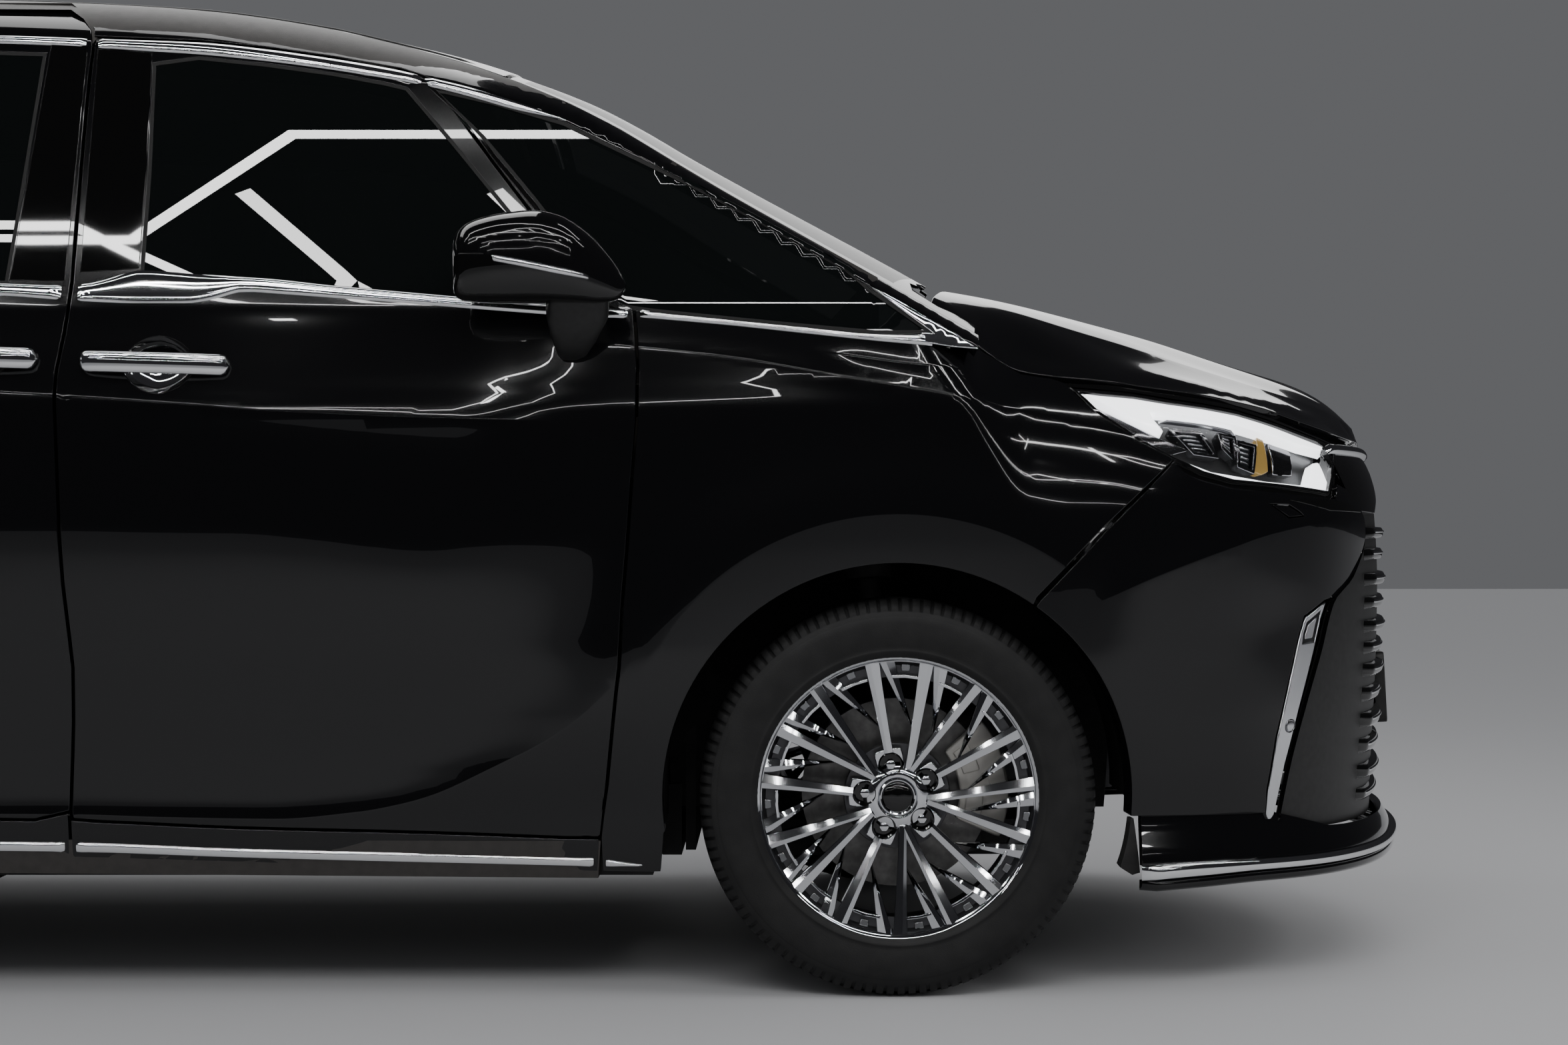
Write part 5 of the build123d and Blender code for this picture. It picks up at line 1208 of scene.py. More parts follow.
def wrap(u, v):
    """Skin of the front end; u runs round the plan from the side (0) to the middle (1414)."""
    u, v = np.broadcast_arrays(np.asarray(u, float), np.asarray(v, float))
    a, b = (u - WU) / WS_, (v - WV) / WS_
    i = np.clip(np.floor(a).astype(int), 1, W_TAB.shape[0] - 3)
    j = np.clip(np.floor(b).astype(int), 1, W_TAB.shape[1] - 3)
    a, b = a - i, b - j

    def w(t):
        return (-0.5 * t + t * t - 0.5 * t**3, 1 - 2.5 * t * t + 1.5 * t**3,
                0.5 * t + 2 * t * t - 1.5 * t**3, -0.5 * t * t + 0.5 * t**3)

    wa, wb = w(a), w(b)
    rho = sum(wa[m] * wb[n] * W_TAB[i + m - 1, j + n - 1] for m in range(4) for n in range(4))
    return XO + rho * np.sin(u / RU), rho * np.cos(u / RU)


GR_EDGE = [(300, 2216), (420, 2240), (520, 2268), (620, 2300), (714, 2330), (760, 2378),
           (836, 2412), (877, 2402), (905, 2374), (960, 2344), (1010, 2318), (1100, 2290)]
gr_x = Tab(GR_EDGE)


def uof(x, z):
    """u of the skin point at (x, z) on the side."""
    return RU * math.atan2(x - XO, float(wrap_y(x, z)))


def U(pts):
    return [(uof(x, z), z) for x, z in pts]


def front_rel(u, v):
    """Relief of the front end: plane breaks, grille recess."""
    x, y = wrap(u, v)
    d = np.zeros(x.shape)
    # upper plane of the bumper leans over the lower part along a break
    br = Tab([(1876, 721), (1970, 763), (2108, 814), (2191, 842), (2284, 862), (2398, 877)])(x)
    e = v - br
    up = sstep(1850, 1990, x)
    d = d + up * 5.0 * np.exp(-(np.sqrt((e / 55.0) ** 2 + 0.002) - 0.045)) * np.where(e > 0, 1, 1)
    d = d - up * 9.0 * sstep(0, 220, -e) * (1 - sstep(220, 520, -e))
    # dark wedge tucked under the lamp
    # line under the lamp for a dark wedge; worked out but not used
    le = Tab([(2229, 893), (2316, 892), (2399, 881)])(x)
    return d


S_FR_OFF = 3.0


def S_front(u, v):
    x, y = wrap(u, v)
    e = 2.0
    x2, y2 = wrap(np.asarray(u) + e, v)
    x1, y1 = wrap(np.asarray(u) - e, v)
    tx, ty = x2 - x1, y2 - y1
    n = np.maximum(np.hypot(tx, ty), 1e-6)
    nx, ny = -ty / n, tx / n                    # outwards in plan (y counted to the side)
    sg = np.where(nx * (x - XO) + ny * y < 0, -1, 1)
    o = (S_FR_OFF + front_rel(u, v)) * sg
    return np.stack([x + nx * o, -(y + ny * o), np.broadcast_to(v, x.shape)], -1)


OUT_F = (0.75, -0.65, 0.0)
LAMP = [(1822, 1112), (1881, 1108), (1944, 1103), (2007, 1093), (2071, 1085), (2138, 1074),
        (2205, 1056), (2278, 1034), (2352, 1010), (2335, 960), (2320, 912), (2242, 922),
        (2120, 933), (2062, 948), (2005, 974), (1950, 1003), (1911, 1030), (1868, 1060),
        (1846, 1084)]
LAMP_U = U(LAMP)
RADB = R_OUT = 427.0
low_r = [(2202, 313), (2240, 292), (2300, 284), (2380, 280)]
BUMP = ([(2005 + 3, 974), (1876 + 3, 846), (1807 + 3, 773), (1757 + 3, 721), (1700, 640)]
        + [(1800, 330), (1936, 326), (1954, 326), (2054, 325), (2150, 327), (2189, 324),
           (2190, 367), (2208, 464), (2233, 558), (2254, 641), (2268, 688), (2312, 716)])
BUMP_U = [(uof(x, z), z) for x, z in BUMP]
edge_up = [(uof(float(gr_x(z)), z), z) for z in (722, 745, 765, 800, 836, 862, 884, 905, 925)]
BUMP_U = BUMP_U + edge_up + [(uof(2338, 935), 935), (uof(2331, 906), 906)] + \
    U([(2242, 914), (2120, 925), (2058, 940), (2030, 952)])
ARCH_FU = [(uof(x, z), z) for x, z in arc_pts(XF, ZW, 427, -25, 75, 50)]
ARCH_CUT = [(-560, 100)] + ARCH_FU + [(-560, 900)]
wx0 = U([(2192, 896), (2229, 894), (2249, 882), (2259, 874), (2228, 871)])
bump = Piece("front_bumper_skin", "body_shell", "body_paint", ("front_bumper",))
br_line = U([(1880, 724), (1970, 763), (2108, 814), (2191, 842), (2284, 862), (2390, 876)])
bump.both(panel([BUMP_U], S_front, OUT_F, cut=[ARCH_CUT, grown(wx0, 1.2)],
                lines=[br_line], pitch=PITCH, flange=40), M_PAINT)
bump.both(panel([grown(wx0, -1.6)], S_front, OUT_F, pitch=14, r=1, flange=4), M_PAINT)
# dark wedge between the lamp and the upper face
wedge = U([(2229, 904), (2316, 884), (2392, 881), (2356, 902), (2330, 905)])
bump.both(panel([wedge], S_front, OUT_F, pitch=14, r=1, flange=3, off=1.6), M_PIANO)
# blade with its small lamp and sensor
BLADE = [(2314, 714), (2304, 683), (2288, 620), (2255, 515), (2225, 414), (2204, 320),
         (2198, 312), (2192, 312), (2189, 322), (2192, 367), (2210, 464), (2235, 558),
         (2256, 641), (2269, 684)]
BL_U = U(BLADE)
small = U([(2304, 698), (2296, 660), (2291, 640), (2264, 637), (2266, 655), (2273, 676)])
bump.both(panel([BL_U], S_front, OUT_F, cut=[small], pitch=14, r=2.4, flange=12, off=2.2),
          M_SATIN)
bump.both(panel([grown(small, 2)], S_front, OUT_F, pitch=12, r=0.8, flange=4, off=-7), M_TRIM)
bump.both(panel([grown(small, -7)], S_front, OUT_F, pitch=10, r=1.5, flange=9, off=0.5), M_SATIN)
bump.both(panel([grown(small, 0.5)], S_front, OUT_F, pitch=14, r=0.8, flange=3, off=1.2), M_LENS)
su, sv = uof(2236, 485), 485.0
sp = S_front(np.array([su]), np.array([sv]))[0]
sn = surf_normals(S_front, np.array([su]), np.array([sv]))[0]
sn = sn if sn[1] < 0 else -sn
rot = np.array(Vector((0, 0, 1)).rotation_difference(Vector(sn)).to_matrix())
disc = lathe([(0.01, 4), (8, 4), (9.6, 3.2), (10.4, 0)], 28, "z")
ring = lathe([(13.5, 3.0), (12.2, 4.4), (11, 3.0), (11, 0)], 28, "z")
bump.both(moved(disc, rot @ np.diag([0.8, 1, 1]), sp + sn * 0.5), M_SATIN)
bump.both(moved(ring, rot @ np.diag([0.8, 1, 1]), sp), M_DARKCH)
# lower edge: black apron, bright lip and the splitter under it
def S_low(u, v):
    x, y = wrap(u, np.full(np.shape(v), 300.0))
    v = np.broadcast_to(v, x.shape)
    f = sstep(300, 1414, u)
    o = 3.0 + (16 + 20 * f) * (1 - sstep(235, 330, v))
    n = np.hypot(x - XO, y)
    return np.stack([x + (x - XO) / n * o + 6 * f * (1 - sstep(235, 330, v)), -(y + y / n * o), v], -1)


us = [uof(x, 300) for x in (1950, 2000, 2080, 2150, 2200)] + list(np.linspace(420, 1414, 16))
us = sorted(set(round(float(q), 2) for q in us))
zt = lambda q: 328.0 - 38 * float(sstep(300, 520, q))
lt = Tab([(-60, 219), (60, 237), (160, 243), (300, 244), (900, 246), (1414, 256)])
lb = Tab([(-60, 203), (60, 205), (160, 210), (300, 217), (900, 222), (1414, 228)])
ap = [(q, zt(q)) for q in us] + [(q, float(lt(q))) for q in us[::-1]]
bump.both(panel([ap], S_low, OUT_F, pitch=PITCH, r=1, flange=14, off=-2.4), M_PAINT)
qs = np.linspace(us[0] + 4, 1414, 50)
bump.both(strip([(q, float(lt(q))) for q in qs], [(q, float(lb(q)) + 3) for q in qs], S_low,
                OUT_F, h=9, base=-16, step=22, n=8, tip=(True, False)), M_CHROME)
bump.both(strip([(q, float(lb(q)) + 3) for q in qs], [(q, float(lb(q)) - 16) for q in qs], S_low,
                OUT_F, h=3, base=-30, step=22, n=5, tip=(True, False)), M_PAINT)
# front corner fairing ahead of the tyre
bump.both(panel([U([(1800, 322), (1936, 322), (1950, 220), (1935, 216), (1800, 300)])], S_front,
                OUT_F, cut=[ARCH_CUT], pitch=30, r=1, flange=20), M_LINER)
bump.build()

# ------------------------------------------------------------ grille
Z_TOP, Z_BOT = 985.0, 288.0


def u_edge(z):
    return float(uof(float(gr_x(z)), z))


def S_gr(u, v, depth=0.0):
    x, y = wrap(u, v)
    n = np.hypot(x - XO, y)
    o = S_FR_OFF - depth
    return np.stack([x + (x - XO) / n * o, -(y + y / n * o), np.broadcast_to(v, x.shape)], -1)


gr = Piece("grille_face", "body_shell", "bright_chrome", ("front_grille",))
zs = np.linspace(Z_BOT, 1000, 34)
# backing, dark, set in
rows = []
for z in zs:
    ue = u_edge(z) - 3
    rows.append([S_gr(np.array([ue + (1414 - ue) * t]), np.array([z]), 13.0)[0]
                 for t in np.linspace(0, 1, 22)])
V, F, N = grid(np.array(rows))
if N[:, 0].mean() < 0:
    F, N = [q[::-1] for q in F], -N
gr.both((V, F, N), M_TRIM)
# return wall from the skin in to the backing
wall = []
for z in np.linspace(Z_BOT, 1000, 60):
    ue = u_edge(z)
    wall.append([S_gr(np.array([ue - 1]), np.array([z]), d)[0] for d in (-1, 4, 14)])
V, F, N = grid(np.array(wall))
if N[:, 0].mean() < 0:
    F, N = [q[::-1] for q in F], -N
gr.both((V, F, N), M_PIANO)
# upright shadow panels beside the grille: the bar field starts further in
bar_z = [(841, 13), (800, 13), (752, 14), (707, 14), (662, 14), (620, 14), (577, 15), (530, 17),
         (480, 17), (430, 17), (380, 16), (335, 14)]
for k, (z, h) in enumerate(bar_z):
    q0 = max(u_edge(z) + 14, 640)
    q = np.linspace(q0, 1414, 30)
    a = [(t, z + h) for t in q]
    b = [(t, z - h) for t in q]
    gr.both(strip(a, b, lambda u, v: S_gr(u, v, 24.0), OUT_F, h=25 if k % 2 == 0 else 21, base=4,
                  step=26, n=8, power=0.22, tip=(True, False)), M_PIANO)
    q = np.linspace(q0 + 34, 1414, 30)
    gr.both(strip([(t, z + h * 0.5) for t in q], [(t, z - h * 0.25) for t in q],
                  lambda u, v: S_gr(u, v, 24.0), OUT_F, h=27 if k % 2 == 0 else 23, base=19,
                  step=26, n=6, power=0.3, tip=(True, False)), M_CHROME)
# bright frame line round the top edge, running forward and down from the lamp
fr = [(u_edge(z) + 2, z) for z in (905, 925, 950, 975, 1000)]
q = np.linspace(u_edge(1005), 1414, 26)
ztop = lambda t: 1000 - 10 * float(sstep(u_edge(1005), 1414, t))
gr.both(strip([(t, ztop(t) + 9) for t in q], [(t, ztop(t) - 7) for t in q], S_gr, OUT_F, h=9,
              base=-14, step=22, n=7, tip=(True, False)), M_CHROME)
gr.both(panel([[(u_edge(908), 908), (u_edge(950), 950), (u_edge(1000), 1000), (900, 992),
                (900, 960), (820, 905), (760, 880), (u_edge(884) + 4, 884)]], S_gr, OUT_F,
              pitch=30, r=1, flange=10, off=-3), M_PIANO)
# plate holder, blank
def S_pl(y, z):
    return np.stack([2548.0 + (z - 524) * -0.055 - 14 * (y / 250.0) ** 2, y, z], -1)


gr.add(panel([[(-236, 452), (236, 452), (242, 458), (242, 590), (236, 596), (-236, 596),
               (-242, 590), (-242, 458)]], S_pl, (1, 0, 0), pitch=60, r=2, flange=20), M_TRIM)
gr.add(panel([[(-220, 466), (220, 466), (220, 582), (-220, 582)]], S_pl, (1, 0, 0), pitch=60,
             r=1.5, flange=2, off=2.5), M_SATIN)
gr.build()

# ------------------------------------------------------------ lamps
lamp = Piece("headlamp_faces", "body_shell", "lamp_clear", ("headlamps",))


def L(depth):
    def f(u, v):
        p = S_front(u, v)
        n = unit(np.stack([p[..., 0] - XO + 260, p[..., 1], np.zeros(p.shape[:-1])], -1))
        return p - n * depth
    return f


lamp.both(panel([grown(LAMP_U, -4)], S_front, OUT_F, pitch=16, r=1.5, flange=12, off=0.4), M_LENS)
lamp.both(panel([grown(LAMP_U, 1)], L(52), OUT_F, pitch=30, r=1, flange=2), M_TRIM)
# side walls of the bowl
wl = np.array(grown(LAMP_U, -1))
W0 = S_front(wl[:, 0], wl[:, 1])
W1 = L(52)(wl[:, 0], wl[:, 1])
V, F, N = grid(np.stack([W0, W1], 1), close_u=True)
c = W0.mean(0)
if (N * (V - c)).sum() > 0:
    F, N = [q[::-1] for q in F], -N
lamp.both((V, F, N), M_PIANO)
# dark border
inner = grown(LAMP_U, -9)
lamp.both(panel([grown(LAMP_U, -2)], S_front, OUT_F, cut=[inner], pitch=14, r=0.8, flange=6,
                off=-1.0), M_PIANO)
lamp.both(panel([grown(LAMP_U, 14)], S_front, OUT_F, cut=[grown(LAMP_U, -5)], pitch=14, r=0.8,
                flange=6, off=-6.0), M_PIANO)
# upper guide: wide wedge at the back, thin at the front
UPG = U([(1842, 1102), (1881, 1099), (1944, 1094), (2007, 1084), (2071, 1076), (2138, 1065),
         (2205, 1047), (2278, 1024), (2340, 1004), (2332, 996), (2278, 1006), (2205, 1026),
         (2138, 1043), (2071, 1055), (2010, 1063), (1974, 1066), (1981, 1050), (1997, 1029),
         (1985, 1026), (1950, 1046), (1900, 1075)])
LOG = U([(1868, 1057), (1880, 1062), (1934, 1024), (2008, 982), (2084, 954.5), (2189, 938),
         (2262, 931.5), (2282, 936), (2289, 954), (2296, 974), (2308, 976), (2322, 944),
         (2334, 915), (2246, 925.5), (2189, 931.5), (2120, 940), (2062, 951), (2005, 976),
         (1950, 1008), (1911, 1036)])
for g in (UPG, LOG):
    lamp.both(panel([g], L(9), OUT_F, pitch=12, r=3.0, flange=18, off=0), M_BULB)
# grey trim wedge between the two guides
lamp.both(panel([U([(1838, 1092), (1990, 1018), (2050, 994), (2010, 984), (1936, 1020),
                    (1876, 1062)])], L(22), OUT_F, pitch=14, r=1.5, flange=12), M_DARKCH)
for pts in (((2016, 1032), (2074, 1028), (2104, 983), (2059, 989)),
            ((2110, 1026), (2142, 1021), (2141, 975), (2116, 1000)),
            ((2147, 1013), (2183, 1005), (2175, 955), (2146, 966))):
    o = U(pts)
    lamp.both(panel([grown(o, 3)], L(20), OUT_F, cut=[grown(o, -4)], pitch=10, r=1.5, flange=22),
              M_DARKCH)
    lamp.both(panel([grown(o, -4)], L(30), OUT_F, pitch=10, r=2.5, flange=12), M_DISPLAY)
    a, b = np.array(o[0]), np.array(o[1])
    c, d = np.array(o[3]), np.array(o[2])
    for t in (0.22, 0.4, 0.58, 0.76):
        p, q_ = a + (c - a) * t, b + (d - b) * t
        w = (q_ - p) * 0.14
        lamp.both(strip([tuple(p + w + (0, 2.0)), tuple(q_ - w + (0, 2.0))],
                        [tuple(p + w - (0, 2.0)), tuple(q_ - w - (0, 2.0))], L(28), OUT_F, h=2.5,
                        base=-3, step=8, n=4), M_SATIN)
lamp.both(strip(U([(1998, 1052), (2040, 1048), (2090, 1042), (2150, 1030)]),
                U([(1998, 1048), (2040, 1044), (2090, 1038), (2150, 1026)]), L(24), OUT_F, h=3,
                base=-6, step=14, n=4), M_SATIN)
lamp.both(panel([U([(2192, 1022), (2206, 1016), (2210, 956), (2196, 950), (2180, 956)])], L(26),
                OUT_F, pitch=12, r=2, flange=20), M_AMBER)
lamp.both(panel([U([(2222, 1012), (2270, 996), (2268, 948), (2226, 950)])], L(34), OUT_F,
                pitch=14, r=3, flange=14), M_DARKCH)
lamp.build()

# ------------------------------------------------------------ hood
def edge_pts(n=60):
    xs = np.linspace(1560, 2478, n)
    return [(float(x), -(float(HOOD_EDGE_Y(x)) - 3)) for x in xs]


def S_hood(x, y):
    a = np.abs(y)
    z = hood_z(x, y)
    # near crest and the flatter facet inside it
    yc = Tab([(1560, 640), (1800, 610), (2050, 560), (2250, 480), (2480, 330)])(x)
    f = sstep(1600, 1760, x) * (1 - 0.5 * sstep(2250, 2450, x))
    d = a - yc
    z = z + f * 5.0 * np.exp(-(np.sqrt((d / 60.0) ** 2 + 0.003) - 0.055))
    # blend down on to the edge with the fender
    ye, ze = HOOD_EDGE_Y(x), HOOD_EDGE_Z(x)
    zz = hood_z(x, ye)
    w = sstep(-70, 0, a - ye)
    z = z + (ze - zz) * w
    return np.stack([x, y, z + SIDE_OFF], -1)


back = [(1560 + 90 * (1 - abs(y) / 775.0) ** 0.6 if abs(y) < 775 else 1560, y)
        for y in np.linspace(-774, 774, 40)]
front = [(2478 + 26 * (1 - (abs(y) / 238.0) ** 2), y) for y in np.linspace(-236, 236, 12)]
HOODO = edge_pts() + front + [(x, -y) for x, y in edge_pts()[::-1]] + back[::-1]
hood = Piece("hood_skin", "hood", "body_paint", ("hood",))
crest = [(float(x), -float(Tab([(1560, 640), (1800, 610), (2050, 560), (2250, 480),
                                 (2480, 330)])(x))) for x in np.linspace(1640, 2440, 40)]
hood.add(panel([HOODO], S_hood, (0, 0, 1), lines=[crest, [(x, -y) for x, y in crest]],
               pitch=PITCH * 1.3, r=2, flange=20), M_PAINT)


def S_hin(x, y):
    p = S_hood(x, y)
    return p - np.array([0, 0, 46.0])


hood.add(panel([grown(HOODO, -40)], S_hin, (0, 0, 1), pitch=60, r=3, flange=26, back=True,
               cut=[[(1720, -520), (1900, -500), (1880, -60), (1740, -60)],
                    [(1720, 520), (1900, 500), (1880, 60), (1740, 60)],
                    [(1960, -480), (2140, -440), (2180, -60), (1960, -60)],
                    [(1960, 480), (2140, 440), (2180, 60), (1960, 60)]]), M_TRIM)
hood.build()

# ------------------------------------------------------------ mirror
mir = Piece("right_mirror_shell", "right_front_door", "body_paint", ("right_mirror",))
MT = Tab([(716, 1366), (730, 1384), (760, 1398), (810, 1408), (858, 1412), (900, 1404), (950, 1374),
          (988, 1334), (1011, 1300), (1018, 1284)])
MB = Tab([(716, 1262), (730, 1254), (800, 1250), (900, 1249), (960, 1248), (1000, 1254),
          (1013, 1264), (1018, 1276)])
MY = Tab([(716, 36), (740, 60), (800, 80), (860, 86), (920, 78), (970, 48), (1005, 20), (1018, 5)])
YC = 1043.0
G = []
xs = np.r_[716.0, np.linspace(719, 1012, 40), 1016, 1018]
for x in xs:
    t, b, w = float(MT(x)), float(MB(x)), float(MY(x))
    if x == 716.0:
        w *= 0.72
        m_ = (t + b) / 2
        t, b = m_ + (t - m_) * 0.9, m_ + (b - m_) * 0.9
    cz, hz = (t + b) / 2, (t - b) / 2
    row = []
    for k in range(44):
        a = 2 * math.pi * k / 44
        ca, sa = math.cos(a), math.sin(a)
        z = cz + hz * np.sign(sa) * abs(sa) ** 0.74
        row.append((x, -(YC + w * np.sign(ca) * abs(ca) ** 0.62), z))
    G.append(row)
G = np.array(G)
V, F, N = grid(G, close_v=True)
c = V.mean(0)
if (N * (V - c)).sum() < 0:
    F, N = [q[::-1] for q in F], -N
top = lambda f: np.mean([V[i][2] for i in f]) > 1322 - 0.21 * (np.mean([V[i][0] for i in f]) - 783)
mir.add((V, [f for f in F if top(f)], N), M_PAINT)
mir.add((V, [f for f in F if not top(f)], N), M_PIANO)
# mirror glass at the back, in its bezel
ring_ = G[0]
cen = ring_.mean(0)
R1 = cen + (ring_ - cen) * 0.93
R2 = cen + (ring_ - cen) * 0.90 + np.array([10, 0, 0])
V, F, N = grid(np.array([ring_, R1, R2]), close_v=True)
if N[:, 0].mean() > 0:
    F, N = [q[::-1] for q in F], -N
mir.add((V, F, N), M_PIANO)
V = np.r_[R2, cen[None] + np.array([[10, 0, 0]])]
F = [(k, (k + 1) % 44, 44) for k in range(44)]
N = face_normals(V, F)
if N[:, 0].mean() > 0:
    F, N = [q[::-1] for q in F], -N
mir.add((V, F, N), M_SATIN)
# repeater strip and the bright line at the break
ms = [(float(x), 1.0) for x in np.linspace(770, 1000, 12)]


def S_mir(x, z):
    t, b, w = MT(x), MB(x), MY(x)
    cz, hz = (t + b) / 2, (t - b) / 2
    s = np.clip((z - cz) / np.maximum(hz, 1), -0.98, 0.98)
    sa = np.sign(s) * np.abs(s) ** (1 / 0.74)
    ca = np.sqrt(np.maximum(1 - sa * sa, 0.0004))
    return np.stack([x, -(YC + w * ca ** 0.62), z + 0 * x], -1)


mir.add(strip([(786, 1329), (840, 1319), (900, 1307), (960, 1294)],
              [(790, 1317), (840, 1307), (900, 1295), (960, 1285)], S_mir, OUT_R, h=3.0, step=8,
              n=6), M_CHROME)
mir.add(strip([(722, 1333), (780, 1331)], [(722, 1330), (780, 1328)], S_mir, OUT_R, h=1.4,
              step=8, n=3), M_SEAL)
# stalk
st = []
for y, cx, cz, hx, hz in ((-1058, 938, 1268, 50, 14), (-1030, 932, 1244, 56, 40),
                          (-985, 923, 1226, 44, 56), (-955, 918, 1214, 34, 58),
                          (-928, 911, 1206, 26, 52), (-914, 905, 1204, 27, 56)):
    st.append([(cx + hx * np.sign(math.cos(a)) * abs(math.cos(a)) ** 0.6, y,
                cz + hz * np.sign(math.sin(a)) * abs(math.sin(a)) ** 0.6)
               for a in np.linspace(0, 2 * math.pi, 28, endpoint=False)])
V, F, N = grid(np.array(st), close_v=True)
if (N * (V - np.array([938, V[:, 1].mean(), 1222]))).sum() < 0:
    F, N = [q[::-1] for q in F], -N
mir.add((V, F, N), M_TRIM)
mir.build()
mir.mirrored("left_mirror_shell", "left_front_door", ("left_mirror",)).build()

# ------------------------------------------------------------ wheels (local: axis y, outside -y)
def pol(r, a):
    return np.array([r * math.cos(math.radians(a)), r * math.sin(math.radians(a))])


def taper(p0, p1, w0, w1, ext=0.0):
    t = (p1 - p0) / np.linalg.norm(p1 - p0)
    n = np.array([-t[1], t[0]])
    return [tuple(p) for p in (p0 + n * w0, p0 - n * w0, p1 - n * w1 + t * ext, p1 + n * w1 + t * ext)]


FACE = Tab([(0, 80), (50, 81), (90, 84), (150, 88), (210, 93), (256, 97)])


def S_face(u, v):
    return np.stack([u, -FACE(np.hypot(u, v)), v], -1)


def S_back(d):
    return lambda u, v: np.stack([u, -FACE(np.hypot(u, v)) + d, v], -1)


A0, A1 = pol(82, 101.5), pol(253, 101)
B0, B1 = pol(55, 67.5), pol(253, 78)
C0, C1_ = pol(55, 64.5), pol(253, 55)


def on(p0, p1, r):
    lo, hi = 0.0, 1.0
    for _ in range(30):
        m = (lo + hi) / 2
        if np.linalg.norm(p0 + (p1 - p0) * m) < r:
            lo = m
        else:
            hi = m
    q = p0 + (p1 - p0) * lo
    return math.degrees(math.atan2(q[1], q[0]))


def face_out(chunk, v=(0, -1, 0)):
    V, F, N = chunk
    if (N * np.array(v, float)).sum() < 0:
        return V, [q[::-1] for q in F], -N
    return chunk


def spoke(p0, p1, w0, w1, h=2.4, ridge=0.2, back=0.0, depth=24.0, n=9, power=1.5):
    """A bar with two sloping faces that meet in a sharp ridge."""
    t = (p1 - p0) / np.linalg.norm(p1 - p0)
    nr = np.array([-t[1], t[0]])
    s = np.linspace(0, 1, n)[:, None]
    P = p0 + (p1 - p0) * s
    w = w0 + (w1 - w0) * s ** power

    def row(q, dy):
        return np.stack([q[:, 0], -FACE(np.hypot(q[:, 0], q[:, 1])) + back + dy, q[:, 1]], 1)

    def lift(q):
        return q + np.array([0, depth, 0])

    L, R, M = row(P + nr * w, h), row(P - nr * w, h), row(P + nr * w * ridge, 0.0)
    L2, R2 = row(P + nr * (w + 0.7), h + 1.4), row(P - nr * (w + 0.7), h + 1.4)
    n3 = (nr[0], 0, nr[1])
    out = [face_out(grid(np.stack([L, M], 1))), face_out(grid(np.stack([M, R], 1))),
           face_out(grid(np.stack([L2, L], 1))), face_out(grid(np.stack([R, R2], 1))),
           face_out(grid(np.stack([L2, lift(L2)], 1)), n3),
           face_out(grid(np.stack([R2, lift(R2)], 1)), tuple(-k for k in n3))]
    end = np.stack([[L2[0], L[0], M[0], R[0], R2[0]],
                    [lift(L2)[0], lift(L)[0], lift(M)[0], lift(R)[0], lift(R2)[0]]], 0)
    out.append(face_out(grid(end), (-t[0], 0, -t[1])))
    return join(out)


sector = []
for p0, p1, w0, w1, rd in ((A0, A1, 7.6, 13.0, .25), (B0, B1, 6.6, 12.5, -.3),
                           (C0, C1_, 6.6, 12.5, .3)):
    sector.append(spoke(p0, p1, w0, w1, 2.6, rd))
nxt_a = (on(B0, B1, 134), on(C0, C1_, 134), 29.0)
for (root, a2) in zip((101, 78, 55), nxt_a):
    p0, p1 = pol(130, a2 + 3.2), pol(252, root - 6.2)
    sector.append(spoke(p0, p1, 0.8, 13.5, 4.6, 0.15, back=3.0, depth=20, power=1.15))
blocks, webs = [], []
for root, nx_ in ((101, 78), (78, 55), (55, 29)):
    am = (nx_ + 4.2 + root - 10.2) / 2
    q = [tuple(pol(r, am + d)) for r, d in ((230, -1.9), (243, -2.1), (243, 2.1), (230, 1.9))]
    blocks.append(panel([q], S_back(10), OUT_R, pitch=12, r=2.0, flange=8))
    q = [tuple(pol(r, am + d)) for r, d in ((217.5, -6.5), (223.0, -6.5), (223.4, 0),
                                            (223.0, 6.5), (217.5, 6.5), (217.8, 0))]
    webs.append(panel([q], S_back(2.5), OUT_R, pitch=12, r=1.2, flange=14))


def turn(poly, k):
    c, s = math.cos(math.radians(72 * k)), math.sin(math.radians(72 * k))
    return [(x * c - y * s, x * s + y * c) for x, y in poly]


def circ(r, n=96):
    return [tuple(pol(r, 360.0 * k / n)) for k in range(n)]


def rotk(k):
    # turns (x, z) by +72k seen from the right
    c, s = math.cos(math.radians(72 * k)), math.sin(math.radians(72 * k))
    return np.array([[c, 0, -s], [0, 1, 0], [s, 0, c]])


sec = join(sector + webs)
spokes = join([moved(sec, rotk(k)) for k in range(5)])
blockc = join([moved(join(blocks), rotk(k)) for k in range(5)])
ringp = face_out(lathe([(245.5, -82), (247.5, -94.6), (250, -96.8), (256, -97.4)], 160, flip=True))
# floor ring behind the spoke gaps near the rim, drawn in the near-black alloy as painted shade
pfloor = face_out(lathe([(219, -74), (250, -76)], 120, flip=True))


def hub_r(a):
    """Outline of the hub plate: a broad lobe round each nut."""
    d = abs((a - 30 + 36) % 72 - 36)
    return 89.5 if d <= 17 else 89.5 + (52 - 89.5) * min(1.0, (d - 17) / 9.0) ** 0.8


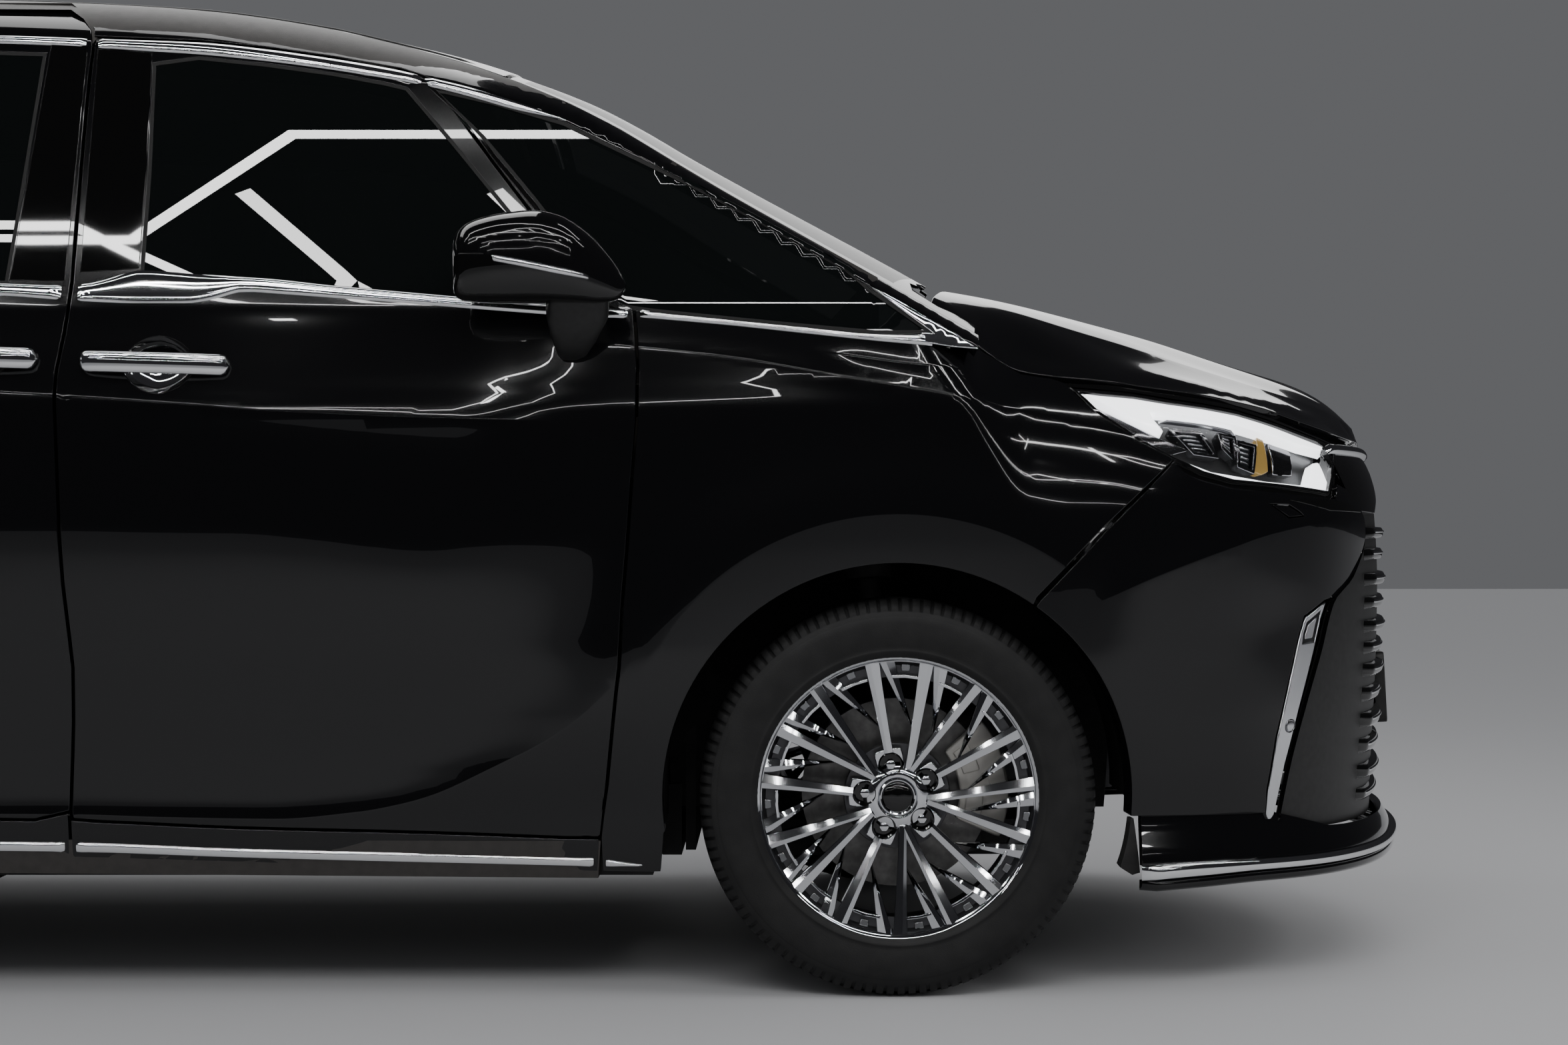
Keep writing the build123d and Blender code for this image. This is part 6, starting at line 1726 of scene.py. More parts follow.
hubp = panel([[tuple(pol(hub_r(a), a)) for a in np.linspace(0, 358, 180)]],
             lambda u, v: np.stack([u, -77.4 - 0.022 * np.maximum(np.hypot(u, v) - 60, 0) ** 1.0, v], -1),
             OUT_R, cut=[[tuple(np.array(pol(60, 30 + 72 * k)) + pol(21.2, b)) for b in
                          range(0, 360, 15)] for k in range(5)] + [circ(33, 40)],
             pitch=9, r=2.4, flange=18)
lip = lathe([(249, -97), (252, -100.5), (256, -103.5), (259.5, -105.5), (261.5, -105), (262, -103),
             (258, -100), (250, -92)], 160, flip=True)
barrel = lathe([(252, -92), (243, -84), (236, -62), (232, -30), (230, 20), (231, 60), (240, 92),
                (249, 100)], 110, flip=True)
hub = lathe([(34, -77), (36, -79.5), (40, -80.5), (48, -79.5), (56, -76), (62, -66), (64, -40)], 80,
            flip=True)
hub_back = lathe([(30, -48), (96, -52), (98, -40)], 60, flip=True)
cap = lathe([(0.01, -84.5), (14, -84.2), (25, -82.4), (29, -79)], 64, flip=True)
capr = lathe([(28.6, -79), (29.6, -83.4), (31.6, -84.4), (33.8, -83), (34.6, -77)], 64, flip=True)


def orient(chunk, c=(0, 0, 0), inward=False):
    V, F, N = chunk
    d = V - np.array(c, float)
    s = (N * d).sum()
    if (s < 0) != inward:
        return V, [q[::-1] for q in F], -N
    return chunk


lip, hub, cap, capr, hub_back = [face_out(q) for q in (lip, hub, cap, capr, hub_back)]
V, F, N = barrel
rad = V * np.array([1, 0, 1])
if (N * rad).sum() > 0:
    barrel = (V, [q[::-1] for q in F], -N)
lugs, nuts = [], []
for k in range(5):
    cx, cz = pol(60, 30 + 72 * k)
    lugs.append(moved(face_out(lathe([(21, -60), (21.4, -79), (20, -81), (17.5, -79.5), (17, -58)],
                                     36, flip=True)), None, (cx, 0, cz)))
    lugs.append(moved(face_out(lathe([(0.01, -60), (17.2, -60)], 30, flip=True)), None, (cx, 0, cz)))
    hexa = [tuple(9.6 * np.array([math.cos(a), math.sin(a)])) for a in
            np.linspace(0, 2 * math.pi, 6, endpoint=False)]
    nut = panel([hexa], lambda u, v: np.stack([u, -80.0 + 0.02 * (u * u + v * v), v], -1), OUT_R,
                pitch=6, r=1.6, flange=18)
    nuts.append(moved(nut, None, (cx, 0, cz)))
lug_c, nut_c = join(lugs), join(nuts)

# tyre
NS, per = ((112, 4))
half = [(253, -101, 0), (257, -104.5, 0), (262, -107.5, 0), (266, -109.8, 0), (269, -110, 0),
        (271, -108.6, 0), (276, -109.6, 0), (290, -112, 0), (305, -113, 0), (318, -112.6, 0),
        (327, -111.2, 0), (328.5, -109.6, 0), (331, -109.2, 0), (338, -107, 0), (340, -104.6, 0),
        (346, -101.5, .5), (351, -97.5, 1), (355.5, -92, 1), (358.8, -85, 1), (360.6, -76, 1),
        (361.3, -66, 1), (361.5, -62, 0), (354.5, -61, 0), (354.5, -53, 0), (361.7, -52, 0),
        (361.9, -36, 1), (362, -22, 0), (354.5, -21, 0), (354.5, -12, 0), (362, -11, 0)]
prof = half + [(r, -y, f) for r, y, f in half[::-1]]
na = NS * per
G = np.empty((na, len(prof), 3))
for i in range(na):
    a = 2 * math.pi * (i // per + (0, 0.62, 0.66, 0.96)[i % per]) / NS
    cut = (i % per) in (2, 3)
    for j, (r, y, f) in enumerate(prof):
        rr = r - (4.8 * f if cut else 0.0)
        yy = y * (1 - (0.012 if cut and 0 < f and abs(y) > 90 else 0))
        G[i, j] = (rr * math.cos(a), yy, rr * math.sin(a))
V, F, N = grid(G, close_u=True)
rad = V * np.array([1, 0, 1])
if (N * rad).sum() < 0:
    F, N = [q[::-1] for q in F], -N
tyre_c = (V, F, N)

for xc, fr_ in ((XF, "front"), (XR, "rear")):
    for side_, sg in (("right", -1), ("left", 1)):
        nm = f"{fr_}_{side_}"
        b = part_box(nm + "_tyre")
        yc = (b[0][1] + b[1][1]) * 500

        def put(c):
            c = c if sg < 0 else flipped_y(c)
            return moved(c, None, (xc, yc, ZW))

        w = Piece(nm + "_wheel_face", nm + "_wheel", "rim_alloy",
                  (nm + "_rim",))
        # pfloor, barrel and hub_back take the near-black alloy: painted shade
        for c, m in ((spokes, M_RIM), (ringp, M_RIM), (pfloor, M_RIM_PAINTED_SHADE), (lip, M_RIM),
                     (hubp, M_RIM), (blockc, M_POCKET),
                     (barrel, M_RIM_PAINTED_SHADE), (hub, M_RIM), (hub_back, M_RIM_PAINTED_SHADE), (cap, M_PIANO),
                     (capr, M_RIM), (lug_c, M_PIANO), (nut_c, M_RIM)):
            w.add(put(c), m)
        w.build()
        t = Piece(nm + "_tyre_tread", w.body, "tyre", (nm + "_tyre",))
        t.add(put(tyre_c), M_TYRE)
        t.build()

# caliper faces over the discs
for side_, sg in (("right", -1), ("left", 1)):
    cal = Piece(side_ + "_caliper_face", side_ + "_knuckle", "chassis_alloy", ())

    def S_cal(u, v, r0=0):
        r = np.hypot(u, v)
        return np.stack([XF + u, -827.5 - 6 * np.exp(-((r - 165) / 34.0) ** 2), ZW + v], -1)

    def ring_sec(ra, rb_, a0, a1, n=14):
        return ([tuple(pol(ra, a0 + (a1 - a0) * k / n)) for k in range(n + 1)]
                + [tuple(pol(rb_, a1 + (a0 - a1) * k / n)) for k in range(n + 1)])

    body_ = panel([ring_sec(116, 208, -23, 41)], S_cal, OUT_R, pitch=16, r=5, flange=28)
    pads = [panel([ring_sec(128, 160, a - 10, a + 10, 6)], lambda u, v: S_cal(u, v) - np.array([0, 5.0, 0]),
                  OUT_R, pitch=10, r=3, flange=4) for a in (-8, 26)]
    bridge = panel([ring_sec(172, 204, 2, 16, 6)], lambda u, v: S_cal(u, v) - np.array([0, 4.0, 0]),
                   OUT_R, pitch=10, r=3, flange=4)
    for c in [body_] + pads + [bridge]:
        cal.add(c if sg < 0 else flipped_y(c), M_CALIPER)
    cal.build()

# ------------------------------------------------------------ rear end, wrapped the same way
XRO = -1880.0


def rear_f(x, y, z):
    return smin(x - (tail_x(y, z)), side(x, z) - y, 40.0)


def _wrap_r(u, v):
    s, c = np.sin(u / RU), np.cos(u / RU)
    lo, hi = np.full(u.shape, 100.0), np.full(u.shape, 1250.0)
    for _ in range(26):
        mid = (lo + hi) / 2
        ins = rear_f(XRO - mid * s, mid * c, v) > 0
        lo, hi = np.where(ins, mid, lo), np.where(ins, hi, mid)
    return (lo + hi) / 2


_gu, _gv = np.meshgrid(-600 + 8.0 * np.arange(270), 150 + 8.0 * np.arange(222), indexing="ij")
R_TAB = _wrap_r(_gu, _gv)


def wrap_r(u, v):
    u, v = np.broadcast_arrays(np.asarray(u, float), np.asarray(v, float))
    a, b = (u + 600) / 8.0, (v - 150) / 8.0
    i = np.clip(np.floor(a).astype(int), 0, R_TAB.shape[0] - 2)
    j = np.clip(np.floor(b).astype(int), 0, R_TAB.shape[1] - 2)
    a, b = a - i, b - j
    rho = (R_TAB[i, j] * (1 - a) * (1 - b) + R_TAB[i + 1, j] * a * (1 - b)
           + R_TAB[i, j + 1] * (1 - a) * b + R_TAB[i + 1, j + 1] * a * b)
    return XRO - rho * np.sin(u / RU), rho * np.cos(u / RU)


def S_rear(off=3.0):
    def f(u, v):
        x, y = wrap_r(u, v)
        n = np.hypot(x - XRO, y)
        return np.stack([x + (x - XRO) / n * off, -(y + y / n * off),
                         np.broadcast_to(v, x.shape)], -1)
    return f


def uy(y, z):
    """u of the rear skin point |y| off the middle."""
    lo, hi = 200.0, 1414.0
    for _ in range(30):
        m = (lo + hi) / 2
        yy = float(wrap_r(np.array(m), np.array(z))[1])
        if yy > y:
            lo = m
        else:
            hi = m
    return lo


OUT_B = (-0.75, -0.65, 0.0)
U0 = 380.0                      # joins the body side (x about -2262)


def UB(pts):
    return [(uy(y, z) if y < 900 else y - 900, z) for y, z in pts]


ux = lambda x, z: RU * math.atan2(XRO - x, float(side(x, z)))
GATE_Y = [(780, 600), (792, 760), (800, 900), (792, 1010), (770, 1180), (742, 1280), (722, 1420),
          (676, 1600), (628, 1740), (600, 1790)]
gate_edge = [(uy(y, z), z) for y, z in GATE_Y]
LAMP_B = [(uy(800, 1010), 1012), (ux(-2150, 1040), 1046), (ux(-2040, 1088), 1092),
          (ux(-2050, 1112), 1116), (ux(-2180, 1120), 1124), (uy(800, 1150), 1150),
          (uy(776, 1180), 1172)]
c0 = ux(-2268, 700)
corner = ([(ux(-2268, z) + 2, z) for z in (604, 700, 800, 900, 1000, 1060, 1150, 1250, 1300, 1400,
                                           1500, 1600, 1690)]
          + [(ux(-2268, 1740), 1740), (ux(-2268, 1790), 1790)]
          + [(q - 3, z) for q, z in gate_edge[::-1]][:-1] + [(gate_edge[0][0] - 3, 604)])
rc = Piece("rear_corner_skins", "body_shell", "body_paint", ("rear_corner_panels",))
rc.both(panel([corner], S_rear(), OUT_B, cut=[grown(LAMP_B, 1)], pitch=PITCH, r=2, flange=18),
        M_PAINT)
rc.build()
# bumper
RB = ([(ux(-2262, 600), 600), (ux(-2056, 596), 596), (ux(-1984, 441), 441), (ux(-1936, 332), 332),
       (ux(-1950, 215), 215)] + [(q, 205 + 15 * float(sstep(200, 900, q))) for q in
                                 np.linspace(100, 1414, 16)]
      + [(1414, 597), (1200, 597), (1000, 598), (gate_edge[0][0], 598)])
vent = UB([(430, 300), (640, 300), (700, 380), (620, 392), (450, 372)])
rb = Piece("rear_bumper_skin", "body_shell", "body_paint", ("rear_bumper",))
diff = [(1414, 226), (uy(600, 240), 228), (uy(560, 300), 285), (uy(420, 330), 318), (1414, 326)]
rb.both(panel([RB], S_rear(), OUT_B, cut=[[(-700, 100)] + [(RU * math.atan2(XRO - x,
        float(side(x, z))), z) for x, z in arc_pts(XR, ZW, 427, 205, 105, 50)] + [(-700, 900)],
        diff], pitch=PITCH, r=2.5, flange=40), M_PAINT)
rb.both(panel([grown(diff, 3)], S_rear(-8), OUT_B, pitch=40, r=2, flange=6), M_TRIM)
for q in (260, 420):
    rb.both(panel([[(uy(q, 250), 232), (uy(q - 14, 250), 232), (uy(q - 14, 290), 312),
                    (uy(q, 290), 312)]], S_rear(6), OUT_B, pitch=20, r=2, flange=14), M_TRIM)
qs = np.linspace(80, 1414, 50)
rb.both(strip([(q, 424) for q in qs], [(q, 412) for q in qs], S_rear(), OUT_B, h=4, step=26,
              n=5, tip=(True, False)), M_CHROME)
rb.both(panel([[(uy(700, 470), 470), (uy(560, 470), 468), (uy(560, 500), 492), (uy(706, 500), 492)]],
              S_rear(), OUT_B, pitch=20, r=1.5, flange=4, off=1.5), M_RED)
rb.both(panel([[(1414, 598), (gate_edge[0][0], 598), (gate_edge[0][0] + 30, 590), (1414, 588)]],
              S_rear(), OUT_B, pitch=40, r=1.5, flange=3, off=1.5), M_TRIM)
rb.build()
# lamps
tl = Piece("tail_lamp_faces", "body_shell", "lamp_red", ("tail_lamps",))
tl.both(panel([grown(LAMP_B, -1.5)], S_rear(), OUT_B, pitch=18, r=2.5, flange=14, off=3), M_RED)
mid = [((LAMP_B[0][0] + LAMP_B[6][0]) / 2 - 2, 1108), (ux(-2150, 1080), 1092), (ux(-2060, 1100), 1101)]
tl.both(strip([(a, b + 7) for a, b in mid], [(a, b - 7) for a, b in mid], S_rear(), OUT_B, h=6.5,
              step=12, n=5), M_REDLIT)
tl.build()
# tailgate
GLASS_Y = [(660, 1300), (700, 1330), (690, 1420), (640, 1600), (598, 1730), (560, 1752)]
gg = [(1414, 1296)] + [(uy(y, z), z) for y, z in GLASS_Y] + [(1414, 1758)]
TG = ([(1416, 604), (gate_edge[0][0] + 3, 604)] + [(q + 3, z) for q, z in gate_edge[1:]]
      + [(1416, 1796)])
plate = [(1416, 700), (uy(300, 700), 700), (uy(320, 730), 730), (uy(320, 860), 860),
         (uy(300, 880), 884), (1416, 884)]
tg = Piece("tailgate_skin", "tailgate", "body_paint", ("tailgate",))
tg.both(panel([TG], S_rear(), OUT_B, cut=[gg, plate], pitch=PITCH, r=2, flange=20), M_PAINT)
tg.both(panel([grown(gg, 2)], S_rear(), OUT_B, cut=[grown(gg, -11)], pitch=20, r=1, flange=5,
              off=-0.6), M_SEAL)
tg.both(panel([grown(plate, 2)], S_rear(-16), OUT_B, pitch=40, r=1, flange=4), M_TRIM)
V, F, N = rbox((float(tail_x(0, 790)) + 7, 0, 790), (8, 440, 130), 3)
tg.add((V, F, N), M_SATIN)
qs = np.linspace(gate_edge[3][0] + 8, 1414, 40)
tg.both(strip([(q, 1122) for q in qs], [(q, 1098) for q in qs], S_rear(), OUT_B, h=6, step=24,
              n=6, tip=(True, False)), M_REDLIT)
tg.both(strip([(q, 1132) for q in qs], [(q, 1125) for q in qs], S_rear(), OUT_B, h=5, step=24,
              n=4, tip=(True, False)), M_CHROME)
tg.both(strip([(q, 908) for q in qs], [(q, 894) for q in qs], S_rear(), OUT_B, h=7, step=24,
              n=5, tip=(True, False)), M_CHROME)
# inner trim
tg.both(panel([grown(TG, -22)], S_rear(-52), OUT_B, cut=[gg], pitch=60, r=3, flange=34, back=True),
        M_CABIN)
# spoiler over the glass
sp_ = []
for x in np.linspace(-2256, -2420, 14):
    t = (x + 2256) / -164.0
    zt_ = float(roof(-2256, 0)) - 2 - 22 * t - 10 * t * t
    row = []
    for y in np.linspace(-1, 1, 31):
        yy = y * (646 - 60 * t)
        row.append((x, yy, zt_ - 50 * abs(y) ** 2.3 - 10 * t * abs(y) ** 6))
    sp_.append(row)
sp_ = np.array(sp_)
th = 26 * (1 - np.linspace(0, 1, 14) * 0.5)
bot = sp_ - np.array([0, 0, 1.0]) * th[:, None, None]
loop = np.concatenate([sp_, bot[:, ::-1]], 1)
V, F, N = grid(loop, close_v=True)
if (N * (V - V.mean(0))).sum() < 0:
    F, N = [q[::-1] for q in F], -N
tg.add((V, F, N), M_PAINT)
tip_ = grid(np.stack([sp_[-1], bot[-1]], 1))
tg.add(face_out(tip_, (-1, 0, 0)), M_PIANO)
tg.add(rbox((-2414, 0, float(sp_[-1, 15, 2]) - 10), (16, 300, 7), 2), M_RED)
# rear wiper
tg.add(tube([(float(tail_x(y, 1318 + y * 0.03)) - 16, y, 1318 + y * 0.03) for y in
             np.linspace(-30, 420, 16)], 5.5, 10), M_TRIM)
tg.add(rbox((float(tail_x(0, 1312)) - 8, -30, 1312), (26, 60, 38), 8), M_TRIM)
tg.build()
rg = Piece("tailgate_pane", "tailgate", "tinted_glass", ("tailgate_glass",))
rg.both(panel([grown(gg, 6)], S_rear(), OUT_B, pitch=50, r=0.8, flange=3, off=-1.6), M_GLASS)
rg.build()

# ------------------------------------------------------------ inner shields of the wheel arches
sh = Piece("inner_arch_shields", "body_shell", "liner_plastic", ())
for xc, yi in ((XF, 462.0), (XR, 632.0)):
    o = [(xc + a, b) for a, b in ((-430, 300), (-300, 300), (-265, 480), (265, 480), (300, 300),
                                  (425, 300), (436, 440), (405, 590), (320, 720), (190, 805),
                                  (60, 838), (-60, 838), (-190, 805), (-320, 720), (-405, 590),
                                  (-436, 440))]
    sh.both(panel([o], lambda u, v, yi=yi: np.stack([u, -yi + 6 * np.cos((u - v) / 60.0), v], -1),
                  OUT_R, pitch=60, r=2, flange=8), M_LINER)
# closing pieces behind the front arch, down beside the sill
for x0, x1 in ((1052, 1076),):
    sh.both(rbox(((x0 + x1) / 2, -690, 420), (18, 330, 260), 6), M_LINER)
sh.build()


# ------------------------------------------------------------ padded seats
def pillow(size, crown=(18, 14), pull=0.03, r=34, n=22, top=(), side_seam=True, bot=4):
    """Crowned closed cushion, x along, y across, z up; top lists sewn channels as (axis, at, depth)."""
    h = np.array(size, float) / 2
    r = min(r, *(h * 0.9))
    t = np.linspace(-1, 1, n + 1)
    Vs, Fs, b = [], [], 0
    for ax in range(3):
        a1, a2 = (ax + 1) % 3, (ax + 2) % 3
        for sg in (-1, 1):
            A, B = np.meshgrid(np.sin(t * math.pi / 2), np.sin(t * math.pi / 2), indexing="ij")
            p = np.zeros((*A.shape, 3))
            p[..., a1], p[..., a2], p[..., ax] = A * h[a1], B * h[a2], sg * h[ax]
            q = np.clip(p, -(h - r), h - r)
            d = p - q
            l = np.maximum(np.linalg.norm(d, axis=-1, keepdims=True), 1e-9)
            p = q + d / l * r
            x, y, z = p[..., 0] / h[0], p[..., 1] / h[1], p[..., 2] / h[2]
            dome = np.clip(1 - x**4, 0, 1) * np.clip(1 - y**4, 0, 1)
            dz = np.where(z > 0, crown[0] * dome * np.clip(z, 0, 1), -bot * dome * np.clip(-z, 0, 1))
            for axis_, at, dep in top:
                s = p[..., 0] if axis_ == "x" else p[..., 1]
                if axis_ == "y":                       # bolsters each side of |y| = at
                    g = np.exp(-((np.abs(s) - at) / 7.0) ** 2)
                    dz = dz - np.where(z > 0, dep * g, 0)
                    dz = dz + np.where(z > 0, 1.2 * dep * sstep(at, at + 40, np.abs(s)), 0) * dome**0.3
                else:
                    g = np.exp(-((s - at) / 6.0) ** 2) * (np.abs(p[..., 1]) < 0.62 * h[1] + 8)
                    dz = dz - np.where(z > 0, dep * g, 0)
            p[..., 2] += dz
            k = 1 - pull * (1 - np.abs(z)) * 0 - pull * np.exp(-(z / 0.10) ** 2) * side_seam
            p[..., 0] *= k
            p[..., 1] *= k
            Vs.append(p.reshape(-1, 3))
            m = n + 1
            for i in range(n):
                for j in range(n):
                    f = (b + i * m + j, b + (i + 1) * m + j, b + (i + 1) * m + j + 1, b + i * m + j + 1)
                    Fs.append(f if sg > 0 else f[::-1])
            b += m * m
    V = np.concatenate(Vs)
    # shared normals over coincident edge points
    N = face_normals(V, Fs)
    key = {}
    for i, v in enumerate(np.round(V, 2).tolist()):
        key.setdefault(tuple(v), []).append(i)
    for ids_ in key.values():
        if len(ids_) > 1:
            N[ids_] = unit(N[ids_].sum(0)[None])
    return V, Fs, N


def seat_set(tag, xb, yc, w, zf, zc, length, back_h, lean, node, rests=1, arms=True):
    ry = lambda a: rot_axis((0, 1, 0), a)
    tilt = -4.0
    nq = 26

    def pad(name, chunk, mat=M_LEATHER):
        p = Piece(f"{tag}_{name}", "body_shell", "seat_leather", (node,))
        p.add(chunk, mat)
        ob = p.build()
        return ob

    c = pillow((length - 30, w - 16, 128), crown=(14, 14), n=nq, r=40,
               top=(("y", w * 0.30, 9), ("x", -80, 5), ("x", 20, 5), ("x", 120, 5)))
    pad("cushion", moved(c, ry(tilt), (xb + length / 2 + 12, yc, zc - 78)))
    ang = math.degrees(math.atan2(lean + 30, back_h))
    Lb = math.hypot(back_h, lean) + 10
    bk = pillow((Lb - 30, w - 26, 112), crown=(16, 14), n=nq, r=44,
                top=(("y", w * 0.30, 11), ("x", -Lb * 0.18, 5), ("x", Lb * 0.02, 5),
                     ("x", Lb * 0.22, 5)))
    # local x runs up the back, z faces forward
    R = np.array([[-math.sin(math.radians(ang)), 0, math.cos(math.radians(ang))],
                  [0, 1, 0],
                  [math.cos(math.radians(ang)), 0, math.sin(math.radians(ang))]])
    R = np.stack([R[:, 0], np.cross(R[:, 2], R[:, 0]), R[:, 2]], 1)
    mid = np.array([xb - lean / 2 + 24, yc, zc + back_h / 2 - 10])
    pad("back", moved(bk, R, mid))
    up = R[:, 0]
    for k in range(rests):
        yo = 0 if rests == 1 else (-1 if k == 0 else 1) * 480
        hr = pillow((165, 270 if rests == 1 else 230, 96), crown=(12, 10), n=max(10, nq - 8), r=36,
                    top=(("y", 88, 5),))
        ctr = mid + up * (Lb / 2 + 84) + np.array([12, yo, 0])
        pad(f"headrest_{k}", moved(hr, R, ctr))
        fr_ = Piece(f"{tag}_headrest_posts_{k}", "body_shell", "seat_leather", (node,))
        for s in (-52, 52):
            a = mid + up * (Lb / 2 - 30) + np.array([6, yo + s, 0])
            fr_.add(tube([tuple(a), tuple(a + up * 60), tuple(a + up * 100)], 6, 12), M_SATIN)
        fr_.build()
    base = Piece(f"{tag}_base", "body_shell", "cabin_plastic", (node,))
    base.add(rbox((xb + length / 2, yc, (zf + zc - 150) / 2), (length - 120, w - 90, zc - 150 - zf), 18,
                  None, 3), M_CABIN)
    base.add(rbox((xb + length / 2, yc, zc - 150), (length - 60, w - 24, 44), 16, None, 3), M_SEATDK)
    sh_ = pillow((Lb - 50, w - 40, 36), crown=(4, 4), n=10, r=16)
    base.add(moved(sh_, R, mid - R[:, 2] * 58), M_SEATDK)
    if arms:
        for s in (-1, 1):
            ac = rbox((xb + 170, yc + s * (w / 2 - 6), zc + 150), (300, 62, 54), 22, None, 4)
            base.add(ac, M_LEATHER)
            base.add(rbox((xb + 60, yc + s * (w / 2 - 6), zc + 60), (110, 44, 170), 18, None, 3),
                     M_SEATDK)
    base.build()


seat_set("front_right_seat", 130, -385, 500, 350, 690, 520, 560, 190, "front_seats", arms=False)
seat_set("front_left_seat", 130, 385, 500, 350, 690, 520, 560, 190, "front_seats", arms=False)
seat_set("captain_right_seat", -790, -385, 540, 350, 700, 560, 620, 200, "captain_seats")
seat_set("captain_left_seat", -790, 385, 540, 350, 700, 560, 620, 200, "captain_seats")
seat_set("rear_bench_seat", -1700, 0, 1190, 470, 740, 480, 560, 160, "rear_bench", rests=2,
         arms=False)

# ------------------------------------------------------------ dashboard and console
dp = [(1090, 640), (1090, 1100), (1040, 1132), (960, 1134), (880, 1120), (806, 1094), (770, 1068),
      (766, 1046), (790, 1034), (800, 1016), (804, 960), (812, 944), (838, 900), (856, 800),
      (880, 700), (1000, 610)]
dpl = smooth_line(dp, 70)
ys = np.linspace(-752, 752, 61)
G = np.empty((len(ys), len(dpl), 3))
for i, y in enumerate(ys):
    e = abs(y) / 752.0
    bow = 26 * e ** 2.5
    hood_ = 30 * math.exp(-((y - 385) / 170.0) ** 4)
    for j, (x, z) in enumerate(dpl):
        xx = x + bow * (1 if x < 1000 else 0.2) - (hood_ * 0.8 if 1040 < z and x < 900 else 0)
        zz = z + (hood_ if z > 1040 and x < 1000 else 0) - 12 * e ** 4 * (z > 900)
        G[i, j] = (min(xx, 1092), y, zz)
V, F, N = grid(G, close_v=True)
if (N * (V - np.array([960, 0, 880]))).sum() < 0:
    F, N = [q[::-1] for q in F], -N
da = Piece("dashboard_face", "body_shell", "cabin_plastic", ("dashboard",))
da.add((V, F, N), M_CABIN)


def S_da(y, z):
    x = np.interp(z, [700, 800, 900, 944, 1016, 1034], [880, 856, 838, 812, 800, 790])
    return np.stack([x + 26 * (np.abs(y) / 752.0) ** 2.5, y, z], -1)


OUT_D = (-1, 0, 0)
da.add(strip([(y, 1008) for y in np.linspace(-730, 730, 30)], [(y, 972) for y in
             np.linspace(-730, 730, 30)], S_da, OUT_D, h=5, step=40, n=5), M_WOOD)
da.add(strip([(y, 968) for y in np.linspace(-730, 730, 30)], [(y, 962) for y in
             np.linspace(-730, 730, 30)], S_da, OUT_D, h=4, step=40, n=4), M_SATIN)
for y0 in (-660, -560, 150, 640):
    da.add(panel([[(y0 - 42, 910), (y0 + 42, 910), (y0 + 42, 950), (y0 - 42, 950)]], S_da, OUT_D,
                 pitch=30, r=2, flange=8, off=3), M_TRIM)
    for z in (918, 926, 934, 942):
        da.add(rbox((float(S_da(np.array(y0), np.array(z))[0]) - 6, y0, z), (6, 74, 2.4), 1), M_SATIN)
scr = rbox((752, 0, 1056), (16, 340, 190), 7, rot_axis((0, 1, 0), -12), 3)
da.add(scr, M_DISPLAY)
da.add(rbox((775, 385, 1096), (14, 300, 100), 6, rot_axis((0, 1, 0), -14), 3), M_DISPLAY)
da.add(rbox((600, 0, 512), (540, 214, 322), 34, None, 4), M_CABIN)
da.add(rbox((610, 0, 676), (500, 176, 14), 6, None, 2), M_WOOD)
da.add(rbox((880, 0, 560), (120, 214, 420), 26, None, 4), M_CABIN)
da.add(rbox((430, 0, 690), (190, 200, 48), 20, None, 4), M_LEATHER)
da.add(rbox((650, 0, 700), (46, 36, 44), 14, None, 4), M_WLEATHER)
da.add(lathe([(0.01, 10), (22, 9), (24, 5), (24, 0)], 40, "z"), M_SATIN) if False else None
da.build()

# headlining
hl = Piece("headlining", "body_shell", "cabin_plastic", ())
hx = np.linspace(-2180, 700, 50)
ho = [(x, -float(TOP_Y(x)) + 46) for x in hx] + [(x, float(TOP_Y(x)) - 46) for x in hx[::-1]]
hl.add(panel([ho], lambda x, y: np.stack([x, y, roof(x, y) - 46], -1), (0, 0, 1), pitch=70, r=3,
             flange=10, back=True), M_HEAD)
hl.add(rbox((-700, 0, 1848), (1100, 150, 26), 10, None, 3), M_HEAD)
hl.build()

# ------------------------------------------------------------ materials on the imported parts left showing
CAD_MAT = {
    "bulkhead": M_UNDER, "floor_pan": M_UNDER, "front_subframe": M_IRON, "rear_axle": M_IRON,
    "right_knuckle": M_IRON, "left_knuckle": M_IRON, "exhaust_system": M_STEEL,
    "fuel_tank": M_LINER, "engine_block": M_ENGINE, "wheelhouse_liners": M_LINER,
    "right_body_side": M_CABIN, "left_body_side": M_CABIN, "dashboard": M_CABIN,
    "steering_wheel": M_WLEATHER, "front_seats": M_LEATHER, "captain_seats": M_LEATHER,
    "rear_bench": M_LEATHER,
}
for n, ob in NODES.items():
    if ob.hide_render:
        continue
    m = CAD_MAT.get(n)
    if m is None:
        m = M_DISC if n.endswith("brake_disc") else M_RIM if n.endswith("_rim") else \
            M_TYRE if n.endswith("_tyre") else M_PAINT
    ob.data.materials.clear()
    ob.data.materials.append(m)

# ------------------------------------------------------------ studio
scene = bpy.context.scene
floor_m = bpy.data.materials.new("studio_floor")
floor_m.use_nodes = True
fb_ = floor_m.node_tree.nodes["Principled BSDF"]
socket(fb_, "Base Color", (0.50, 0.50, 0.51, 1))
socket(fb_, "Roughness", 0.55)
socket(fb_, "Specular IOR Level", 0.05)
bpy.ops.mesh.primitive_plane_add(size=60, location=(0, 0, -0.001))
fl = bpy.context.object
fl.name = "studio_floor"
fl.data.materials.append(floor_m)


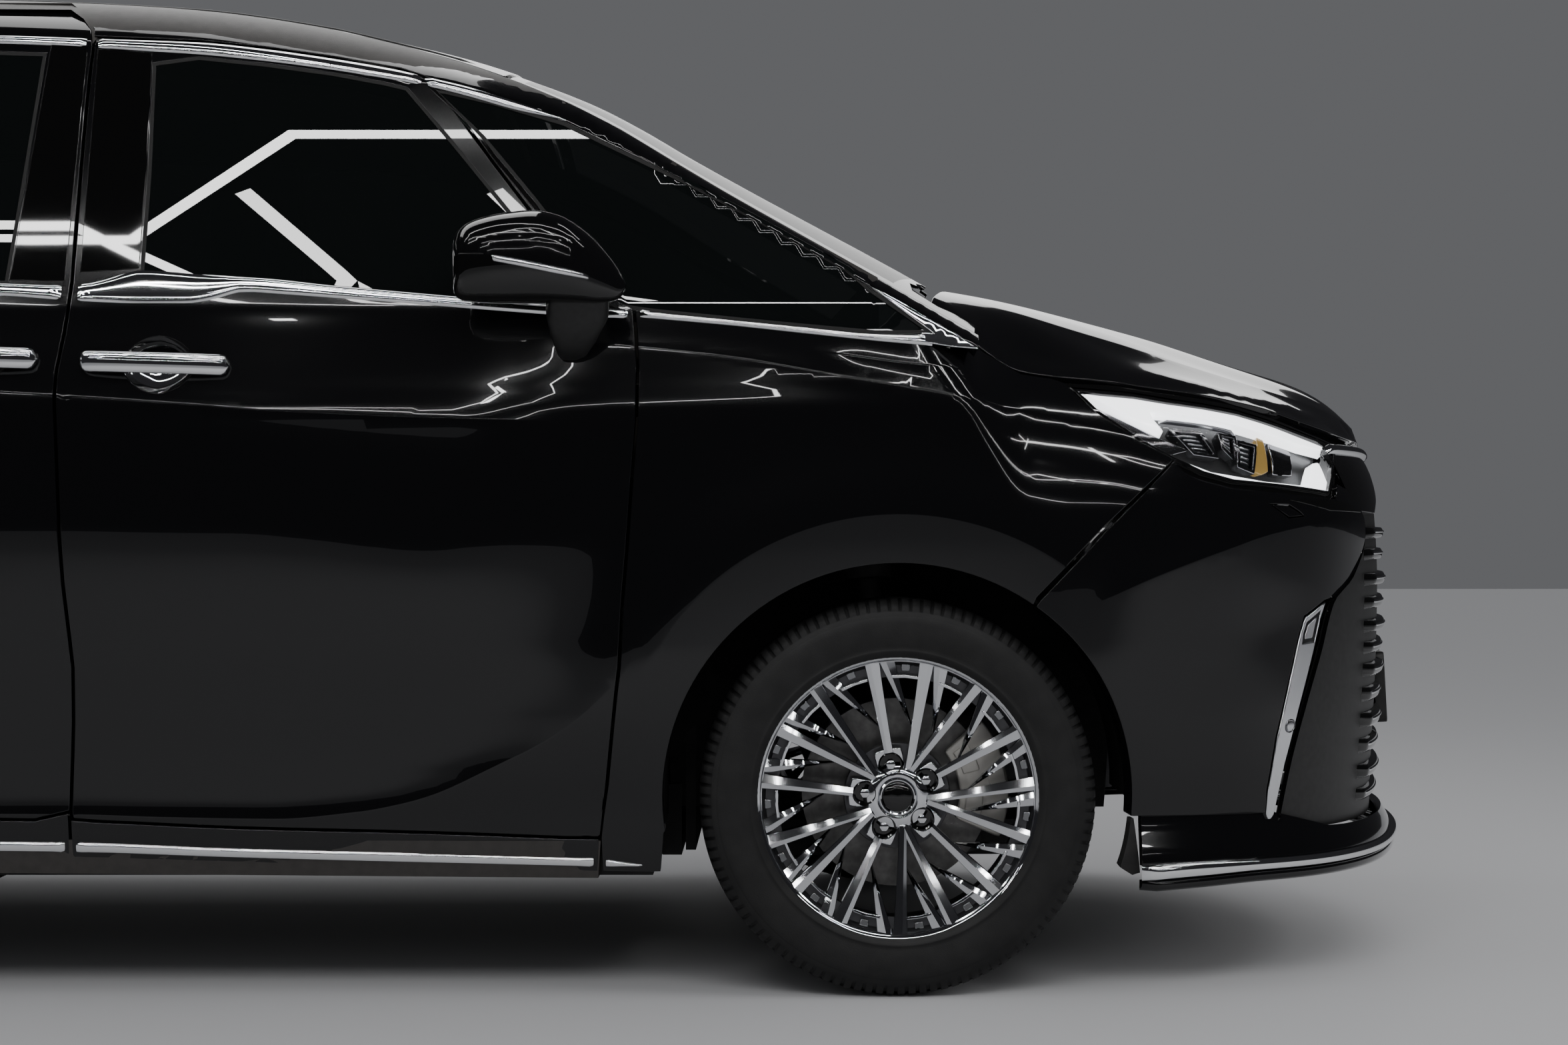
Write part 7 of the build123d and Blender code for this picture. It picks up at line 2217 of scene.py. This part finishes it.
def emitter(name, size, loc, rot, power, color=(1, 1, 1), cam=False):
    m = bpy.data.materials.new(name)
    m.use_nodes = True
    nt = m.node_tree
    for n in list(nt.nodes):
        nt.nodes.remove(n)
    e = nt.nodes.new("ShaderNodeEmission")
    e.inputs["Color"].default_value = (*color, 1)
    e.inputs["Strength"].default_value = power
    o = nt.nodes.new("ShaderNodeOutputMaterial")
    nt.links.new(e.outputs[0], o.inputs[0])
    me = bpy.data.meshes.new(name)
    w, h = size[0] / 2, size[1] / 2
    me.from_pydata([(-w, -h, 0), (w, -h, 0), (w, h, 0), (-w, h, 0)], [], [(0, 1, 2, 3)])
    me.materials.append(m)
    ob = bpy.data.objects.new(name, me)
    scene.collection.objects.link(ob)
    ob.location = loc
    ob.rotation_euler = rot
    ob.visible_camera = cam
    ob.visible_shadow = False
    ob.visible_diffuse = False
    return ob


def area(name, size, loc, target, power, color=(1, 1, 1)):
    d = bpy.data.lights.new(name, "AREA")
    d.shape = "RECTANGLE"
    d.size, d.size_y = size
    d.energy = power
    d.color = color
    ob = bpy.data.objects.new(name, d)
    scene.collection.objects.link(ob)
    ob.location = loc
    v = Vector(target) - Vector(loc)
    ob.rotation_mode = "QUATERNION"
    ob.rotation_quaternion = v.to_track_quat("-Z", "Y")
    ob.visible_glossy = False
    return ob


def ribbon(name, pts, w, z, power):
    """A thin light line through pts, flat under the ceiling."""
    p = np.array(pts, float)
    seg = unit(np.diff(p, axis=0))
    t = np.array([seg[0]] + [unit(seg[i] + seg[i + 1]) for i in range(len(seg) - 1)] + [seg[-1]])
    nr = np.stack([-t[:, 1], t[:, 0]], 1)
    ob = emitter(name, (1, 1), (0, 0, 0), (0, 0, 0), power)
    me = ob.data
    me.clear_geometry()
    n = len(p)
    a, b = p + nr * w / 2, p - nr * w / 2
    me.from_pydata([(x, y, z) for x, y in a] + [(x, y, z) for x, y in b], [],
                   [(i, n + i, n + i + 1, i + 1) for i in range(n - 1)])
    return ob


# thin ceiling lights in zigzag lines, as in a showroom, on the near side; soft boxes above
def zigzag(x0, y0, la, lb, ang, count, sgn=1):
    out = [(x0, y0)]
    for k in range(count):
        x, y = out[-1]
        if k % 2 == 0:
            out.append((x + la, y))
        else:
            a = math.radians(ang) * sgn * (1 if (k // 2) % 2 == 0 else -1)
            out.append((x + lb * math.cos(a), y + lb * math.sin(a)))
    return out


for k, (x0, y, la, lb, ang, cnt, z, w) in enumerate((
        (-5.2, -2.5, 2.3, 0.7, 38, 7, 3.6, .035), (-4.4, -3.5, 1.5, 0.8, -42, 8, 3.7, .045),
        (-6.0, -4.7, 2.1, 1.1, 42, 7, 3.7, .05), (-5.0, -6.9, 1.8, 1.9, -50, 7, 3.7, .06),
        (-8.0, -10.0, 2.4, 2.6, 52, 8, 3.7, .075), (-9.0, -14.5, 3.0, 3.0, -48, 8, 3.8, .09))):
    ribbon(f"strip_{k}", zigzag(x0, y, la, lb, ang, cnt), w, z, 44)
for k, x in enumerate((-2.6, -1.4, -0.17, 0.62, 2.0, 3.4)):
    emitter(f"cross_{k}", (0.06, 0.95), (x, -4.15, 3.66), (0, 0, 0.5), 34)
for k, (x, y) in enumerate(((-2.9, -7.8), (-1.2, -8.3), (0.3, -7.7), (1.4, -8.6), (2.9, -5.6),
                            (-0.6, -5.9), (4.4, -8.0))):
    emitter(f"spot_{k}", (0.09, 0.13), (x, y, 3.6), (0, 0, 0), 60)
emitter("soft_top", (6.6, 5.4), (-2.4, 2.1, 4.4), (0, 0, 0), 3.2)
emitter("hood_line", (2.6, 0.06), (3.2, -1.3, 4.0), (0, 0, 0), 30)
emitter("soft_left", (8.0, 2.2), (0.0, 5.2, 3.0), (math.radians(-60), 0, 0), 1.4)
area("key", (6.0, 2.5), (1.5, -6.5, 5.2), (0.8, 0, 0.8), 210)
area("front_fill", (3.0, 3.0), (7.0, -2.0, 3.2), (2.2, 0, 0.8), 120)
area("rear_fill", (3.0, 3.0), (-7.0, 1.5, 3.2), (-2.2, 0, 0.8), 120)

world = bpy.data.worlds.new("studio")
scene.world = world
world.use_nodes = True
wn = world.node_tree
for n in list(wn.nodes):
    wn.nodes.remove(n)
out = wn.nodes.new("ShaderNodeOutputWorld")
mix = wn.nodes.new("ShaderNodeMixShader")
lp = wn.nodes.new("ShaderNodeLightPath")
bg0 = wn.nodes.new("ShaderNodeBackground")
bg0.inputs[0].default_value = (0.02, 0.02, 0.022, 1)
bg0.inputs[1].default_value = 1.0
bg1 = wn.nodes.new("ShaderNodeBackground")
bg1.inputs[0].default_value = (0.52, 0.525, 0.535, 1)
bg1.inputs[1].default_value = 1.0
wn.links.new(lp.outputs["Is Glossy Ray"], mix.inputs[0])
wn.links.new(bg1.outputs[0], mix.inputs[1])
wn.links.new(bg0.outputs[0], mix.inputs[2])
bg2 = wn.nodes.new("ShaderNodeBackground")
bg2.inputs[0].default_value = (0.125, 0.127, 0.133, 1)
mix2 = wn.nodes.new("ShaderNodeMixShader")
wn.links.new(lp.outputs["Is Camera Ray"], mix2.inputs[0])
wn.links.new(mix.outputs[0], mix2.inputs[1])
wn.links.new(bg2.outputs[0], mix2.inputs[2])
wn.links.new(mix2.outputs[0], out.inputs[0])

cam_d = bpy.data.cameras.new("camera")
cam_d.lens = 4150.0 / 2352.0 * 36.0
cam_d.sensor_width = 36.0
cam_d.clip_end = 200
cam = bpy.data.objects.new("camera", cam_d)
scene.collection.objects.link(cam)
cam.location = (1.298, -5.93, 0.862)
cam.rotation_euler = (math.radians(90), 0, 0)
scene.camera = cam

print("triangles", sum(TRIS.values()), sorted(TRIS.items(), key=lambda t: -t[1])[:8])
